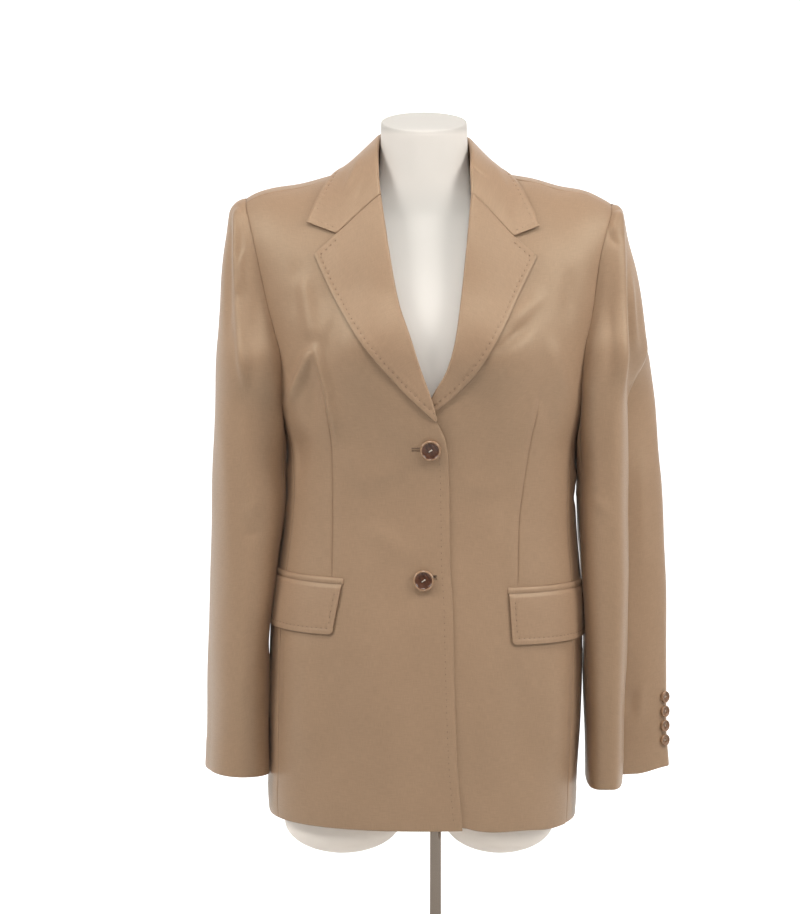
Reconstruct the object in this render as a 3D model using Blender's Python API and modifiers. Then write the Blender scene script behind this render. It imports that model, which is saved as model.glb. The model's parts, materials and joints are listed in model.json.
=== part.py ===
"""Single-breasted blazer on a limbless dress form with a rod and a round base.

Metres, +Z up. The front faces -Y and +X is the wearer's left. The origin is the
middle of the base's underside, on the axis of the rod.

Every piece of cloth is an open sheet given a wall: the fronts, backs and side
panels lie on one body surface, the sleeves are sections around the arm, and
the lapels, collar, pocket flaps and welts are made from the points below them,
moved out.
"""
import math

import bmesh
import bpy
import numpy as np

# ------------------------------------------------------------- sizes
WALL = 0.0016            # thickness of the cloth with its interfacing
SEAM_GAP = 0.0003        # room between two pieces along a seam
LAY = 0.0025             # a piece that lies on a panel, middle to middle
WALL_FLAP = 0.0018       # flaps and lapels, two layers of cloth

Z_HEM = 0.282            # height of the hem in front
HEM_SIDE = {-1: 0.2815, 1: 0.2757}   # at the two side seams
HEM_BACK = 0.2800
Z_ARMPIT = 0.722         # lowest line of the armholes
CLOSE_FRONT = 0.125      # height over which the chest closes up to the shoulder
CLOSE_BACK = 0.105       # the same at the back
REACH_FRONT = 0.160      # length of that stretch along the cloth
REACH_BACK = 0.140
MIDDLE = -0.0077         # middle of the shoulders
NECK_X = -0.0132         # middle of the neck
SEAM_FORWARD = 0.030     # shoulder seam, ahead of the ridge along the cloth
SIDE_FRONT = 66.0        # side seam between front and side panel, degrees round from the front
SIDE_FRONT_TOP = 74.0    # the same at the armpit
SIDE_BACK = 116.0        # seam between side panel and back

BUTTON_D, BUTTON_T = 0.0226, 0.0044
CUFF_BUTTON_D, CUFF_BUTTON_T = 0.0125, 0.0036
ROD_D = 0.0130
BASE_D, BASE_T = 0.270, 0.010

# one row per height: middle across, half width, y of the front, of the widest
# line and of the back, and how square the front and back halves are
BODY_COLUMNS = ("z", "cx", "half", "front", "mid", "back", "nf", "nb")
BODY = (
    (0.2750, -0.0148, 0.1689, -0.130, 0.004, 0.118, 2.25, 2.30),
    (0.2990, -0.0151, 0.1704, -0.130, 0.004, 0.120, 2.25, 2.30),
    (0.3470, -0.0137, 0.1716, -0.129, 0.004, 0.121, 2.25, 2.30),
    (0.4110, -0.0116, 0.1730, -0.127, 0.004, 0.121, 2.25, 2.30),
    (0.4890, -0.0105, 0.1721, -0.122, 0.003, 0.116, 2.25, 2.30),
    (0.5500, -0.0084, 0.1674, -0.115, 0.002, 0.103, 2.25, 2.30),
    (0.5980, -0.0073, 0.1617, -0.110, 0.000, 0.089, 2.25, 2.30),
    (0.6310, -0.0062, 0.1593, -0.108, -0.001, 0.082, 2.25, 2.30),
    (0.6860, -0.0050, 0.1577, -0.112, -0.002, 0.084, 2.25, 2.30),
    (0.7050, -0.0051, 0.1615, -0.115, -0.002, 0.088, 2.25, 2.30),
    (0.7220, -0.0052, 0.1675, -0.118, -0.002, 0.092, 2.25, 2.30),
    (0.7420, -0.0055, 0.1715, -0.1185, -0.001, 0.097, 2.25, 2.30),
    (0.7700, -0.0060, 0.1760, -0.1195, 0.000, 0.102, 2.25, 2.30),
    (0.8100, -0.0070, 0.1830, -0.1150, 0.002, 0.108, 2.25, 2.35),
    (0.8600, -0.0075, 0.1940, -0.100, 0.004, 0.109, 2.25, 2.40),
    (0.9100, -0.0080, 0.2120, -0.088, 0.006, 0.103, 2.25, 2.40),
    (0.9500, -0.0085, 0.2300, -0.080, 0.008, 0.093, 2.25, 2.40),
    (1.0000, -0.0095, 0.2500, -0.075, 0.008, 0.085, 2.25, 2.40),
)
# height of the shoulder's ridge by the distance from the middle
RIDGE_COLUMNS = ("d", "right", "left")
RIDGE = (
    (0.000, 1.0200, 1.0200),
    (0.030, 1.0120, 1.0120),
    (0.050, 1.0035, 1.0015),
    (0.0655, 0.9953, 0.9900),
    (0.080, 0.9885, 0.9832),
    (0.0957, 0.9848, 0.9809),
    (0.115, 0.9792, 0.9781),
    (0.143, 0.9718, 0.9692),
    (0.166, 0.9690, 0.9664),
    (0.190, 0.9622, 0.9560),
    (0.201, 0.9555, 0.9495),
    (0.215, 0.9450, 0.9380),
    (0.260, 0.8900, 0.8850),
)
# front edges, hem to lapel break, then the roll line up to the gorge
EDGE_COLUMNS = ("z", "x")
EDGE_RIGHT = (
    (0.2820, 0.0265), (0.3713, 0.0200), (0.4598, 0.0173), (0.5244, 0.0157), (0.5689, 0.0132),
    (0.6209, 0.0126), (0.6749, 0.0113), (0.6986, 0.0080), (0.7180, 0.0000),
)
ROLL_RIGHT = (
    (0.7180, 0.0000), (0.7409, -0.0063), (0.7746, -0.0185), (0.8113, -0.0306), (0.8412, -0.0407),
    (0.8857, -0.0492), (0.9574, -0.0600),
)
EDGE_LEFT = (
    (0.2855, -0.0300), (0.4500, -0.0260), (0.6000, -0.0260), (0.6900, -0.0265), (0.7180, -0.0180),
)
ROLL_LEFT = (
    (0.7180, -0.0180), (0.7451, -0.0052), (0.7746, 0.0111), (0.8050, 0.0197), (0.8450, 0.0252),
    (0.9086, 0.0320), (0.9590, 0.0367),
)
# hem height across the left front
HEM_COLUMNS = ("x", "z")
HEM_LEFT = (
    (-0.040, 0.2855), (0.0280, 0.2855), (0.0405, 0.2815), (0.0630, 0.2785), (0.0904, 0.2778),
    (0.1275, 0.2745), (0.1560, 0.2757),
)
# armhole seams, front and back: how far out they lie (away from x = 0) by height
ARM_COLUMNS = ("z", "front", "back")
ARM_RIGHT = (
    (0.7220, 0.1655, 0.1570), (0.7450, 0.1668, 0.1610), (0.7823, 0.1680, 0.1660), (0.8138, 0.1755, 0.1730),
    (0.8468, 0.1842, 0.1790), (0.8699, 0.1895, 0.1830), (0.9108, 0.1984, 0.1930), (0.9292, 0.2032, 0.2000),
    (0.9484, 0.2075, 0.2070), (0.9600, 0.2080, 0.2080),
)
ARM_LEFT = (
    (0.7220, 0.1562, 0.1470), (0.7500, 0.1572, 0.1500), (0.7920, 0.1598, 0.1580), (0.8235, 0.1668, 0.1630),
    (0.8473, 0.1709, 0.1680), (0.8635, 0.1730, 0.1710), (0.8930, 0.1776, 0.1760), (0.9195, 0.1847, 0.1830),
    (0.9457, 0.1915, 0.1910), (0.9600, 0.1920, 0.1920),
)
# sleeve sections: how far in and out they reach, front and back y, the bend of
# the flattened sleeve seen from above, its turn, where along it the bend is, its
# thickness against its length and how square its front is
SLEEVE_COLUMNS = ("z", "inner", "outer", "front", "back", "bend", "turn", "corner", "fat", "square")
SLEEVE_RIGHT = (
    (0.3255, 0.1822, 0.2571, -0.054, 0.048, 12.0, 12.0, 0.00, 0.60, 0.0),
    (0.3983, 0.1822, 0.2543, -0.058, 0.055, 10.0, 12.0, 0.00, 0.58, 0.0),
    (0.4659, 0.1810, 0.2528, -0.061, 0.061, 8.0, 12.0, 0.00, 0.57, 0.0),
    (0.5501, 0.1720, 0.2501, -0.062, 0.068, 4.0, 10.0, 0.00, 0.56, 0.0),
    (0.6340, 0.1625, 0.2475, -0.062, 0.073, 0.0, 8.0, 0.00, 0.56, 0.0),
    (0.6860, 0.1660, 0.2454, -0.060, 0.076, 0.0, 4.0, 0.00, 0.56, 0.0),
    (0.7220, 0.1660, 0.2440, -0.058, 0.076, 0.0, 0.0, 0.00, 0.56, 0.0),
    (0.8007, 0.1600, 0.2400, -0.056, 0.074, 0.0, 0.0, 0.00, 0.56, 0.0),
)
SLEEVE_LEFT = (
    (0.3110, 0.1678, 0.2628, -0.056, 0.050, 82.0, 3.0, -0.14, 0.230, 1.0),
    (0.3531, 0.1664, 0.2600, -0.058, 0.053, 82.0, 3.0, -0.14, 0.260, 1.0),
    (0.4434, 0.1632, 0.2595, -0.062, 0.060, 81.0, 3.0, -0.14, 0.295, 1.0),
    (0.5109, 0.1605, 0.2590, -0.064, 0.065, 80.0, 3.0, -0.14, 0.322, 1.0),
    (0.5893, 0.1572, 0.2555, -0.064, 0.070, 80.0, 3.0, -0.14, 0.352, 1.0),
    (0.6340, 0.1560, 0.2532, -0.063, 0.073, 79.0, 3.0, -0.14, 0.362, 1.0),
    (0.6897, 0.1560, 0.2500, -0.060, 0.076, 76.0, 3.0, -0.14, 0.372, 1.0),
    (0.7220, 0.1565, 0.2470, -0.058, 0.076, 73.0, 3.0, -0.14, 0.378, 1.0),
    (0.8007, 0.1480, 0.2360, -0.056, 0.074, 66.0, 3.0, -0.14, 0.450, 0.9),
    (0.8700, 0.1440, 0.2225, -0.046, 0.066, 60.0, 3.0, -0.14, 0.550, 0.8),
)
# outline of the sleeve heads above the armpit
HEAD_COLUMNS = ("z", "outer")
HEAD_RIGHT = (
    (0.7220, 0.2440), (0.7841, 0.2412), (0.8173, 0.2388), (0.8449, 0.2370), (0.8670, 0.2357),
    (0.9133, 0.2306), (0.9350, 0.2275), (0.9429, 0.2258), (0.9473, 0.2230), (0.9510, 0.2195), (0.9538, 0.2148),
    (0.9563, 0.2085),
)
HEAD_LEFT = (
    (0.7220, 0.2412), (0.7508, 0.2386), (0.7786, 0.2373), (0.8007, 0.2327), (0.8460, 0.2258),
    (0.8780, 0.2200), (0.9011, 0.2144), (0.9265, 0.2087), (0.9380, 0.2060), (0.9434, 0.2042), (0.9475, 0.2005),
    (0.9493, 0.1970), (0.9508, 0.1925),
)
# lapels: outer edge from the break up to the tip, by height
LAPEL_COLUMNS = ("z", "x")
LAPEL_RIGHT = (
    (0.7180, 0.0000), (0.7246, -0.0079), (0.7653, -0.0491), (0.8031, -0.0808), (0.8513, -0.1097), (0.8947, -0.1305),
)
LAPEL_LEFT = (
    (0.7180, -0.0180), (0.7283, -0.0037), (0.7711, 0.0412), (0.8137, 0.0671), (0.8618, 0.0903), (0.8926, 0.1059),
)
NOTCH_RIGHT, NOTCH_LEFT = (-0.1073, 0.9165), (0.0818, 0.9136)          # (x, z)
POINT_RIGHT, POINT_LEFT = (-0.1386, 0.9279), (0.1086, 0.9237)          # collar points (x, z)
# the collar's fold line and its outer edge, right front, round the back, left front;
# the outer edge is given along the cloth: x, and w (negative ahead of the ridge)
COLLAR_COLUMNS = ("t", "fold_x", "fold_y", "fold_z", "edge_x", "edge_w")
COLLAR = (
    (0.00, -0.0602, -0.0575, 0.9590, -0.1386, None),
    (0.12, -0.0634, -0.0450, 0.9840, -0.1215, -0.0480),
    (0.24, -0.0648, -0.0180, 1.0110, -0.1050, -0.0040),
    (0.31, -0.0640, 0.0100, 1.0240, -0.0960, 0.0240),
    (0.40, -0.0510, 0.0430, 1.0310, -0.0700, 0.0620),
    (0.50, -0.0132, 0.0590, 1.0335, -0.0110, 0.0860),
    (0.60, 0.0246, 0.0430, 1.0290, 0.0450, 0.0620),
    (0.69, 0.0382, 0.0100, 1.0200, 0.0640, 0.0240),
    (0.76, 0.0388, -0.0180, 1.0085, 0.0730, -0.0040),
    (0.88, 0.0372, -0.0450, 0.9850, 0.0900, -0.0480),
    (1.00, 0.0368, -0.0575, 0.9600, 0.1086, None),
)
# neck seam: x and w by the same station
NECK_COLUMNS = ("t", "x", "w")
NECK = (
    (0.000, -0.0600, -0.0850), (0.120, -0.0680, -0.0560), (0.240, -0.0732, -0.0300), (0.310, -0.0700, 0.0020),
    (0.400, -0.0500, 0.0380), (0.500, -0.0132, 0.0560), (0.600, 0.0236, 0.0380), (0.690, 0.0436, 0.0020),
    (0.760, 0.0468, -0.0300), (0.880, 0.0425, -0.0560), (1.000, 0.0367, -0.0830),
)
# dress form: one row per height
FORM_COLUMNS = ("z", "cx", "half", "front", "mid", "back", "n")
FORM = (
    (0.3000, -0.0130, 0.0900, -0.060, 0.000, 0.060, 2.0),
    (0.3080, -0.0130, 0.1300, -0.092, 0.000, 0.086, 2.1),
    (0.3300, -0.0130, 0.1500, -0.110, 0.000, 0.100, 2.2),
    (0.3800, -0.0125, 0.1580, -0.116, 0.002, 0.110, 2.2),
    (0.4400, -0.0115, 0.1600, -0.114, 0.002, 0.110, 2.2),
    (0.5000, -0.0105, 0.1570, -0.109, 0.002, 0.104, 2.2),
    (0.5600, -0.0084, 0.1500, -0.102, 0.000, 0.090, 2.2),
    (0.6200, -0.0064, 0.1420, -0.099, 0.000, 0.072, 2.2),
    (0.6800, -0.0052, 0.1430, -0.103, 0.000, 0.074, 2.2),
    (0.7400, -0.0055, 0.1470, -0.111, 0.000, 0.084, 2.2),
    (0.8000, -0.0070, 0.1490, -0.106, 0.002, 0.090, 2.2),
    (0.8500, -0.0080, 0.1500, -0.092, 0.004, 0.088, 2.2),
    (0.8900, -0.0090, 0.1440, -0.075, 0.006, 0.079, 2.2),
    (0.9200, -0.0105, 0.1240, -0.060, 0.006, 0.069, 2.1),
    (0.9400, -0.0120, 0.0980, -0.050, 0.005, 0.060, 2.0),
    (0.9580, -0.0130, 0.0700, -0.0475, 0.003, 0.053, 2.0),
    (0.9740, -0.0132, 0.0540, -0.0465, 0.001, 0.049, 2.0),
    (0.9950, -0.0132, 0.0488, -0.0460, 0.000, 0.0465, 2.0),
    (1.0200, -0.0132, 0.0474, -0.0455, 0.000, 0.0455, 2.0),
    (1.0400, -0.0135, 0.0469, -0.0450, 0.000, 0.0450, 2.0),
)
CAP_TILT = 0.0125        # the flat neck cap, front edge lower than the back edge by twice this
LOBES = ((-0.1030, 0.0650), (0.0705, 0.0612))      # thigh ends: middle x and half width
LOBE_BOTTOM, LOBE_TOP, LOBE_DEPTH = 0.2340, 0.3600, 0.0860


# ------------------------------------------------------------- curves through the tables
def smooth(rows, columns, name, q, key=None):
    """A named column of a table at q, on a monotone smooth curve through its rows."""
    x = np.array([r[0] for r in rows], float)
    y = np.array([r[columns.index(name)] for r in rows], float)
    if x[0] > x[-1]:
        x, y = x[::-1], y[::-1]
    h = np.diff(x)
    d = np.diff(y) / h
    m = np.empty_like(y)
    m[0], m[-1] = d[0], d[-1]
    for i in range(1, len(x) - 1):
        if d[i - 1] * d[i] <= 0:
            m[i] = 0.0
        else:
            a, b = 2 * h[i] + h[i - 1], h[i] + 2 * h[i - 1]
            m[i] = (a + b) / (a / d[i - 1] + b / d[i])
    q = np.asarray(q, float)
    qc = np.clip(q, x[0], x[-1])
    i = np.clip(np.searchsorted(x, qc) - 1, 0, len(x) - 2)
    t = (qc - x[i]) / h[i]
    out = ((1 + 2 * t) * (1 - t) ** 2 * y[i] + t * (1 - t) ** 2 * h[i] * m[i]
           + t * t * (3 - 2 * t) * y[i + 1] + t * t * (t - 1) * h[i] * m[i + 1])
    return out + (q - qc) * np.where(q < x[0], m[0], m[-1])


def body(name, z):
    return smooth(BODY, BODY_COLUMNS, name, z)


def ridge(x):
    d = np.abs(np.asarray(x, float) - MIDDLE)
    return np.where(np.asarray(x) < MIDDLE, smooth(RIDGE, RIDGE_COLUMNS, "right", d),
                    smooth(RIDGE, RIDGE_COLUMNS, "left", d))


def ramp(a, b, v):
    t = np.clip((np.asarray(v, float) - a) / (b - a), 0, 1)
    return t * t * (3 - 2 * t)


# ------------------------------------------------------------- the body surface
def swell(x, z, back):
    """The chest and the shoulder blades, on top of the plain section."""
    cx, half = body("cx", z), body("half", z)
    a = np.abs(x - cx)
    edge = ramp(1.0, 0.88, a / half)
    if back:
        return edge * 0.006 * np.exp(-((a - 0.080) / 0.050) ** 2 - ((z - 0.850) / 0.070) ** 2)
    return edge * 0.0155 * np.exp(-((a - 0.074) / 0.044) ** 2 - ((z - 0.796) / 0.046) ** 2)


def depth(x, z, back):
    """How far the cloth stands from the widest line at x and z, front or back."""
    cx, half, mid = body("cx", z), body("half", z), body("mid", z)
    n = body("nb" if back else "nf", z)
    reach = body("back", z) - mid if back else mid - body("front", z)
    xi = np.clip(np.abs(x - cx) / half, 0, 0.99999)
    return reach * (1 - xi ** n) ** (1 / n) + swell(x, z, back)


def cloth(x, w):
    """A point on the body surface: x across, w along the cloth from the ridge, front negative."""
    x, w = np.broadcast_arrays(np.asarray(x, float), np.asarray(w, float))
    top = ridge(x)
    p = np.empty(x.shape + (3,))
    p[..., 0] = x
    for back in (False, True):
        use = (w >= 0) if back else (w < 0)
        if not use.any():
            continue
        close, reach = (CLOSE_BACK, REACH_BACK) if back else (CLOSE_FRONT, REACH_FRONT)
        u = np.abs(w[use])
        psi = np.clip(u / reach, 0, 1) * math.pi / 2
        z = top[use] - close * (1 - np.cos(psi)) - np.maximum(u - reach, 0)
        y = depth(x[use], z, back) * np.sin(psi)
        p[use, 1] = body("mid", z) + (y if back else -y)
        p[use, 2] = z
    return p


def along(x, z, back=False):
    """The w of the point at x and height z."""
    close, reach = (CLOSE_BACK, REACH_BACK) if back else (CLOSE_FRONT, REACH_FRONT)
    drop = np.maximum(ridge(x) - z, 0)
    w = np.where(drop < close, np.arccos(np.clip(1 - drop / close, -1, 1)) / (math.pi / 2) * reach,
                 reach + drop - close)
    return w if back else -w


def girth(angle, z):
    """A point round the body at a height below the armpits, 0 in front, 90 at the left side."""
    t = np.radians(np.asarray(angle, float))
    t, z = np.broadcast_arrays(t, np.asarray(z, float))
    s, c = np.sin(t), np.cos(t)
    n = np.where(c >= 0, body("nf", z), body("nb", z))
    x = body("cx", z) + body("half", z) * np.sign(s) * np.abs(s) ** (2 / n)
    reach = np.where(c >= 0, body("mid", z) - body("front", z), body("back", z) - body("mid", z))
    y = reach * np.abs(c) ** (2 / n) + np.where(c >= 0, swell(x, z, False), swell(x, z, True))
    return np.stack([x, body("mid", z) - np.sign(c) * y, z], -1)


def seam_angle(angle, z):
    """The front side seam swings out towards the armpit; the back one runs straight."""
    z = np.asarray(z, float)
    if angle == SIDE_FRONT:
        return SIDE_FRONT + (SIDE_FRONT_TOP - SIDE_FRONT) * ramp(0.610, Z_ARMPIT, z)
    return angle + 0 * z


def side_x(side, z, angle):
    """x of a lengthwise seam at an angle round the body."""
    n = body("nf", z) if angle < 90 else body("nb", z)
    return body("cx", z) + side * body("half", z) * np.sin(np.radians(seam_angle(angle, z))) ** (2 / n)


def normals(grid):
    """Unit normals of a grid of points."""
    du, dv = np.gradient(grid, axis=0), np.gradient(grid, axis=1)
    n = np.cross(du, dv)
    return n / np.maximum(np.linalg.norm(n, axis=-1, keepdims=True), 1e-12)


def spread(points, count):
    """count points evenly along a line of points."""
    points = np.asarray(points, float)
    s = np.concatenate([[0], np.cumsum(np.linalg.norm(np.diff(points, axis=0), axis=1))])
    q = np.linspace(0, s[-1], count)
    return np.stack([np.interp(q, s, points[:, k]) for k in range(points.shape[1])], -1)


# ------------------------------------------------------------- fronts
def arm_x(side, z, part):
    table = ARM_RIGHT if side < 0 else ARM_LEFT
    return side * smooth(table, ARM_COLUMNS, part, z)


def shoulder_point(side):
    """x and w of the armhole's end of the shoulder seam."""
    x = arm_x(side, 0.955, "front")
    return float(x), -SEAM_FORWARD


def front_domain(side, rows_low, rows_high, columns):
    """x and w of a front panel, hem to shoulder seam, front edge to side seam and armhole."""
    edge = EDGE_RIGHT if side < 0 else EDGE_LEFT
    roll = ROLL_RIGHT if side < 0 else ROLL_LEFT
    sx, sw = shoulder_point(side)
    z0 = edge[0][0]
    zl = np.linspace(z0, roll[0][0], rows_low + 1)
    lower_l = np.stack([smooth(edge, EDGE_COLUMNS, "x", zl), zl], -1)
    z_side = HEM_SIDE[side]
    zr = np.linspace(z_side, Z_ARMPIT, rows_low + 1)
    inset = SEAM_GAP / 2
    lower_r = np.stack([side_x(side, zr, SIDE_FRONT) - side * inset, zr], -1)
    zu = np.linspace(roll[0][0], roll[-1][0], 40)
    left = np.stack([smooth(roll, EDGE_COLUMNS, "x", zu), zu], -1)
    left = np.stack([left[:, 0], along(left[:, 0], left[:, 1])], -1)
    neck_t = (0.06, 0.12, 0.18, 0.24) if side < 0 else (0.94, 0.88, 0.82, 0.76)
    neck = np.array([(smooth(NECK, NECK_COLUMNS, "x", t), smooth(NECK, NECK_COLUMNS, "w", t)) for t in neck_t])
    left = spread(np.concatenate([left, neck]), rows_high + 1)
    za = np.linspace(Z_ARMPIT, 0.944, 60)
    xa = arm_x(side, za, "front") - side * inset
    blend = ramp(Z_ARMPIT, Z_ARMPIT + 0.03, za)
    xa = xa * blend + (side_x(side, za, SIDE_FRONT) - side * inset) * (1 - blend)
    right = np.stack([xa, along(xa, za)], -1)
    right = right[right[:, 1] < sw - 0.002]
    right = spread(np.concatenate([right, [[sx - side * inset, sw]]]), rows_high + 1)
    u = np.linspace(0, 1, columns + 1)
    low = np.empty((rows_low + 1, columns + 1, 2))
    for j in range(rows_low + 1):
        x = lower_l[j, 0] + (lower_r[j, 0] - lower_l[j, 0]) * u
        z = lower_l[j, 1] + (lower_r[j, 1] - lower_l[j, 1]) * u
        if side > 0:
            fade = 1 - j / rows_low
            z = z + fade * (smooth(HEM_LEFT, HEM_COLUMNS, "z", x)
                            - (z0 + (z_side - z0) * u))
        low[j] = np.stack([x, along(x, z)], -1)
    high = np.empty((rows_high + 1, columns + 1, 2))
    for j in range(rows_high + 1):
        k = j / rows_high
        x = left[j, 0] + (right[j, 0] - left[j, 0]) * u
        w = left[j, 1] + (right[j, 1] - left[j, 1]) * u
        a, b = cloth(left[j, 0], left[j, 1]), cloth(right[j, 0], right[j, 1])
        wz = along(x, a[2] + (b[2] - a[2]) * u)
        m = ramp(0.0, 0.7, k)
        high[j] = np.stack([x, w * m + wz * (1 - m)], -1)
    return np.concatenate([low, high[1:]])


def overlap(side, x, z):
    """The fronts part at the buttons: the right lies over the left and its lapel."""
    turn = ramp(0.660, 0.720, z)
    if side < 0:
        return (0.0012 + 0.0024 * turn) * ramp(-0.085, -0.025, x) * ramp(0.780, 0.738, z)
    return -(0.0012 + 0.0012 * turn) * ramp(0.080, 0.030, x) * ramp(0.780, 0.738, z)


def front_panel(side, rows_low, rows_high, columns):
    d = front_domain(side, rows_low, rows_high, columns)
    p = cloth(d[..., 0], d[..., 1])
    if side < 0:
        p = p[:, ::-1]
    n = normals(p)
    n = n * np.sign(-n[..., 1:2].mean())
    return p + n * overlap(side, p[..., 0], p[..., 2])[..., None]


# ------------------------------------------------------------- backs
def back_panel(side, rows_top, rows_low, columns):
    """Neck and shoulder seam down to the hem, middle seam to armhole and side seam."""
    inset = SEAM_GAP / 2
    ts = np.linspace(0.5, 0.24 if side < 0 else 0.76, 9)
    neck = np.stack([smooth(NECK, NECK_COLUMNS, "x", ts), smooth(NECK, NECK_COLUMNS, "w", ts)], -1)
    neck[0, 0] = body("cx", 0.99) + side * inset
    neck[-1, 1] = -SEAM_FORWARD + 4 * SEAM_GAP
    sx, sw = shoulder_point(side)
    seam = np.array([[sx - side * inset, sw + 4 * SEAM_GAP]])
    a = spread(neck, max(3, columns // 3) + 1)
    b = spread(np.concatenate([neck[-1:], seam]), columns - max(3, columns // 3) + 1)
    top = np.concatenate([a, b[1:]])
    u = np.linspace(0, 1, columns + 1)
    s = np.concatenate([[0], np.cumsum(np.linalg.norm(np.diff(top, axis=0), axis=1))])
    u_top = s / s[-1]
    za = np.linspace(0.944, Z_ARMPIT, 60)
    xa = arm_x(side, za, "back") - side * inset
    blend = ramp(Z_ARMPIT, Z_ARMPIT + 0.03, za)
    xa = xa * blend + (side_x(side, za, SIDE_BACK) - side * inset) * (1 - blend)
    arm = np.stack([xa, along(xa, za, True)], -1)
    arm = arm[arm[:, 1] > 0.020]
    over = np.array([[sx - side * inset, w] for w in np.linspace(sw + 4 * SEAM_GAP, 0.018, 6)])
    arm = spread(np.concatenate([over, arm]), rows_top + 1)
    mid_x = body("cx", 0.9)
    w_end = along(mid_x, Z_ARMPIT, True)
    centre = np.linspace(neck[0, 1], w_end, rows_top + 1)
    high = np.empty((rows_top + 1, columns + 1, 2))
    for j in range(rows_top + 1):
        k = j / rows_top
        fade = (1 - ramp(0, 1, k))
        cw = centre[j]
        cxx = body("cx", float(np.clip(cloth(mid_x, cw)[2], 0.27, 1.0))) + side * inset
        uu = u_top * fade + u * (1 - fade)
        x = cxx + (arm[j, 0] - cxx) * uu
        w = cw + (arm[j, 1] - cw) * uu
        x = x + fade * (top[:, 0] - (top[0, 0] + (top[-1, 0] - top[0, 0]) * u_top))
        w = w + fade * (top[:, 1] - (top[0, 1] + (top[-1, 1] - top[0, 1]) * u_top))
        z_a, z_b = cloth(cxx, cw)[2], cloth(arm[j, 0], arm[j, 1])[2]
        wz = along(x, z_a + (z_b - z_a) * uu, True)
        m = ramp(0.3, 1.0, k)
        high[j] = np.stack([x, w * (1 - m) + wz * m], -1)
    low = np.empty((rows_low, columns + 1, 2))
    for j in range(rows_low):
        k = (j + 1) / rows_low
        zs = Z_ARMPIT + (HEM_SIDE[side] - Z_ARMPIT) * k
        z = zs + (HEM_BACK - HEM_SIDE[side]) * k * (1 - u)
        a = body("cx", zs) + side * inset
        b = side_x(side, zs, SIDE_BACK) - side * inset
        x = a + (b - a) * u
        low[j] = np.stack([x, along(x, z, True)], -1)
    d = np.concatenate([high, low])
    return cloth(d[..., 0], d[..., 1])


def side_panel(side, rows, columns):
    z = np.linspace(HEM_SIDE[side], Z_ARMPIT, rows + 1)
    inset = SEAM_GAP / 2
    out = np.empty((rows + 1, columns + 1, 3))
    for j, zz in enumerate(z):
        per = math.degrees(inset / 0.12)
        a = np.linspace(float(seam_angle(SIDE_FRONT, zz)) + per, SIDE_BACK - per, columns + 1) * side
        out[j] = girth(a, zz)
    return out


# ------------------------------------------------------------- clearance from the body
def outside(p):
    """Rough distance from the body surface, positive outside, and the way out."""
    p = np.asarray(p, float)

    def level(q):
        x, y, z = q[..., 0], q[..., 1], q[..., 2]
        top, mid = ridge(x), body("mid", z)
        back = y > mid
        close = np.where(back, CLOSE_BACK, CLOSE_FRONT)
        reach = np.where(back, depth(x, z, True), depth(x, z, False))
        n = np.where(back, body("nb", z), body("nf", z))
        half, cx = body("half", z), body("cx", z)
        a = np.abs(x - cx) / half
        full = np.where(back, body("back", z) - mid, mid - body("front", z))
        bump = reach / np.maximum(full * (1 - np.clip(a, 0, 0.9) ** n) ** (1 / n), 1e-4)
        bump = np.where(a < 0.9, bump, 1.0)
        b = np.abs(y - mid) / (full * bump)
        flat = (a ** n + b ** n) ** (1 / n)
        s = np.maximum(z - (top - close), 0) / close
        return np.sqrt(flat ** 2 + s ** 2) - 1

    e = 5e-4
    base = level(p)
    g = np.stack([(level(p + np.eye(3)[k] * e) - level(p - np.eye(3)[k] * e)) / (2 * e) for k in range(3)], -1)
    size = np.maximum(np.linalg.norm(g, axis=-1), 1e-6)
    return base / size, g / size[..., None]


def keep_off(p, room):
    """Moves points out until they are at least room away from the body surface."""
    p = np.array(p, float)
    for _ in range(4):
        d, n = outside(p)
        short = np.maximum(room - d, 0)
        p += n * short[..., None]
    return p


# ------------------------------------------------------------- sleeves
def tube_ring(side, z, theta):
    """A section of the hanging sleeve: theta 0 outside, 90 front, 180 inside, -90 back."""
    table = SLEEVE_RIGHT if side < 0 else SLEEVE_LEFT
    v = {c: float(smooth(table, SLEEVE_COLUMNS, c, z)) for c in SLEEVE_COLUMNS[1:]}
    sig = np.linspace(-1, 1, 161)
    turn = np.radians(-v["turn"] - v["bend"] * ramp(v["corner"] + 0.12, v["corner"] - 0.12, sig))
    step = sig[1] - sig[0]
    dx = np.cumsum(np.sin(turn)) * step
    dy = np.cumsum(-np.cos(turn)) * step

    def outline(angle):
        t = np.radians(angle)
        sn, cs = np.sin(t), np.cos(t)
        front = ramp(0.0, 0.25, sn) * v["square"] * np.where(cs > 0, 1.0, 0.6)
        h = v["fat"] * np.sign(cs) * np.abs(cs) ** (0.92 - 0.47 * front)
        sn = np.sign(sn) * np.abs(sn) ** (1 - 0.25 * front)
        a = np.interp(sn, sig, turn)
        return np.interp(sn, sig, dx) + np.cos(a) * h, np.interp(sn, sig, dy) + np.sin(a) * h

    fx, fy = outline(np.linspace(-180, 180, 481))
    x, y = outline(theta)
    x = v["inner"] + (x - fx.min()) / (fx.max() - fx.min()) * (v["outer"] - v["inner"])
    y = v["front"] + (y - fy.min()) / (fy.max() - fy.min()) * (v["back"] - v["front"])
    return x, y


def arm_end(side, z, part):
    """The armhole at a height, moved off the seam: outward distance and y."""
    x = arm_x(side, z, part)
    lowest = ramp(Z_ARMPIT, Z_ARMPIT + 0.03, z)
    x = x * lowest + side_x(side, z, SIDE_FRONT if part == "front" else SIDE_BACK) * (1 - lowest)
    p = cloth(x, along(x, z, part == "back"))
    return float(side * p[0]), float(p[1])


THETA_SEAM, THETA_BACK_CUFF = 140.0, 100.0     # the sleeve's two seams, degrees from its outer side
SLEEVE_ROOM = 0.0022     # sleeve to the panels along the armhole


def head_height(side):
    return float(ridge(arm_x(side, 0.955, "front")))


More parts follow.
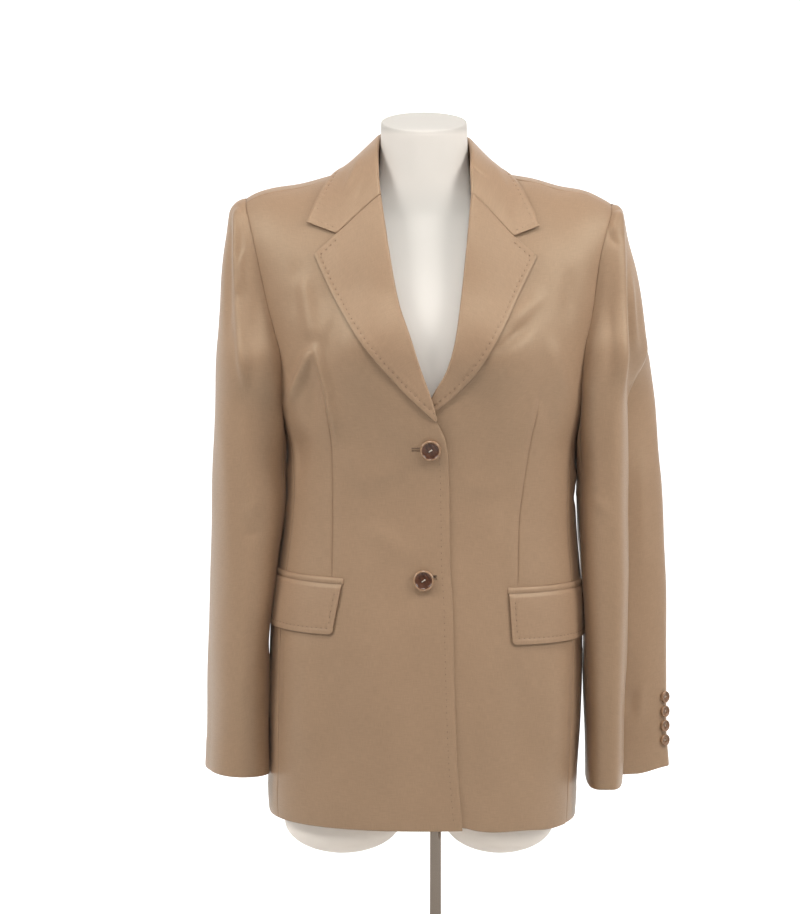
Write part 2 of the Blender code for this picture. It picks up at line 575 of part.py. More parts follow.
def head_section(side, z, theta, reach):
    """A section of the sleeve head between the two ends of the armhole at its height."""
    head = HEAD_RIGHT if side < 0 else HEAD_LEFT
    xo = float(smooth(head, HEAD_COLUMNS, "outer", z))
    fx, fy = arm_end(side, z, "front")
    bx, by = arm_end(side, z, "back")
    p = 2 / 2.15
    e = math.radians(reach)
    k, q = abs(math.cos(e)) ** p, abs(math.sin(e)) ** p
    mx = ((fx + bx) / 2 + xo * k) / (1 + k)
    t = np.radians(theta)
    x = mx + (xo - mx) * np.sign(np.cos(t)) * np.abs(np.cos(t)) ** p
    y = (fy + by) / 2 - (by - fy) / 2 / q * np.sign(np.sin(t)) * np.abs(np.sin(t)) ** p
    return x, y


def sleeve_section(side, z, theta, reach):
    """Outward distance and y of the sleeve's section before it meets the armhole."""
    x, y = tube_ring(side, z, theta)
    if z > Z_ARMPIT:
        k = 1 - float(ramp(Z_ARMPIT, Z_ARMPIT + (0.070 if side < 0 else 0.125), z))
        hx, hy = head_section(side, z, theta, reach)
        x, y = x * k + hx * (1 - k), y * k + hy * (1 - k)
        if side > 0:
            # the section between the two keeps its full reach outward
            whole_turn = np.linspace(-180, 180, 91)
            tx, hx = tube_ring(side, z, whole_turn)[0], head_section(side, z, whole_turn, reach)[0]
            both = tx * k + hx * (1 - k)
            low, goal = float(both.min()), float(tx.max() * k + hx.max() * (1 - k))
            x = low + (x - low) * (goal - low) / (float(both.max()) - low)
    return x, y


def sleeve_ring(side, z, u, under=False):
    """Points across a sleeve piece at a height; u runs 0 to 1 from the front to the back."""
    u = np.asarray(u, float)
    v = float(np.clip((z - Z_ARMPIT) / (head_height(side) - Z_ARMPIT), 0, 1))
    reach = THETA_SEAM + (90 - THETA_SEAM) * float(ramp(0, 0.8, v))
    drop = float(np.clip((Z_ARMPIT - z) / (Z_ARMPIT - 0.32), 0, 1))
    tf, tb = reach, -(reach + (THETA_BACK_CUFF - THETA_SEAM) * drop)
    if under:
        theta = tf + (360 + tb - tf) * u
        theta = np.where(theta > 180, theta - 360, theta)
    else:
        theta = tf + (tb - tf) * u
    x, y = sleeve_section(side, z, theta, reach)
    # both ends are brought to the armhole, fading out below the armpit
    zz = max(z, Z_ARMPIT)
    fade = 1.0 if z >= Z_ARMPIT else float(ramp(Z_ARMPIT - 0.080, Z_ARMPIT, z))
    if fade > 0:
        ex, ey = sleeve_section(side, zz, np.array([reach, -reach]), reach)
        fx, fy = arm_end(side, zz, "front")
        bx, by = arm_end(side, zz, "back")
        cf = (fx + SLEEVE_ROOM - ex[0], fy - ey[0])
        cb = (bx + SLEEVE_ROOM - ex[1], by - ey[1])
        wf, wb = ((1 - u), u) if under else (ramp(0.22, 0.0, u), ramp(0.78, 1.0, u))
        x = x + fade * (cf[0] * wf + cb[0] * wb)
        y = y + fade * (cf[1] * wf + cb[1] * wb)
    return np.stack([side * x, y, np.full_like(x, z)], -1)


def cuff_z(side, x_out, y):
    """Height of the cuff's edge round the opening."""
    if side < 0:
        return np.full_like(x_out, 0.3255)
    return 0.3120 + 0.0035 * ramp(-0.02, 0.03, y) + 0.0060 * ramp(0.225, 0.262, x_out)


def sleeve_upper(side, rows_head, rows_arm, columns):
    u = np.linspace(0, 1, columns + 1)
    x_top = float(arm_x(side, 0.955, "front"))
    top_z = float(ridge(x_top))
    rows = []
    # along the armhole over the ridge
    z_first = top_z - 0.0009
    reach_f = -float(along(x_top, z_first))
    reach_b = float(along(x_top, z_first, True))
    w = np.linspace(-reach_f, reach_b, columns + 1)
    first = cloth(np.full_like(w, x_top + side * (SLEEVE_ROOM + 0.0004)), w)
    first[:, 2] = cloth(np.full_like(w, x_top), w)[:, 2] - 0.0002
    rows.append(first)
    steps = np.linspace(0, 1, rows_head + 1)[1:]
    for s in steps:
        z = top_z - 0.0016 - (top_z - 0.0016 - Z_ARMPIT) * s ** 2.0
        rows.append(sleeve_ring(side, z, u))
    z_cuff = 0.3255 if side < 0 else 0.3110
    for j in range(1, rows_arm + 1):
        z = Z_ARMPIT + (z_cuff - Z_ARMPIT) * j / rows_arm
        ring = sleeve_ring(side, z, u)
        near = ramp(0.40, z_cuff, z)
        ring[:, 2] += near * (cuff_z(side, side * ring[:, 0], ring[:, 1]) - z_cuff)
        rows.append(ring)
    p = np.array(rows)
    return sleeve_clear(side, p)


def sleeve_under(side, rows_arm, columns):
    inset = 0.0
    u = np.linspace(inset, 1 - inset, columns + 1)
    z_cuff = 0.3255 if side < 0 else 0.3110
    rows = []
    for j in range(0, rows_arm + 1):
        z = Z_ARMPIT - 0.0006 + (z_cuff - Z_ARMPIT + 0.0006) * j / rows_arm
        ring = sleeve_ring(side, z, u, under=True)
        near = ramp(0.40, z_cuff, z)
        ring[:, 2] += near * (cuff_z(side, side * ring[:, 0], ring[:, 1]) - z_cuff)
        # a hair's room at the two lengthwise seams
        for a, b in ((0, 1), (-1, -2)):
            d = ring[b] - ring[a]
            ring[a] = ring[a] + d / np.linalg.norm(d) * 0.0012
        rows.append(ring)
    return sleeve_clear(side, np.array(rows))


def sleeve_clear(side, p):
    """Below the armpit the sleeve hangs just clear of the body and of the pocket flap."""
    z = p[..., 2]
    room = WALL + 0.0014 + 0.0024 * ramp(0.610, 0.565, z) * ramp(0.440, 0.475, z)
    if side > 0:
        room = room + 0.0042 * ramp(0.650, 0.712, z)
    q = keep_off(p, room)
    k = ramp(Z_ARMPIT + 0.008, Z_ARMPIT - 0.0003, z)[..., None]
    return p * (1 - k) + q * k


# ------------------------------------------------------------- lapels, collar, pockets
def on_front(side, x, z, room):
    """Points of a front panel at x and z, moved out by room."""
    w = along(x, z)
    e = 1e-4
    p = cloth(x, w)
    a = cloth(x + e, w) - cloth(x - e, w)
    b = cloth(x, w + e) - cloth(x, w - e)
    n = np.cross(a, b)
    n /= np.linalg.norm(n, axis=-1, keepdims=True)
    n = np.where((n * np.array([0, -1, 0.3])).sum(-1, keepdims=True) < 0, -n, n)
    room = np.asarray(room) + overlap(side, p[..., 0], p[..., 2])
    return p + n * room[..., None]


def lapel(side, rows, columns):
    roll = ROLL_RIGHT if side < 0 else ROLL_LEFT
    outer = LAPEL_RIGHT if side < 0 else LAPEL_LEFT
    notch = NOTCH_RIGHT if side < 0 else NOTCH_LEFT
    zr = np.linspace(roll[0][0] + 0.010, roll[-1][0] - 0.0010, 50)
    a = spread(np.stack([smooth(roll, EDGE_COLUMNS, "x", zr), zr], -1), rows + 1)
    zo = np.linspace(outer[0][0] + 0.002, outer[-1][0], 50)
    b = spread(np.stack([smooth(outer, LAPEL_COLUMNS, "x", zo), zo], -1), rows + 1)
    top = spread(np.array([a[-1], np.array(notch) - (0, 0.0008), b[-1]]), columns + 1)
    # the notch corner itself is a column
    k = int(round((columns) * 0.66))
    corner = np.array(notch) - (0, 0.0008)
    top[:k + 1] = spread(np.array([a[-1], corner]), k + 1)
    top[k:] = spread(np.array([corner, b[-1]]), columns - k + 1)
    u = np.linspace(0, 1, columns + 1)
    grid = np.empty((rows + 1, columns + 1, 2))
    for j in range(rows + 1):
        line = a[j] + (b[j] - a[j]) * u[:, None]
        line += (top - (a[-1] + (b[-1] - a[-1]) * u[:, None])) * (j / rows) ** 1.6
        grid[j] = line
    u2 = np.broadcast_to(u, grid.shape[:2])
    room = LAY + 0.0016 * np.sin(np.pi * np.clip(u2 * 1.2, 0, 1)) * ramp(0.735, 0.800, grid[..., 1])
    return on_front(side, grid[..., 0], grid[..., 1], room)


def collar_point(t, name):
    rows = [list(r) for r in COLLAR]
    rows[0][5] = float(along(POINT_RIGHT[0], POINT_RIGHT[1]))
    rows[-1][5] = float(along(POINT_LEFT[0], POINT_LEFT[1]))
    return smooth(rows, COLLAR_COLUMNS, name, t)


def cloth_out(x, w, room):
    e = 1e-4
    p = cloth(x, w)
    a = cloth(x + e, w) - cloth(x - e, w)
    b = cloth(x, w + e) - cloth(x, w - e)
    n = np.cross(a, b)
    n /= np.linalg.norm(n, axis=-1, keepdims=True)
    mid = np.stack([np.full_like(p[..., 0], NECK_X), np.full_like(p[..., 0], 0.0), np.full_like(p[..., 0], 0.86)], -1)
    n = np.where(((p - mid) * n).sum(-1, keepdims=True) < 0, -n, n)
    return p + n * np.asarray(room)[..., None]


def collar_fall(stations, columns):
    t = np.linspace(0, 1, stations + 1)
    fold = np.stack([collar_point(t, c) for c in ("fold_x", "fold_y", "fold_z")], -1)
    edge = cloth_out(collar_point(t, "edge_x"), collar_point(t, "edge_w"), np.full_like(t, LAY + 0.0004))
    r = np.linspace(0, 1, columns + 1)
    grid = fold[:, None] + (edge - fold)[:, None] * r[None, :, None]
    # the leaf leaves the fold a little outward before it falls
    lift = np.sin(np.pi * r) ** 1.0 * 0.0025
    n = normals(grid)
    mid = np.array([NECK_X, 0.0, 0.97])
    n = np.where(((grid - mid) * n).sum(-1, keepdims=True) < 0, -n, n)
    grid = grid + n * lift[None, :, None]
    # the two front ends follow the gorge seam to the notch, then the notch to the point
    for end, notch, point in ((0, NOTCH_RIGHT, POINT_RIGHT), (-1, NOTCH_LEFT, POINT_LEFT)):
        side = -1 if end == 0 else 1
        k = int(round(columns * 0.62))
        line = np.empty((columns + 1, 2))
        start = grid[end, 0, [0, 2]]
        corner = np.array(notch) + (0, 0.0010)
        line[:k + 1] = spread(np.array([start, corner]), k + 1)
        line[k:] = spread(np.array([corner, np.array(point)]), columns - k + 1)
        delta = on_front(side, line[:, 0], line[:, 1], np.full(columns + 1, LAY + 0.0004)) - grid[end]
        for j in range(0, 8):
            grid[j if end == 0 else -1 - j] += delta * (1 - ramp(0, 8, j))
    out = keep_off(grid, LAY + 0.0002)
    hold = np.maximum(ramp(0.0, 0.25, r)[None, :], ramp(0.12, 0.04, np.minimum(t, 1 - t))[:, None])[..., None]
    return grid * (1 - hold) + out * hold


def collar_stand(stations, columns):
    t = np.linspace(0.075, 0.925, stations + 1)
    fold = np.stack([collar_point(t, c) for c in ("fold_x", "fold_y", "fold_z")], -1)
    foot = cloth(smooth(NECK, NECK_COLUMNS, "x", t), smooth(NECK, NECK_COLUMNS, "w", t))
    up = fold - foot
    size = np.linalg.norm(up, axis=-1, keepdims=True)
    way = up / size
    inward = np.stack([NECK_X - foot[:, 0], 0.0 - foot[:, 1], np.zeros(len(t))], -1)
    inward /= np.linalg.norm(inward, axis=-1, keepdims=True)
    a = foot + way * 0.0022 + inward * 0.0004
    b = fold - way * 0.0038 + inward * 0.0004
    r = np.linspace(0, 1, columns + 1)
    return a[:, None] + (b - a)[:, None] * r[None, :, None]


# pocket flaps and welts: (x, z) of the inner end and the angle round the body of the
# outer end, which lies at the side
POCKET_COLUMNS = ("side", "inner_x", "inner_z", "outer_angle", "outer_z", "drop", "welt")
POCKETS = (
    (-1, -0.1015, 0.5437, 82.0, 0.5468, 0.0540, 0.0062),
    (1, 0.0765, 0.5340, 84.0, 0.5340, 0.0545, 0.0062),
)


def strip_points(side, a_in, a_out, z_in, z_out, room, columns, drop, rows, slant=0.0):
    """A grid that hangs from a slanting line round the body, moved out by room."""
    u = np.linspace(0, 1, columns + 1)
    v = np.linspace(0, 1, rows + 1)
    angle = a_in + (a_out - a_in) * u
    top = z_in + (z_out - z_in) * u
    ang = np.broadcast_to(angle, (rows + 1, columns + 1)) + slant * v[:, None] * (1 - 2 * u)[None, :] * 0
    z = top[None, :] - drop * v[:, None]
    p = girth(ang * side, z)
    e = 0.05
    du = girth((ang + e) * side, z) - girth((ang - e) * side, z)
    dz = girth(ang * side, z + 1e-4) - girth(ang * side, z - 1e-4)
    n = np.cross(du, dz)
    n /= np.linalg.norm(n, axis=-1, keepdims=True)
    mid = np.stack([body("cx", z), body("mid", z), z], -1)
    n = np.where(((p - mid) * n).sum(-1, keepdims=True) < 0, -n, n)
    return p + n * np.asarray(room)[..., None] if np.ndim(room) else p + n * room


def angle_at(side, x, z):
    """The angle round the body of a front point at x."""
    xi = abs(x - float(body("cx", z))) / float(body("half", z))
    return math.degrees(math.asin(min(xi, 1.0) ** (float(body("nf", z)) / 2)))


# ------------------------------------------------------------- building
def clear_scene():
    for o in list(bpy.data.objects):
        bpy.data.objects.remove(o, do_unlink=True)
    for c in list(bpy.data.collections):
        bpy.data.collections.remove(c)


def material(name, colour, rough, metallic=0.0):
    m = bpy.data.materials.new(name)
    m.use_nodes = True
    s = m.node_tree.nodes["Principled BSDF"]
    s.inputs["Base Color"].default_value = (*colour, 1)
    s.inputs["Roughness"].default_value = rough
    s.inputs["Metallic"].default_value = metallic
    m.diffuse_color = (*colour, 1)
    return m


def mesh_object(name, verts, faces, collection, mat):
    me = bpy.data.meshes.new(name)
    me.from_pydata([tuple(v) for v in verts], [], faces)
    me.validate()
    me.update()
    o = bpy.data.objects.new(name, me)
    collection.objects.link(o)
    me.materials.append(mat)
    return o


def sheet(name, grid, collection, mat, wall=WALL, flip=False):
    """A piece of cloth: the grid's open surface with a wall on both sides of it."""
    rows, cols = grid.shape[:2]
    verts = grid.reshape(-1, 3)
    faces = []
    for j in range(rows - 1):
        for i in range(cols - 1):
            a, b, c, d = j * cols + i, j * cols + i + 1, (j + 1) * cols + i + 1, (j + 1) * cols + i
            faces.append((d, c, b, a) if flip else (a, b, c, d))
    o = mesh_object(name, verts, faces, collection, mat)
    bm = bmesh.new()
    bm.from_mesh(o.data)
    bmesh.ops.remove_doubles(bm, verts=bm.verts, dist=1e-5)
    bm.to_mesh(o.data)
    bm.free()
    m = o.modifiers.new("wall", "SOLIDIFY")
    m.thickness = wall
    m.offset = 0.0
    m.use_even_offset = False
    o.data.shade_smooth()
    return o


def loft(name, rings, collection, mat):
    """A closed body through rings of equal count, with a flat cap at each end."""
    n = len(rings[0])
    verts = [p for ring in rings for p in ring]
    faces = []
    for j in range(len(rings) - 1):
        for i in range(n):
            k = (i + 1) % n
            faces.append((j * n + i, j * n + k, (j + 1) * n + k, (j + 1) * n + i))
    faces.append(tuple(range(n))[::-1])
    faces.append(tuple((len(rings) - 1) * n + i for i in range(n)))
    o = mesh_object(name, verts, faces, collection, mat)
    o.data.shade_smooth()
    return o


def turned(name, profile, collection, mat, steps=20):
    """A turned piece about Z; the profile runs down its outer side."""
    me = bpy.data.meshes.new(name)
    me.from_pydata([(r, 0, z) for r, z in profile], [(i, i + 1) for i in range(len(profile) - 1)], [])
    o = bpy.data.objects.new(name, me)
    collection.objects.link(o)
    me.materials.append(mat)
    s = o.modifiers.new("turn", "SCREW")
    s.axis = "Z"
    s.angle = 2 * math.pi
    s.steps = s.render_steps = steps
    s.use_merge_vertices = True
    s.merge_threshold = 1e-5
    s.use_smooth_shade = True
    return o


def button_profile(d, t):
    """Top to bottom: dished middle, round rim, flat back."""
    r = d / 2
    return [(0.0, t * 0.72), (r * 0.62, t * 0.72), (r * 0.74, t * 0.98), (r * 0.90, t), (r, t * 0.62),
            (r * 0.97, t * 0.28), (r * 0.72, 0.0), (0.0, 0.0)]


def place(o, point, normal, turn=0.0):
    """Sets a turned piece's Z along normal at point."""
    from mathutils import Matrix, Vector
    q = Vector(normal).to_track_quat("Z", "Y")
    o.matrix_world = Matrix.Translation(Vector(point)) @ q.to_matrix().to_4x4() @ Matrix.Rotation(turn, 4, "Z")


FRONT_BUTTONS = (("button_top", -0.0073, 0.6885), ("button_low", -0.0146, 0.5487))
CUFF_BUTTONS_Z = (0.4000, 0.3838, 0.3676, 0.3513)


def cuff_button_spot(side, z):
    """Where a cuff button sits: at the sleeve's back edge, and the way it faces."""
    angle = -72.0 if side > 0 else -78.0
    p = []
    for da, dz in ((-3, 0), (3, 0), (0, -0.006), (0, 0.006), (0, 0)):
        x, y = tube_ring(side, z + dz, np.array([angle + da]))
        p.append((side * x[0], y[0], z + dz))
    p = keep_off(np.array(p), WALL + 0.0014)
    n = np.cross(p[1] - p[0], p[3] - p[2])
    n /= np.linalg.norm(n)
    x, y = tube_ring(side, z, np.array([0.0, 90.0, 180.0, -90.0]))
    return p[4], n if np.dot(p[4] - (side * x.mean(), y.mean(), z), n) > 0 else -n


def build():
    clear_scene()
    coll = bpy.data.collections.new("blazer_on_dress_form")
    bpy.context.scene.collection.children.link(coll)
    tools = bpy.data.collections.new("shaping")
    bpy.context.scene.collection.children.link(tools)
    wool = material("wool", (0.46, 0.33, 0.24), 0.8)
    wool_top = material("wool_lapel", (0.48, 0.35, 0.25), 0.8)
    horn = material("button", (0.16, 0.08, 0.045), 0.3)
    white = material("form", (0.80, 0.78, 0.75), 0.5)
    steel = material("chrome", (0.75, 0.74, 0.72), 0.2, 1.0)

    sheet("front_right", front_panel(-1, 12, 12, 10), coll, wool)
    sheet("front_left", front_panel(1, 12, 12, 10), coll, wool)
    sheet("back_right", back_panel(-1, 9, 12, 9), coll, wool)
    sheet("back_left", back_panel(1, 9, 12, 9), coll, wool)
    sheet("side_right", side_panel(-1, 12, 4), coll, wool)
    sheet("side_left", side_panel(1, 12, 4), coll, wool)
    for side, word in ((-1, "right"), (1, "left")):
        sheet("sleeve_upper_" + word, sleeve_upper(side, 8, 9, 12), coll, wool)
        sheet("sleeve_under_" + word, sleeve_under(side, 9, 5), coll, wool)
        sheet("lapel_" + word, lapel(side, 10, 4), coll, wool_top, WALL_FLAP)
    sheet("collar_fall", collar_fall(28, 5), coll, wool_top, WALL_FLAP)
    sheet("collar_stand", collar_stand(24, 2), coll, wool, WALL)

    for side, xi, zi, ao, zo, drop, welt in POCKETS:
        word = "right" if side < 0 else "left"
        a_in = angle_at(side, xi, zi)
        under = overlap(side, xi, zi)
        flap = strip_points(side, a_in, ao, zi, zo, LAY + 0.0002 + under, 8, drop, 3)
        sheet("pocket_flap_" + word, flap, coll, wool_top, WALL_FLAP)
        band = strip_points(side, a_in - 0.6, ao, zi + welt, zo + welt, LAY - 0.0003 + under, 8, welt - 0.0006, 1)
        sheet("pocket_welt_" + word, band, coll, wool_top, 0.0014)

    for name, x, z in FRONT_BUTTONS:
        o = turned(name, button_profile(BUTTON_D, BUTTON_T), coll, horn, 20)
        p = on_front(-1, np.array([x, x + 1e-3]), np.array([z, z]), 0.0)[0]
        q = on_front(-1, np.array([x, x]), np.array([z, z]), 0.001)[0]
        n = (q - p) / np.linalg.norm(q - p)
        place(o, p + n * (WALL / 2 + 0.0021), n)
    for side, word in ((-1, "right"), (1, "left")):
        for k, z in enumerate(CUFF_BUTTONS_Z):
            o = turned("cuff_button_%s_%d" % (word, k + 1), button_profile(CUFF_BUTTON_D, CUFF_BUTTON_T), coll, horn, 12)
            p, n = cuff_button_spot(side, z - (0.005 if side < 0 else 0.0))
            place(o, p + n * (WALL / 2 + 0.0024), n)

    # dress form: rings from the hips to the neck, its thigh ends joined on
    rings = []
    for row in FORM:
        v = dict(zip(FORM_COLUMNS, row))
        ring = []
        for a in np.linspace(0, 2 * math.pi, 28, endpoint=False):
            s, c = math.sin(a), math.cos(a)
            reach = v["mid"] - v["front"] if c >= 0 else v["back"] - v["mid"]
            x = v["cx"] + v["half"] * math.copysign(abs(s) ** (2 / v["n"]), s)
            y = v["mid"] - reach * math.copysign(abs(c) ** (2 / v["n"]), c)
            z = v["z"]
            if row is FORM[-1]:
                z += CAP_TILT * y / 0.045
            ring.append((x, y, z))
        rings.append(ring)
    form = loft("dress_form", rings, coll, white)
    for k, (cx, half) in enumerate(LOBES):
        lobe_rings = []
        for m in range(1, 8):
            a = math.pi / 2 * m / 7
            z = LOBE_BOTTOM + 0.034 * (1 - math.cos(a)) if m < 7 else LOBE_TOP
            f = math.sin(a) if m < 7 else 1.0
            if m == 6:
                f = 1.0
            lobe_rings.append([(cx + half * f * math.sin(b), 0.002 - LOBE_DEPTH * f * math.cos(b), z)
                               for b in np.linspace(0, 2 * math.pi, 20, endpoint=False)])
        o = loft("thigh_%d" % k, lobe_rings, tools, white)
        o.hide_render = True
        o.display_type = "WIRE"
        m = form.modifiers.new("thigh_%d" % k, "BOOLEAN")
        m.operation = "UNION"
        m.object = o

    bpy.ops.mesh.primitive_cylinder_add(vertices=20, radius=ROD_D / 2, depth=0.3000 - 0.0003 - BASE_T - 0.0003,
                                        location=(0, 0, (0.3000 + BASE_T) / 2))
    rod = bpy.context.object
    rod.name = rod.data.name = "stand_rod"
    rod.data.materials.append(steel)
    for c in list(rod.users_collection):
        c.objects.unlink(rod)
    coll.objects.link(rod)
    rod.data.shade_smooth()
    rod.data.set_sharp_from_angle(angle=math.radians(40))
    r = BASE_D / 2
    turned("stand_base", [(0.0, BASE_T), (r - 0.004, BASE_T), (r - 0.001, BASE_T - 0.001), (r, BASE_T - 0.004), (r, 0.0), (0.0, 0.0)],
           coll, steel, 40)


build()
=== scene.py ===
"""Looks for the single-breasted blazer on its dress form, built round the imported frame.

Metres, +Z up, the front faces -Y and +X is the wearer's left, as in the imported
part. The tables of sizes and the surface functions are the part's own; on them
lie finer sheets of cloth with their darts, seams, rolled edges, stitches and
the folds of the hanging jacket.
"""
import json
import math

import bmesh
import bpy
import numpy as np
from mathutils import Matrix, Vector

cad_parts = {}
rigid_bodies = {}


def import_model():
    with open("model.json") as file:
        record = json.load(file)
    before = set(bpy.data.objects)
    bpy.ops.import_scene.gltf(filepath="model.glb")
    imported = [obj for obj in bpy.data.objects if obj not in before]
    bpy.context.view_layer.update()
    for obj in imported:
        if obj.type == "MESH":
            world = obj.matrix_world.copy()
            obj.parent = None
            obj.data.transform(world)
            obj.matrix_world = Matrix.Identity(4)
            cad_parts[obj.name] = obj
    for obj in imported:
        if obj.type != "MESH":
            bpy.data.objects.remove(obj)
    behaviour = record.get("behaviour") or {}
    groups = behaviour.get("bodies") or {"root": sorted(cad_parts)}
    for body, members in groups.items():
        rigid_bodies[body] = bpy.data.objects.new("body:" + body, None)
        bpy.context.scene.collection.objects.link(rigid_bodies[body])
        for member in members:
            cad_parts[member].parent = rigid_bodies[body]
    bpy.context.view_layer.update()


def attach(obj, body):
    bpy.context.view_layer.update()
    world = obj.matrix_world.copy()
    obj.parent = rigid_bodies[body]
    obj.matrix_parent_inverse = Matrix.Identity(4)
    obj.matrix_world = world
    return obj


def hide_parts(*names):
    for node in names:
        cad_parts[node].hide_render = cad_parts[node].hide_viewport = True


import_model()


# ------------------------------------------------------------- sizes
WALL = 0.0016            # thickness of the cloth with its interfacing
SEAM_GAP = 0.0003        # room between two pieces along a seam
LAY = 0.0025             # a piece that lies on a panel, middle to middle
WALL_FLAP = 0.0018       # flaps and lapels, two layers of cloth

Z_HEM = 0.282            # height of the hem in front
HEM_SIDE = {-1: 0.2815, 1: 0.2757}   # at the two side seams
HEM_BACK = 0.2800
Z_ARMPIT = 0.722         # lowest line of the armholes
CLOSE_FRONT = 0.125      # height over which the chest closes up to the shoulder
CLOSE_BACK = 0.105       # the same at the back
REACH_FRONT = 0.160      # length of that stretch along the cloth
REACH_BACK = 0.140
MIDDLE = -0.0077         # middle of the shoulders
NECK_X = -0.0132         # middle of the neck
SEAM_FORWARD = 0.030     # shoulder seam, ahead of the ridge along the cloth
SIDE_FRONT = 66.0        # side seam between front and side panel, degrees round from the front
SIDE_FRONT_TOP = 74.0    # the same at the armpit
SIDE_BACK = 116.0        # seam between side panel and back

BUTTON_D, BUTTON_T = 0.0226, 0.0044
CUFF_BUTTON_D, CUFF_BUTTON_T = 0.0125, 0.0036
ROD_D = 0.0130
BASE_D, BASE_T = 0.270, 0.010

# one row per height: middle across, half width, y of the front, of the widest
# line and of the back, and how square the front and back halves are
BODY_COLUMNS = ("z", "cx", "half", "front", "mid", "back", "nf", "nb")
BODY = (
    (0.2750, -0.0148, 0.1689, -0.130, 0.004, 0.118, 2.25, 2.30),
    (0.2990, -0.0151, 0.1704, -0.130, 0.004, 0.120, 2.25, 2.30),
    (0.3470, -0.0137, 0.1716, -0.129, 0.004, 0.121, 2.25, 2.30),
    (0.4110, -0.0116, 0.1730, -0.127, 0.004, 0.121, 2.25, 2.30),
    (0.4890, -0.0105, 0.1721, -0.122, 0.003, 0.116, 2.25, 2.30),
    (0.5500, -0.0084, 0.1674, -0.115, 0.002, 0.103, 2.25, 2.30),
    (0.5980, -0.0073, 0.1617, -0.110, 0.000, 0.089, 2.25, 2.30),
    (0.6310, -0.0062, 0.1593, -0.108, -0.001, 0.082, 2.25, 2.30),
    (0.6860, -0.0050, 0.1577, -0.112, -0.002, 0.084, 2.25, 2.30),
    (0.7050, -0.0051, 0.1615, -0.115, -0.002, 0.088, 2.25, 2.30),
    (0.7220, -0.0052, 0.1675, -0.118, -0.002, 0.092, 2.25, 2.30),
    (0.7420, -0.0055, 0.1715, -0.1185, -0.001, 0.097, 2.25, 2.30),
    (0.7700, -0.0060, 0.1760, -0.1195, 0.000, 0.102, 2.25, 2.30),
    (0.8100, -0.0070, 0.1830, -0.1150, 0.002, 0.108, 2.25, 2.35),
    (0.8600, -0.0075, 0.1940, -0.100, 0.004, 0.109, 2.25, 2.40),
    (0.9100, -0.0080, 0.2120, -0.088, 0.006, 0.103, 2.25, 2.40),
    (0.9500, -0.0085, 0.2300, -0.080, 0.008, 0.093, 2.25, 2.40),
    (1.0000, -0.0095, 0.2500, -0.075, 0.008, 0.085, 2.25, 2.40),
)
# height of the shoulder's ridge by the distance from the middle
RIDGE_COLUMNS = ("d", "right", "left")
RIDGE = (
    (0.000, 1.0200, 1.0200),
    (0.030, 1.0120, 1.0120),
    (0.050, 1.0035, 1.0015),
    (0.0655, 0.9953, 0.9900),
    (0.080, 0.9885, 0.9832),
    (0.0957, 0.9848, 0.9809),
    (0.115, 0.9792, 0.9781),
    (0.143, 0.9718, 0.9692),
    (0.166, 0.9690, 0.9664),
    (0.190, 0.9622, 0.9560),
    (0.201, 0.9555, 0.9495),
    (0.215, 0.9450, 0.9380),
    (0.260, 0.8900, 0.8850),
)
# front edges, hem to lapel break, then the roll line up to the gorge
EDGE_COLUMNS = ("z", "x")
EDGE_RIGHT = (
    (0.2820, 0.0265), (0.3713, 0.0200), (0.4598, 0.0173), (0.5244, 0.0157), (0.5689, 0.0132),
    (0.6209, 0.0126), (0.6749, 0.0113), (0.6986, 0.0080), (0.7180, 0.0000),
)
ROLL_RIGHT = (
    (0.7180, 0.0000), (0.7409, -0.0063), (0.7746, -0.0185), (0.8113, -0.0306), (0.8412, -0.0407),
    (0.8857, -0.0492), (0.9574, -0.0600),
)
EDGE_LEFT = (
    (0.2855, -0.0300), (0.4500, -0.0260), (0.6000, -0.0260), (0.6900, -0.0265), (0.7180, -0.0180),
)
ROLL_LEFT = (
    (0.7180, -0.0180), (0.7451, -0.0052), (0.7746, 0.0111), (0.8050, 0.0197), (0.8450, 0.0252),
    (0.9086, 0.0320), (0.9590, 0.0367),
)
# hem height across the left front
HEM_COLUMNS = ("x", "z")
HEM_LEFT = (
    (-0.040, 0.2855), (0.0280, 0.2855), (0.0405, 0.2815), (0.0630, 0.2785), (0.0904, 0.2778),
    (0.1275, 0.2745), (0.1560, 0.2757),
)
# armhole seams, front and back: how far out they lie (away from x = 0) by height
ARM_COLUMNS = ("z", "front", "back")
ARM_RIGHT = (
    (0.7220, 0.1655, 0.1570), (0.7450, 0.1668, 0.1610), (0.7823, 0.1680, 0.1660), (0.8138, 0.1755, 0.1730),
    (0.8468, 0.1842, 0.1790), (0.8699, 0.1895, 0.1830), (0.9108, 0.1984, 0.1930), (0.9292, 0.2032, 0.2000),
    (0.9484, 0.2075, 0.2070), (0.9600, 0.2080, 0.2080),
)
ARM_LEFT = (
    (0.7220, 0.1562, 0.1470), (0.7500, 0.1572, 0.1500), (0.7920, 0.1598, 0.1580), (0.8235, 0.1668, 0.1630),
    (0.8473, 0.1709, 0.1680), (0.8635, 0.1730, 0.1710), (0.8930, 0.1776, 0.1760), (0.9195, 0.1847, 0.1830),
    (0.9457, 0.1915, 0.1910), (0.9600, 0.1920, 0.1920),
)
